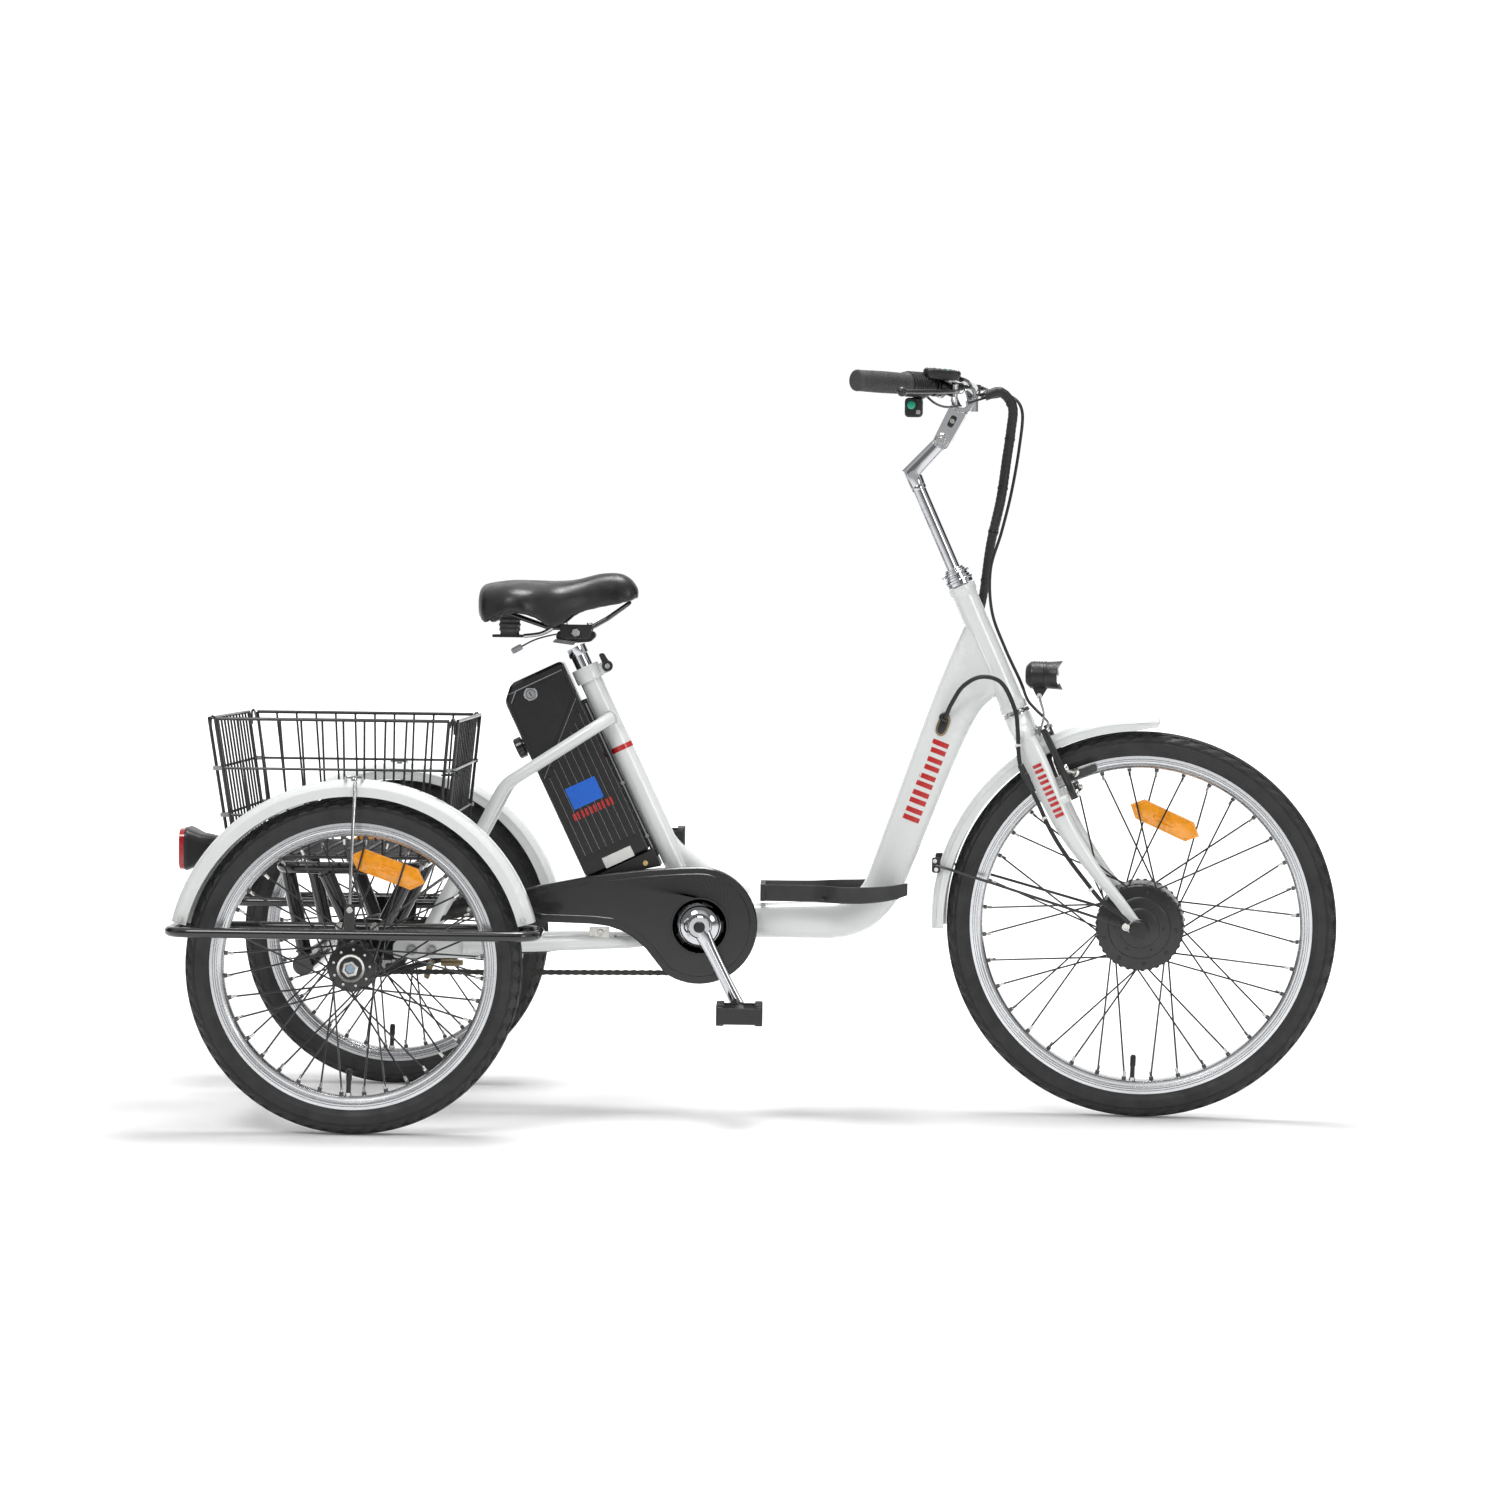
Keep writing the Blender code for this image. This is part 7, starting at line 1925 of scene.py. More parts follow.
def stem_post():
    """The quill post, its cast elbow and the knuckle the upper arm tilts on."""
    elbow = HEAD_TOP + STEER_UP * 0.1890
    shape = Shape()
    post = [(0, -0.0900), (0.0100, -0.0900), (0.0111, -0.0890), (0.0111, 0.1600), (0.0124, 0.1605),
            (0.0128, 0.1625), (0.0128, 0.1665), (0.0120, 0.1680), (0, 0.1680)]
    shape.turned(post, HEAD_TOP, STEER_UP, 40, closed=False)
    arm_way = (STEM_KNUCKLE - elbow).normalized()
    half_turn = STEER_UP.angle(arm_way) / 2
    mitre = (STEER_UP - arm_way).normalized()
    shape.loft([
        oval(HEAD_TOP + STEER_UP * 0.1660, STEER_UP.cross(ACROSS), ACROSS, 0.0122, 0.0122, 32),
        oval(HEAD_TOP + STEER_UP * 0.1700, STEER_UP.cross(ACROSS), ACROSS, 0.0130, 0.0130, 32),
        oval(elbow, mitre, ACROSS, 0.0135 / cos(half_turn), 0.0135, 32),
        oval(elbow + arm_way * 0.0220, arm_way.cross(ACROSS), ACROSS, 0.0128, 0.0128, 32),
        oval(STEM_KNUCKLE - arm_way * 0.0040, arm_way.cross(ACROSS), ACROSS, 0.0118, 0.0118, 32)])
    knuckle = [(0, -0.0058), (0.0128, -0.0058), (0.0130, -0.0050), (0.0130, 0.0050), (0.0128, 0.0058),
               (0, 0.0058)]
    shape.turned(knuckle, STEM_KNUCKLE, ACROSS, 36, closed=False)
    for k in range(3):
        mark = 0.1020 + 0.014 * k
        shape.turned([(0.0108, mark), (0.01125, mark), (0.01125, mark + 0.0008), (0.0108, mark + 0.0008)],
                     HEAD_TOP, STEER_UP, 40, 1)
    obj = shape.make("stem_post_and_elbow", "stem_post", CHROME, STEEL)
    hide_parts("stem_post")


def stem_arm():
    """The tilting upper arm: two cheeks whose slots are black patches of painted shade, a pivot bolt and the
    clamp round the bar.
    """
    along = (BAR_CENTRE - STEM_KNUCKLE).normalized()
    across = along.cross(ACROSS)
    length = (BAR_CENTRE - STEM_KNUCKLE).length
    shape = Shape()
    for side in (-1, 1):
        low, high = sorted((side * 0.0064, side * 0.0148))
        cheek = rounded([(-0.013, -0.013), (length - 0.010, -0.0150), (length - 0.010, 0.0150),
                         (-0.013, 0.013)], 0.010)
        shape.slab(cheek, low, high, STEM_KNUCKLE, along, across, ACROSS, edge=0.0016)
        boss = STEM_KNUCKLE + ACROSS * (side * 0.0140)
        shape.turned([(0.0040, 0), (0.0106, 0), (0.0106, 0.0010), (0.0096, 0.0020), (0.0040, 0.0020)], boss,
                     ACROSS * side, 32)
        shape.bolt(boss + ACROSS * (side * 0.0004), ACROSS * side, 0.0056, 0.0040, 1)
        # Each slot is a black patch on the cheek: painted shade where the opening would be.
        slot = rounded(rectangle(0.0230, 0.0420, -0.0048, 0.0048), 0.0046)
        near, far = sorted((side * 0.0142, side * 0.0152))
        shape.slab(slot, near, far, STEM_KNUCKLE, along, across, ACROSS, paint=2)
        shape.bolt(STEM_KNUCKLE + along * 0.0330 + ACROSS * (side * 0.0146), ACROSS * side, 0.0040, 0.0026,
                   1)
    middle = rounded(rectangle(0.0250, length - 0.012, -0.0120, 0.0120), 0.006)
    shape.slab(middle, -0.0070, 0.0070, STEM_KNUCKLE, along, across, ACROSS)
    clamp = [(BAR_R + 0.0002, -0.0200), (0.0172, -0.0200), (0.0182, -0.0188), (0.0182, 0.0188),
             (0.0172, 0.0200), (BAR_R + 0.0002, 0.0200)]
    shape.turned(clamp, BAR_CENTRE, ACROSS, 44)
    for side in (-1, 1):
        ear = BAR_CENTRE + AHEAD * 0.0165 + ACROSS * (side * 0.0120) - UP * 0.006
        shape.turned([(0, -0.010), (0.0052, -0.010), (0.0052, 0.010), (0, 0.010)], ear, UP, 20, closed=False)
        shape.bolt(ear + UP * 0.0100, UP, 0.0040, 0.0030, 1)
    obj = shape.make("stem_arm_and_clamp", "bars", CHROME, ZINC, PLASTIC)
    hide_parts("stem_arm")


def handlebar():
    half = [bar_end(-1), bar_shoulder(-1), front(0.8950, -0.0450, 1.1000)]
    other = [front(0.8950, 0.0450, 1.1000), bar_shoulder(1), bar_end(1)]
    path = spaced(bend(half + other, 0.060, 14), 0.02)
    shape = Shape().tube(path, BAR_R, 28)
    shape.tube([BAR_CENTRE - ACROSS * 0.030, BAR_CENTRE + ACROSS * 0.030], BAR_R + 0.0001, 28)
    obj = shape.make("handlebar_tube", "bars", CHROME)
    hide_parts("handlebar")


def grip(name, body, node, side, length):
    """A ribbed rubber grip with a flanged inner end and a closed outer end."""
    axis = bar_inward(side)
    start = bar_point(side, -0.0040)
    profile = [(0, 0), (0.0135, 0), (0.0156, 0.0016), (0.0160, 0.0040)]
    rib = 0.0046
    count = int((length - 0.016) / rib)
    for k in range(count):
        base = 0.0060 + rib * k
        swell = 0.0006 * sin(pi * k / count)
        profile += [(0.0146 + swell, base), (0.0146 + swell, base + 0.0010), (0.0155 + swell, base + 0.0018),
                    (0.0155 + swell, base + 0.0040)]
    profile += [(0.0158, length - 0.0080), (0.0174, length - 0.0060), (0.0174, length - 0.0012),
                (0.0164, length), (BAR_R + 0.0002, length), (BAR_R + 0.0002, 0.0035), (0, 0.0035)]
    shape = Shape().turned(profile, start, axis, 44, closed=False)
    obj = shape.make(name, body, GRIP, sharp=25)
    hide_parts(node)


def throttle_housing():
    """The fixed ribbed drum and the battery gauge on top of it."""
    axis = bar_inward(-1)
    profile = [(BAR_R + 0.0002, 0.1015), (0.0176, 0.1015), (0.0190, 0.1028), (0.0190, 0.1060)]
    for k in range(6):
        base = 0.1070 + 0.0048 * k
        profile += [(0.0180, base), (0.0180, base + 0.0014), (0.0190, base + 0.0020),
                    (0.0190, base + 0.0044)]
    profile += [(0.0190, 0.1385), (0.0178, 0.1400), (BAR_R + 0.0002, 0.1400)]
    shape = Shape().turned(profile, bar_end(-1), axis, 44)
    centre = PARKED @ Vector((0.030, 0.003, 0.0170)) + bar_point(-1, 0.1320)
    tilt = PARKED @ Quaternion(Y_AXIS, radians(5)) @ Quaternion(Z_AXIS, radians(8))

    def ring(z, a, b, power=0.5):
        return oval(centre + tilt @ Vector((0, 0, z)), tilt @ X_AXIS, tilt @ Y_AXIS, a, b, 44, power)

    shape.loft([ring(-0.0090, 0.0180, 0.0130), ring(-0.0080, 0.0250, 0.0165), ring(-0.0020, 0.0275, 0.0186),
                ring(0.0020, 0.0280, 0.0190), ring(0.0048, 0.0268, 0.0178), ring(0.0060, 0.0240, 0.0155)])
    shape.loft([ring(0.0056, 0.0200, 0.0115), ring(0.0066, 0.0196, 0.0111)], 1)
    for k in range(4):
        spot = centre + tilt @ Vector((-0.0120 + 0.0080 * k, 0.0, 0.0064))
        lamp_paint = 2 if k else 3
        shape.turned([(0, 0), (0.0020, 0), (0.0014, 0.0010), (0, 0.0010)], spot, tilt @ Z_AXIS, 14,
                     lamp_paint, closed=False)
    for side in (-1, 1):
        shape.bolt(centre + tilt @ Vector((side * 0.0230, 0, 0.0052)), tilt @ Z_AXIS, 0.0022, 0.0016, 4)
    shape.tube(curve([centre + tilt @ Vector((0.026, 0.004, -0.004)),
                      centre + tilt @ Vector((0.040, 0.012, -0.008)),
                      BAR_CENTRE + ACROSS * -0.030 + AHEAD * 0.020 + UP * 0.010], 20), 0.0024, 12, 5)
    obj = shape.make("throttle_drum_and_gauge", "bars", PLASTIC, SCREEN, GREEN, RED, ZINC, SHEATH)
    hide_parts("throttle_housing")


def brake_mount(name, side):
    """The clamp on the bar, the lever's fork, its barrel adjuster and bolts."""
    axis = bar_inward(side)
    ahead = lever_ahead(side)
    start = bar_point(side, LEVER_AT)
    pin = lever_pivot(side)
    shape = Shape()
    ring = [(BAR_R + 0.0002, -0.0110), (0.0150, -0.0110), (0.0160, -0.0098), (0.0160, 0.0098),
            (0.0150, 0.0110), (BAR_R + 0.0002, 0.0110)]
    shape.turned(ring, start, axis, 40)
    body = [start + ahead * 0.0135, start + ahead * 0.0220 - UP * 0.003, pin - ahead * 0.004]
    for lift in (-1, 1):
        shift = UP * (lift * 0.0058)
        shape.tube([p + shift for p in curve(body, 10)], 0.0100, 20, flat=0.24, up=UP)
    shape.tube(curve([start + ahead * 0.0120, start + ahead * 0.0190 - UP * 0.002], 4), 0.0098, 20, flat=0.8,
               up=UP)
    shape.turned([(0, -0.0086), (0.0044, -0.0086), (0.0044, 0.0086), (0, 0.0086)], pin, UP, 20, 1,
                 closed=False)
    shape.bolt(pin + UP * 0.0080, UP, 0.0052, 0.0028, 1)
    shape.bolt(start - UP * 0.0150 + ahead * 0.004, -UP, 0.0036, 0.0026, 1)
    barrel = start + ahead * 0.0230 + axis * 0.0120
    profile = [(0.0024, -0.004), (0.0060, -0.004), (0.0060, 0.004)]
    for k in range(5):
        profile += [(0.0048, 0.0044 + 0.0024 * k), (0.0058, 0.0050 + 0.0024 * k),
                    (0.0058, 0.0060 + 0.0024 * k)]
    profile += [(0.0034, 0.0170), (0.0034, 0.0260), (0.0024, 0.0260)]
    shape.turned(profile, barrel, axis, 24)
    obj = shape.make(f"lever_clamp_{name}", "bars", DARK_ALLOY, ZINC)
    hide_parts(f"brake_mount_{name}")


def brake_lever(name, side):
    """A cast lever: thick at its pin, a flat finger blade and a ball at the end."""
    pin = lever_pivot(side)
    outward = -bar_inward(side)
    ahead = lever_ahead(side)
    line = [(-0.004, -0.001), (0.010, 0.006), (0.022, 0.013), (0.050, 0.0195), (0.080, 0.0215),
            (0.110, 0.0235), (0.140, 0.0280)]
    sizes = [0.0058, 0.0066, 0.0060, 0.0050, 0.0048, 0.0048, 0.0052]
    points = smooth_run([pin + outward * a + ahead * b - UP * (0.05 * max(a, 0)) for a, b in line], 36)
    widths = smooth_run([Vector((s, 0, 0)) for s in sizes], 36)
    rings = []
    for i, (point, size) in enumerate(zip(points, widths)):
        tangent = (points[min(i + 1, len(points) - 1)] - points[max(i - 1, 0)]).normalized()
        rings.append(oval(point, tangent.cross(UP).normalized(), UP, size.x, 0.0030, 24, 0.7))
    shape = Shape().loft(rings)
    shape.turned([(0, -0.0034), (0.0064, -0.0034), (0.0066, 0), (0.0064, 0.0034), (0, 0.0034)], pin, UP, 28,
                 closed=False)
    tip = points[-1]
    ball = [(0.0072 * sin(pi * k / 12), -0.0072 * cos(pi * k / 12)) for k in range(13)]
    ball[0], ball[-1] = (0, -0.0072), (0, 0.0072)
    shape.turned(ball, tip - outward * 0.001, UP, 24, closed=False)
    obj = shape.make(f"brake_blade_{name}", f"brake_lever_{name}", DARK_ALLOY)
    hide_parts(f"brake_lever_{name}")


POD_CENTRE = front(0.8380, -0.2110, 1.0900)


def switch_pod():
    """The lamp and horn switch under the bar, with its strap."""
    shape = Shape()
    body = rounded(rectangle(-0.0130, 0.0130, -0.0150, 0.0140), 0.007)
    shape.slab(body, -0.0085, 0.0105, POD_CENTRE, AHEAD, UP, ACROSS, edge=0.0024)
    ring_at = POD_CENTRE + AHEAD * -0.003 + UP * 0.003
    ring = [(0.0064, -0.0105), (0.0088, -0.0105), (0.0092, -0.0098), (0.0092, -0.0070), (0.0064, -0.0070)]
    shape.turned(ring, ring_at, ACROSS, 32)
    shape.slab(rounded(rectangle(0.0040, 0.0105, -0.0105, -0.0040), 0.002), -0.0100, -0.0080, POD_CENTRE,
               AHEAD, UP, ACROSS, edge=0.0006, paint=1)
    strap_at = bar_point(-1, 0.1480)
    shape.turned([(BAR_R + 0.0002, -0.0045), (0.0140, -0.0045), (0.0146, -0.0035), (0.0146, 0.0035),
                  (0.0140, 0.0045), (BAR_R + 0.0002, 0.0045)], strap_at, bar_inward(-1), 36)
    shape.tube([POD_CENTRE + UP * 0.010 + ACROSS * 0.004, strap_at - UP * 0.010], 0.0060, 16, flat=0.7)
    obj = shape.make("switch_pod_shell", "bars", PLASTIC, GREY_TIE)
    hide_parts("switch_pod")


def horn_button():
    start = POD_CENTRE + AHEAD * -0.003 - ACROSS * 0.0125 + UP * 0.003
    profile = [(0, 0.0045), (0.0060, 0.0045), (0.0060, 0.0008), (0.0052, 0.0002), (0.0024, -0.0001),
               (0, -0.0002)]
    shape = Shape().turned(profile, start, ACROSS, 36, closed=False)
    obj = shape.make("horn_button_cap", "horn_button", GREEN)
    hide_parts("horn_button")


def seat_lever():
    """The quick-release lever: a waisted blade with a cam end."""
    pivot = seat(0.4230, -0.0330)
    turn = Quaternion(Y_AXIS, radians(-35))
    u, v = turn @ X_AXIS, turn @ Z_AXIS
    outline = rounded([(-0.008, -0.008), (0.008, -0.006), (0.006, 0.008), (0.007, 0.020), (-0.001, 0.023),
                       (-0.004, 0.008)], 0.005)
    shape = Shape().slab(outline, -0.0200, -0.0150, pivot, u, v, Y_AXIS, edge=0.0012)
    shape.turned([(0, -0.0204), (0.0078, -0.0204), (0.0084, -0.0194), (0.0084, -0.0130), (0.0070, -0.0116),
                  (0, -0.0116)], pivot, Y_AXIS, 32, closed=False)
    shape.bolt(pivot - Y_AXIS * 0.0200, -Y_AXIS, 0.0040, 0.0018, 1)
    obj = shape.make("seat_release_lever", "seat_lever", PLASTIC, ZINC)
    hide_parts("seat_lever")


def band_brake():
    """The band brake's drum cover on the axle, with its rim, cover bolts, anchor arm, cable holder, lever
    and barrel.
    """
    centre = at(0, 0.0290, REAR_R)
    profile = [(AXLE_R + 0.0005, 0), (0.0180, 0), (0.0190, 0.0020), (0.0440, 0.0020), (0.0460, 0.0),
               (0.0480, 0.0012), (0.0490, 0.0040), (0.0490, 0.0220), (0.0475, 0.0245), (0.0440, 0.0260),
               (0.0200, 0.0244), (0.0180, 0.0262), (AXLE_R + 0.0005, 0.0262)]
    shape = Shape().turned(profile, centre, Y_AXIS, 64)
    for k in range(6):
        out = clock(60.0 * k + 15)
        shape.bolt(centre + out * 0.0330 + Y_AXIS * 0.0018, -Y_AXIS, 0.0034, 0.0020, 1)
    arm = [centre + Vector((-0.030, 0.012, 0.030)), centre + Vector((-0.052, 0.012, 0.028)),
           centre + Vector((-0.070, 0.012, 0.020))]
    shape.tube(curve(arm, 14), 0.0050, 16, flat=0.5, up=Y_AXIS)
    shape.bolt(arm[-1] - Y_AXIS * 0.0024, -Y_AXIS, 0.0040, 0.0026, 1)
    holder = curve([at(0.028, 0.0270, 0.2090), at(0.080, 0.0260, 0.2235), at(0.146, 0.0250, 0.2400)], 16)
    shape.tube(holder, 0.0050, 16, flat=0.5, up=Y_AXIS)
    lever = at_outline(((0.071, 0.2000), (0.079, 0.1965), (0.089, 0.2260), (0.078, 0.2285)))
    shape.slab(rounded(lever, 0.003), 0.0195, 0.0225, paint=2, edge=0.0004)
    shape.bolt(at(0.0815, 0.0195, 0.2215), -Y_AXIS, 0.0042, 0.0030, 1)
    barrel = [(0, 0), (0.0050, 0), (0.0058, 0.0020), (0.0058, 0.0260), (0.0045, 0.0300), (0.0045, 0.0340),
              (0, 0.0340)]
    shape.turned(barrel, at(0.098, 0.0205, 0.2235), X_AXIS, 20, 2, closed=False)
    obj = shape.make("band_brake_drum", "frame", DARK_ALLOY, ZINC, BRASS_DARK)
    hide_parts("band_brake")


# ---------------------------------------------------------------- cables
def cable_tie(shape, path, share, radius, paint):
    """A tie round a cable, with its little head."""
    k = max(1, min(len(path) - 2, round(share * (len(path) - 1))))
    axis = (path[k + 1] - path[k - 1]).normalized()
    shape.turned([(radius - 0.0004, -0.0018), (radius + 0.0009, -0.0018), (radius + 0.0009, 0.0018),
                  (radius - 0.0004, 0.0018)], path[k], axis, 20, paint)
    side = axis.orthogonal().normalized()
    head = path[k] + side * (radius + 0.0012)
    shape.tube([head - axis * 0.0022, head + axis * 0.0022], 0.0020, 8, paint)


CABLE_R = 0.0024
BRAKE_CABLE_TOP = (front(0.9350, 0.0300, 1.1060), front(0.9650, 0.0240, 1.1080))
LOOM_TOP = (front(0.9280, -0.0060, 1.1080), front(0.9520, -0.0040, 1.1140))


def cord_piece(name, path, radius, material, ties=(), sides=16):
    """A cable's tube and, as a second piece, its ties: (share of the way along, radius, paint) each."""
    radii = radius if isinstance(radius, list) else [radius] * len(path)
    pieces = [Shape().tube(path, radii, sides).make(name, None, material)]
    if ties:
        shape = Shape()
        for share, size, paint in ties:
            cable_tie(shape, path, share, size, paint)
        pieces.append(shape.make(f"{name}_ties", None, WHITE_TIE, PLASTIC))
    return pieces


def ride_all(pieces, body):
    for piece in pieces:
        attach(piece, body)


def bend_all(pieces):
    """Each piece's place is baked into its mesh; the pieces ride on no body."""
    for piece in pieces:
        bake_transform(piece)


def split_path(path, *shares):
    """The path cut at shares of its point count; neighbouring pieces share one point."""
    cuts = [0] + [round(s * (len(path) - 1)) for s in shares] + [len(path) - 1]
    return [path[a:b + 1] for a, b in zip(cuts, cuts[1:])]


def front_brake_cable():
    """The brake's outer cable: off the bars, down before the head tube and round to the right brake arm."""
    line = [front(*p) for p in ((0.9840, 0.0120, 1.0850), (0.9810, 0.0040, 1.0300), (0.9700, 0.0, 0.9600),
                                (0.9560, -0.0020, 0.9000), (0.9400, -0.0020, 0.8420), (0.9430, 0.0, 0.7780),
                                (0.9640, 0.0, 0.7220), (0.9880, 0.0, 0.6720), (1.0000, -0.0120, 0.6450),
                                (1.0120, -0.0300, 0.6330), (1.0260, -0.0420, 0.6215))]
    path = curve([*BRAKE_CABLE_TOP, *line], 150)
    top, middle, low = split_path(path, 0.24, 0.42)
    first = cord_piece("front_brake_cable_top", top, CABLE_R, SHEATH)
    bend_all(first)
    second = cord_piece("front_brake_cable_middle", middle, CABLE_R, SHEATH)
    bend_all(second)
    third = cord_piece("front_brake_cable_low", low, CABLE_R, SHEATH)
    ride_all(third, "steering")
    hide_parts("front_brake_cable")
    noodle = Shape()
    bent = [front(1.0260, -0.0420, 0.6215), front(1.0340, -0.0440, 0.6120), front(1.0330, -0.0420, 0.6020),
            front(1.0290, -0.0260, 0.5960), front(1.0270, 0.0000, 0.5950)]
    noodle.tube(curve(bent, 40), 0.0021, 12)
    boot = [front(1.0270, 0.0000, 0.5950), front(1.0268, 0.0300, 0.5945)]
    for k in range(6):
        noodle.rod(boot[0].lerp(boot[1], k / 6), boot[0].lerp(boot[1], (k + 0.7) / 6), 0.0036 - 0.0002 * k,
                   12, 1)
    noodle.make("brake_noodle", "steering", STEEL, PLASTIC)


def control_loom():
    """The wrapped bundle from the bars down beside the head tube and into the frame's left side."""
    high = [front(*p) for p in ((0.9700, -0.0020, 1.0920), (0.9680, 0.0, 1.0550), (0.9620, 0.0010, 1.0100),
                                (0.9540, 0.0010, 0.9500))]
    low = [at(*p) for p in ((0.9400, 0.0140, 0.8800), (0.9310, 0.0280, 0.8050), (0.9230, 0.0320, 0.7650),
                            (0.9130, 0.0150, 0.7200))]
    path = curve([*LOOM_TOP, *high, *low], 160)
    top, middle, bottom = split_path(path, 0.30, 0.52)
    thick, slim = 0.0074, 0.0060

    def wrapped(count, start, end):
        return [(start + (end - start) * k / max(1, count - 1)) * (1.05 if k % 3 == 0 else 1.0)
                for k in range(count)]

    first = cord_piece("control_loom_top", top, wrapped(len(top), thick, thick), WRAP,
                       ((0.35, thick, 1), (0.80, thick, 1)), 20)
    bend_all(first)
    second = cord_piece("control_loom_middle", middle, wrapped(len(middle), thick, thick), WRAP,
                        ((0.5, thick, 1),), 20)
    bend_all(second)
    third = cord_piece("control_loom_low", bottom, wrapped(len(bottom), thick, slim), WRAP,
                       ((0.10, thick, 1), (0.45, 0.0068, 1)), 20)
    bend_all(third)
    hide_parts("control_loom")


def swept(start, way, onward, goal, steps=48):
    """A smooth sweep that leaves `start` along `way` and arrives at `goal` along `onward`."""
    handles = (start, start + way, goal - onward, goal)
    path = []
    for k in range(steps + 1):
        t = k / steps
        shares = ((1 - t) ** 3, 3 * t * (1 - t) ** 2, 3 * t * t * (1 - t), t ** 3)
        path.append(sum((point * share for point, share in zip(handles, shares)), Vector()))
    return path


def bar_leads():
    """Both lever cables' first stretch, and the throttle's lead, which droops below the bar."""
    loom_start, loom_next = LOOM_TOP
    cable_start, cable_next = BRAKE_CABLE_TOP
    loom_way = (loom_next - loom_start).normalized()
    cable_way = (cable_next - cable_start).normalized()

    def barrel_end(side):
        return bar_point(side, LEVER_AT) + lever_ahead(side) * 0.0230 + bar_inward(side) * 0.0375

    into_loom = loom_start + loom_way * 0.008
    right_way, left_way = bar_inward(-1) * 0.040, bar_inward(1) * 0.040
    throttle_end = bar_point(-1, 0.1420) - UP * 0.0150
    leads = (("lever_cable_right", barrel_end(-1), right_way, loom_way * 0.045,
              into_loom + UP * 0.003, CABLE_R),
             ("lever_cable_left", barrel_end(1), left_way, cable_way * 0.040,
              cable_start + cable_way * 0.001, CABLE_R),
             ("throttle_lead", throttle_end, right_way - UP * 0.030, loom_way * 0.045,
              into_loom - UP * 0.003, 0.0018))
    for name, start, way, onward, goal, radius in leads:
        path = swept(start, way, onward, goal)
        pieces = cord_piece(name, path, radius, SHEATH)
        ride_all(pieces, "bars")


def motor_cable():
    """The motor's cable: out of the main tube, over in a loop and down the fork's right blade."""
    near_frame = [at(*p) for p in ((0.8720, -0.0285, 0.6140), (0.8820, -0.0380, 0.6380),
                                   (0.8990, -0.0460, 0.6640), (0.9260, -0.0520, 0.6780),
                                   (0.9560, -0.0580, 0.6690))]
    on_fork = [front(*p) for p in ((0.9850, -0.0700, 0.6330), (0.9900, -0.0720, 0.6000),
                                   (0.9930, -0.0720, 0.5560), (1.0030, -0.0720, 0.5300),
                                   (1.0230, -0.0715, 0.4900), (1.0420, -0.0710, 0.4500),
                                   (1.0660, -0.0700, 0.4120), (1.0960, -0.0740, 0.3740),
                                   (1.1230, -0.0740, 0.3420), (1.1500, -0.0730, 0.3230),
                                   (1.1640, -0.0715, 0.3100))]
    path = curve(near_frame + on_fork, 190)
    loop, down = split_path(path, 0.36)
    radius = 0.0033
    first = cord_piece("motor_cable_loop", loop, radius, SHEATH)
    bend_all(first)
    second = cord_piece("motor_cable_low", down, radius, SHEATH,
                        ((0.08, 0.0036, 0), (0.42, 0.0036, 0), (0.78, 0.0036, 0)))
    ride_all(second, "steering")
    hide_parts("motor_cable")
    plug_start, further_on = down[round(0.16 * len(down))], down[round(0.36 * len(down))]
    along = (further_on - plug_start).normalized()
    profile = [(0, 0), (0.0036, 0), (0.0052, 0.002), (0.0052, 0.016), (0.0060, 0.017), (0.0060, 0.026),
               (0.0052, 0.027), (0.0052, 0.040), (0.0036, 0.044), (0, 0.044)]
    plug = Shape().turned(profile, plug_start, along, 24, closed=False)
    plug_piece = plug.make("motor_cable_plug", "steering", PLASTIC)


def rear_brake_cable():
    """The thin cable along the right chain stay to the band brake."""
    line = [at(0.3720, -0.0430, 0.2720), at(0.3560, -0.0300, 0.2660), at(0.3000, -0.0100, 0.2520),
            at(0.2200, 0.0150, 0.2420), at(0.1200, 0.0330, 0.2500), at(0.0200, 0.0400, 0.2760),
            at(-0.0400, 0.0410, 0.2760), at(-0.0660, 0.0410, 0.2680)]
    path = curve(line, 90)
    pieces = cord_piece("rear_brake_cable", path, CABLE_R, SHEATH)
    ride_all(pieces, "frame")
    lug = Shape()
    lug.turned([(0.0026, -0.008), (0.0044, -0.008), (0.0050, -0.006), (0.0050, 0.006), (0.0044, 0.008),
                (0.0026, 0.008)], path[3], (path[5] - path[2]).normalized(), 24)
    lug.bolt(at(0.3480, -0.0500, 0.2790), -Y_AXIS, 0.0050, 0.0034)
    plate = rounded(at_outline(rectangle(0.331, 0.362, 0.2640, 0.2880)), 0.003)
    lug.slab(plate, -0.0500, -0.0470, edge=0.0004)
    lug.make("brake_cable_lug", "frame", ZINC)


def saddle_lead():
    """The thin lead that hangs behind the saddle's clamp, with its grey connector."""
    line = [at(0.3000, -0.0180, 0.7400), at(0.2620, -0.0300, 0.7320), at(0.2400, -0.0340, 0.7250),
            at(0.2210, -0.0330, 0.7150)]
    path = curve(line, 40)
    obj = cord_piece("saddle_lead", path, 0.0012, SHEATH)[0]
    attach(obj, "seat")
    along = (path[-1] - path[-3]).normalized()
    profile = [(0, 0), (0.0038, 0), (0.0046, 0.002), (0.0046, 0.014), (0.0036, 0.017), (0, 0.017)]
    plug = Shape().turned(profile, path[-1] - along * 0.001, along, 20, closed=False)
    tip = plug.make("saddle_lead_connector", "seat", GREY_TIE)


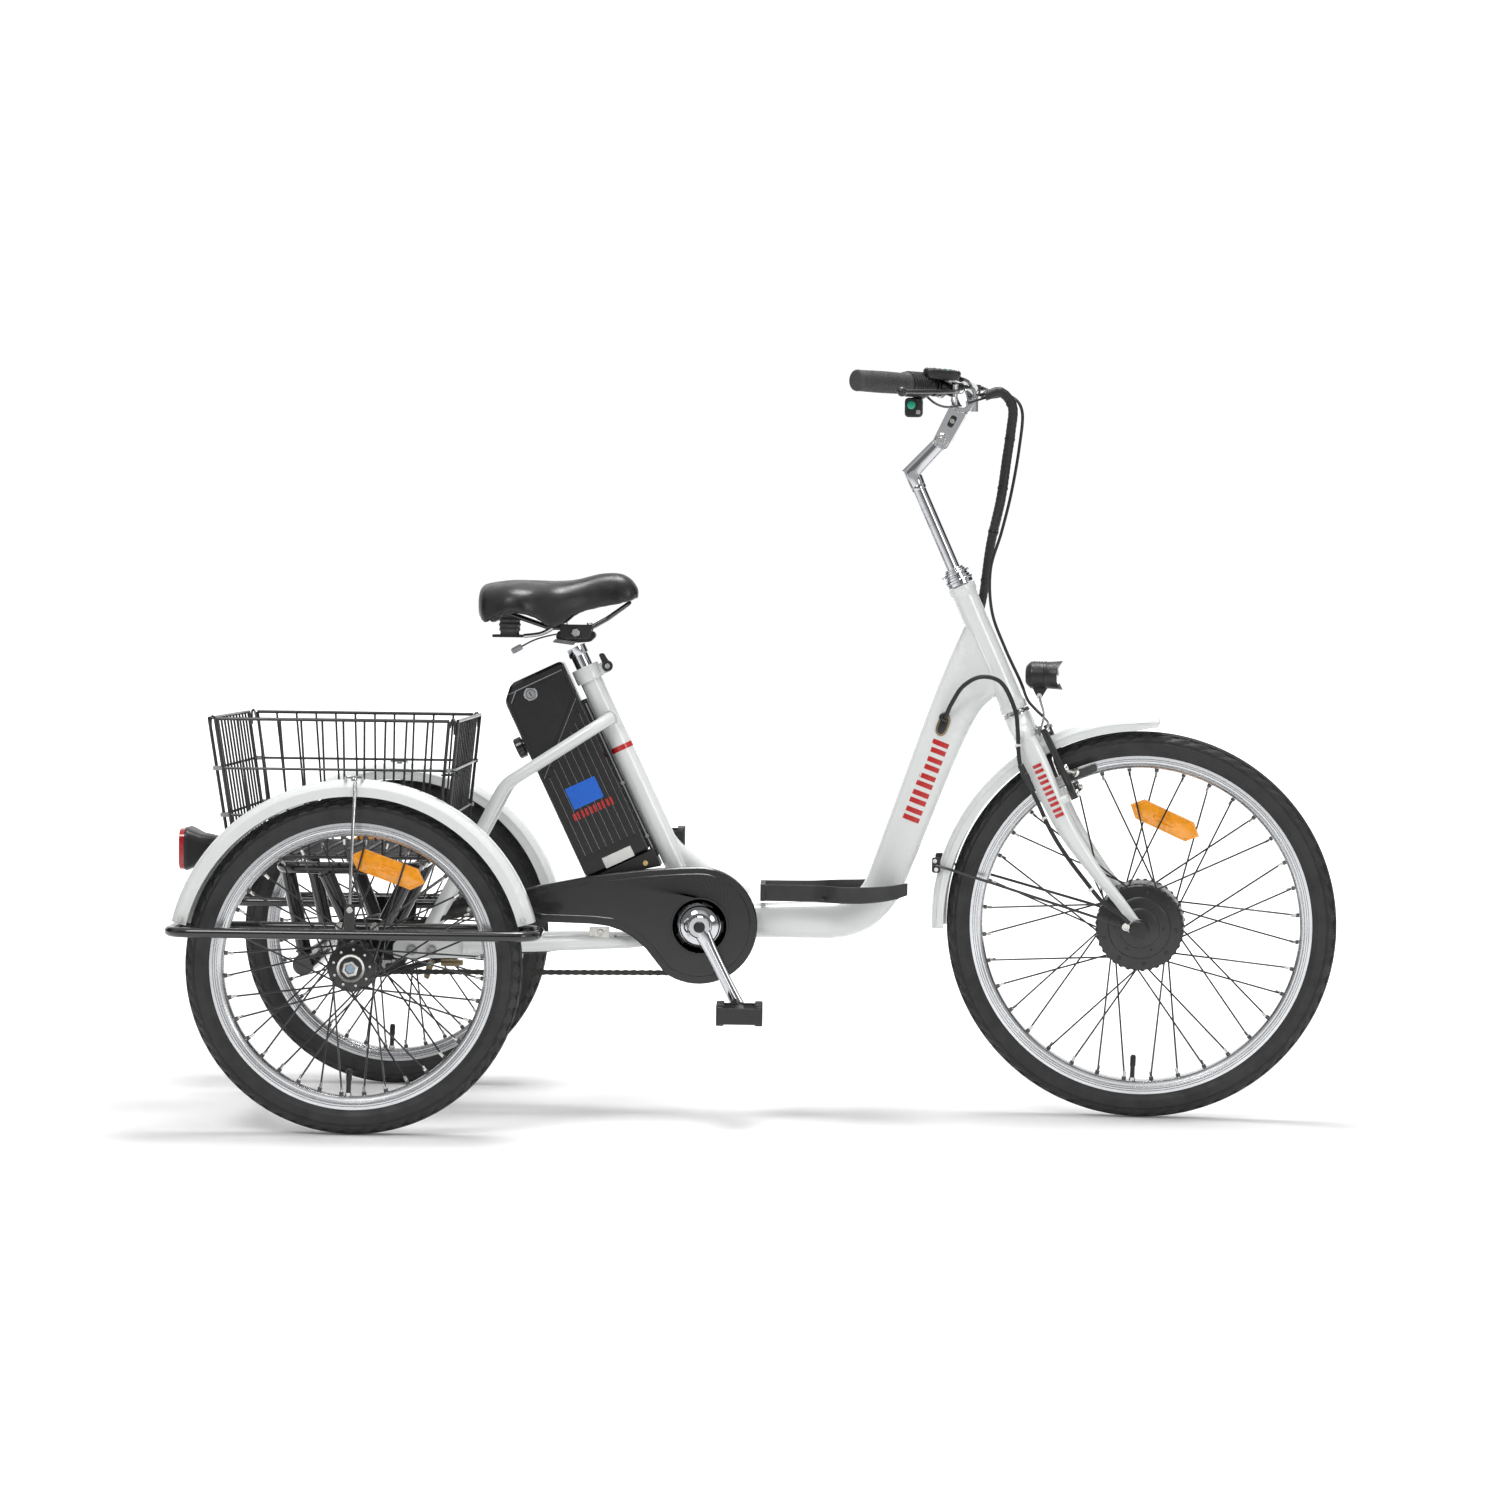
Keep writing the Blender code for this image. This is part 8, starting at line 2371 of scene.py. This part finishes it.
# ---------------------------------------------------------------- studio
def ramp_node(tree, value, stops):
    """Grey steps along `value`; each stop is (place, tone)."""
    ramp = tree.nodes.new("ShaderNodeValToRGB")
    tree.links.new(value, ramp.inputs["Fac"])
    elements = ramp.color_ramp.elements
    elements[0].position = stops[0][0]
    elements[0].color = (stops[0][1],) * 3 + (1.0,)
    elements[1].position = stops[-1][0]
    elements[1].color = (stops[-1][1],) * 3 + (1.0,)
    for position, tone in stops[1:-1]:
        stop = elements.new(position)
        stop.color = (tone, tone, tone, 1.0)
    return ramp.outputs["Color"]


def pale_floor():
    """A white floor that glows faintly, more and more towards its far end, so it has no edge there."""
    floor = Shape().add([Vector((x, y, 0.0)) for x, y in ((-40, -40), (40, -40), (40, 40), (-40, 40))],
                        [(0, 1, 2, 3)])
    material = bpy.data.materials.new("pale_floor")
    material.use_nodes = True
    tree = material.node_tree
    shader = tree.nodes["Principled BSDF"]
    shader.inputs["Base Color"].default_value = (0.93, 0.93, 0.93, 1.0)
    shader.inputs["Roughness"].default_value = 0.9
    shader.inputs["Emission Color"].default_value = (1.0, 1.0, 1.0, 1.0)
    place = tree.nodes.new("ShaderNodeTexCoord")
    parts = tree.nodes.new("ShaderNodeSeparateXYZ")
    tree.links.new(place.outputs["Object"], parts.inputs[0])
    scaled = tree.nodes.new("ShaderNodeMath")
    scaled.operation = "MULTIPLY_ADD"
    scaled.inputs[1].default_value = 1 / 18
    scaled.inputs[2].default_value = 0.5
    tree.links.new(parts.outputs["Y"], scaled.inputs[0])
    glow = ramp_node(tree, scaled.outputs[0], ((0.0, 0.0), (0.34, 0.0), (0.38, 0.03), (0.53, 0.03),
                                               (0.65, 1.0), (1.0, 1.0)))
    tree.links.new(glow, shader.inputs["Emission Strength"])
    obj = floor.make("studio_floor", None, material)
    obj.location.z = -0.0005


def studio_world():
    """White behind and above, dark in front and in two narrow side bands, for chrome and gloss."""
    world = bpy.data.worlds.new("studio")
    bpy.context.scene.world = world
    world.use_nodes = True
    tree = world.node_tree
    tree.nodes.clear()
    place = tree.nodes.new("ShaderNodeTexCoord")
    parts = tree.nodes.new("ShaderNodeSeparateXYZ")
    tree.links.new(place.outputs["Generated"], parts.inputs[0])
    halved = tree.nodes.new("ShaderNodeMath")
    halved.operation = "MULTIPLY_ADD"
    halved.inputs[1].default_value = 0.5
    halved.inputs[2].default_value = 0.5
    tree.links.new(parts.outputs["Y"], halved.inputs[0])
    depth = ramp_node(tree, halved.outputs[0], ((0.0, 0.20), (0.22, 0.20), (0.31, 0.60), (0.45, 0.60),
                                                (0.53, 0.05), (0.82, 0.05), (0.88, 1.03), (1.0, 1.03)))
    height = ramp_node(tree, parts.outputs["Z"], ((0.0, 0.0), (0.50, 0.0), (0.72, 0.70), (1.0, 0.70)))
    lighter = tree.nodes.new("ShaderNodeMath")
    lighter.operation = "MAXIMUM"
    tree.links.new(depth, lighter.inputs[0])
    tree.links.new(height, lighter.inputs[1])
    shader = tree.nodes.new("ShaderNodeBackground")
    out = tree.nodes.new("ShaderNodeOutputWorld")
    tree.links.new(lighter.outputs[0], shader.inputs["Color"])
    tree.links.new(shader.outputs["Background"], out.inputs["Surface"])
    shader.inputs["Strength"].default_value = 1.0


def area_light(name, place, aim, size, power):
    light = bpy.data.lights.new(name, "AREA")
    light.shape = "DISK"
    light.size = size
    light.energy = power
    obj = bpy.data.objects.new(name, light)
    bpy.context.scene.collection.objects.link(obj)
    obj.location = place
    obj.rotation_euler = (aim - Vector(place)).to_track_quat("-Z", "Y").to_euler()


LENS_MM = 90.17
CAMERA_AT = (0.02747, -5.789, 0.754)


def camera():
    """A little under the saddle's height, well back on the right-hand side; angles in radians."""
    yaw, pitch, roll = -0.0070, 0.0335, 0.0126
    forward = Vector((sin(yaw) * cos(pitch), cos(yaw) * cos(pitch), -sin(pitch)))
    right = Vector((cos(yaw), -sin(yaw), 0.0))
    up = right.cross(forward)
    across = right * cos(roll) + up * sin(roll)
    upwards = up * cos(roll) - right * sin(roll)
    lens = bpy.data.cameras.new("camera")
    lens.lens = LENS_MM
    lens.sensor_width = 36.0
    lens.clip_end = 60.0
    obj = bpy.data.objects.new("camera", lens)
    bpy.context.scene.collection.objects.link(obj)
    turn = Matrix((across, upwards, -forward)).transposed()
    obj.matrix_world = Matrix.Translation(CAMERA_AT) @ turn.to_4x4()
    bpy.context.scene.camera = obj


def studio():
    pale_floor()
    studio_world()
    area_light("key", (-1.6, -3.2, 3.4), Vector((0, 0, 0.5)), 1.6, 58.0)
    area_light("fill", (2.8, -3.2, 1.7), Vector((0, 0, 0.5)), 1.4, 24.0)
    area_light("top", (0.1, 0.2, 3.6), Vector((0, 0, 0.3)), 1.5, 82.0)
    bpy.context.scene.view_settings.view_transform = "Standard"
    camera()


# ---------------------------------------------------------------- everything in place
main_frame()
seat_collar()
seat_lever()
rear_carriage()
for side_name, side_sign in SIDES.items():
    guard_loop(side_name, side_sign)
    rear_mudguard(side_name, side_sign)
    brake_arm(side_name, side_sign)
    crank(side_name, side_sign)
    pedal(side_name, side_sign)
    brake_mount(side_name, side_sign)
    brake_lever(side_name, side_sign)
front_mudguard()
fork()
upper_headset()
lower_headset()
headlight()
headlight_bracket()
front_wheel()
rear_wheels()
basket()
battery()
battery_lock()
battery_dock()
chain()
chainring()
rear_sprocket()
chain_case()
band_brake()
footboard()
tail_light()
stem_post()
stem_arm()
handlebar()
grip("grip_left_rubber", "bars", "grip_left", 1, 0.125)
grip("throttle_grip_rubber", "throttle", "throttle_grip", -1, 0.105)
throttle_housing()
switch_pod()
horn_button()
saddle_hardware()
saddle()
front_brake_cable()
control_loom()
bar_leads()
motor_cable()
rear_brake_cable()
saddle_lead()
studio()
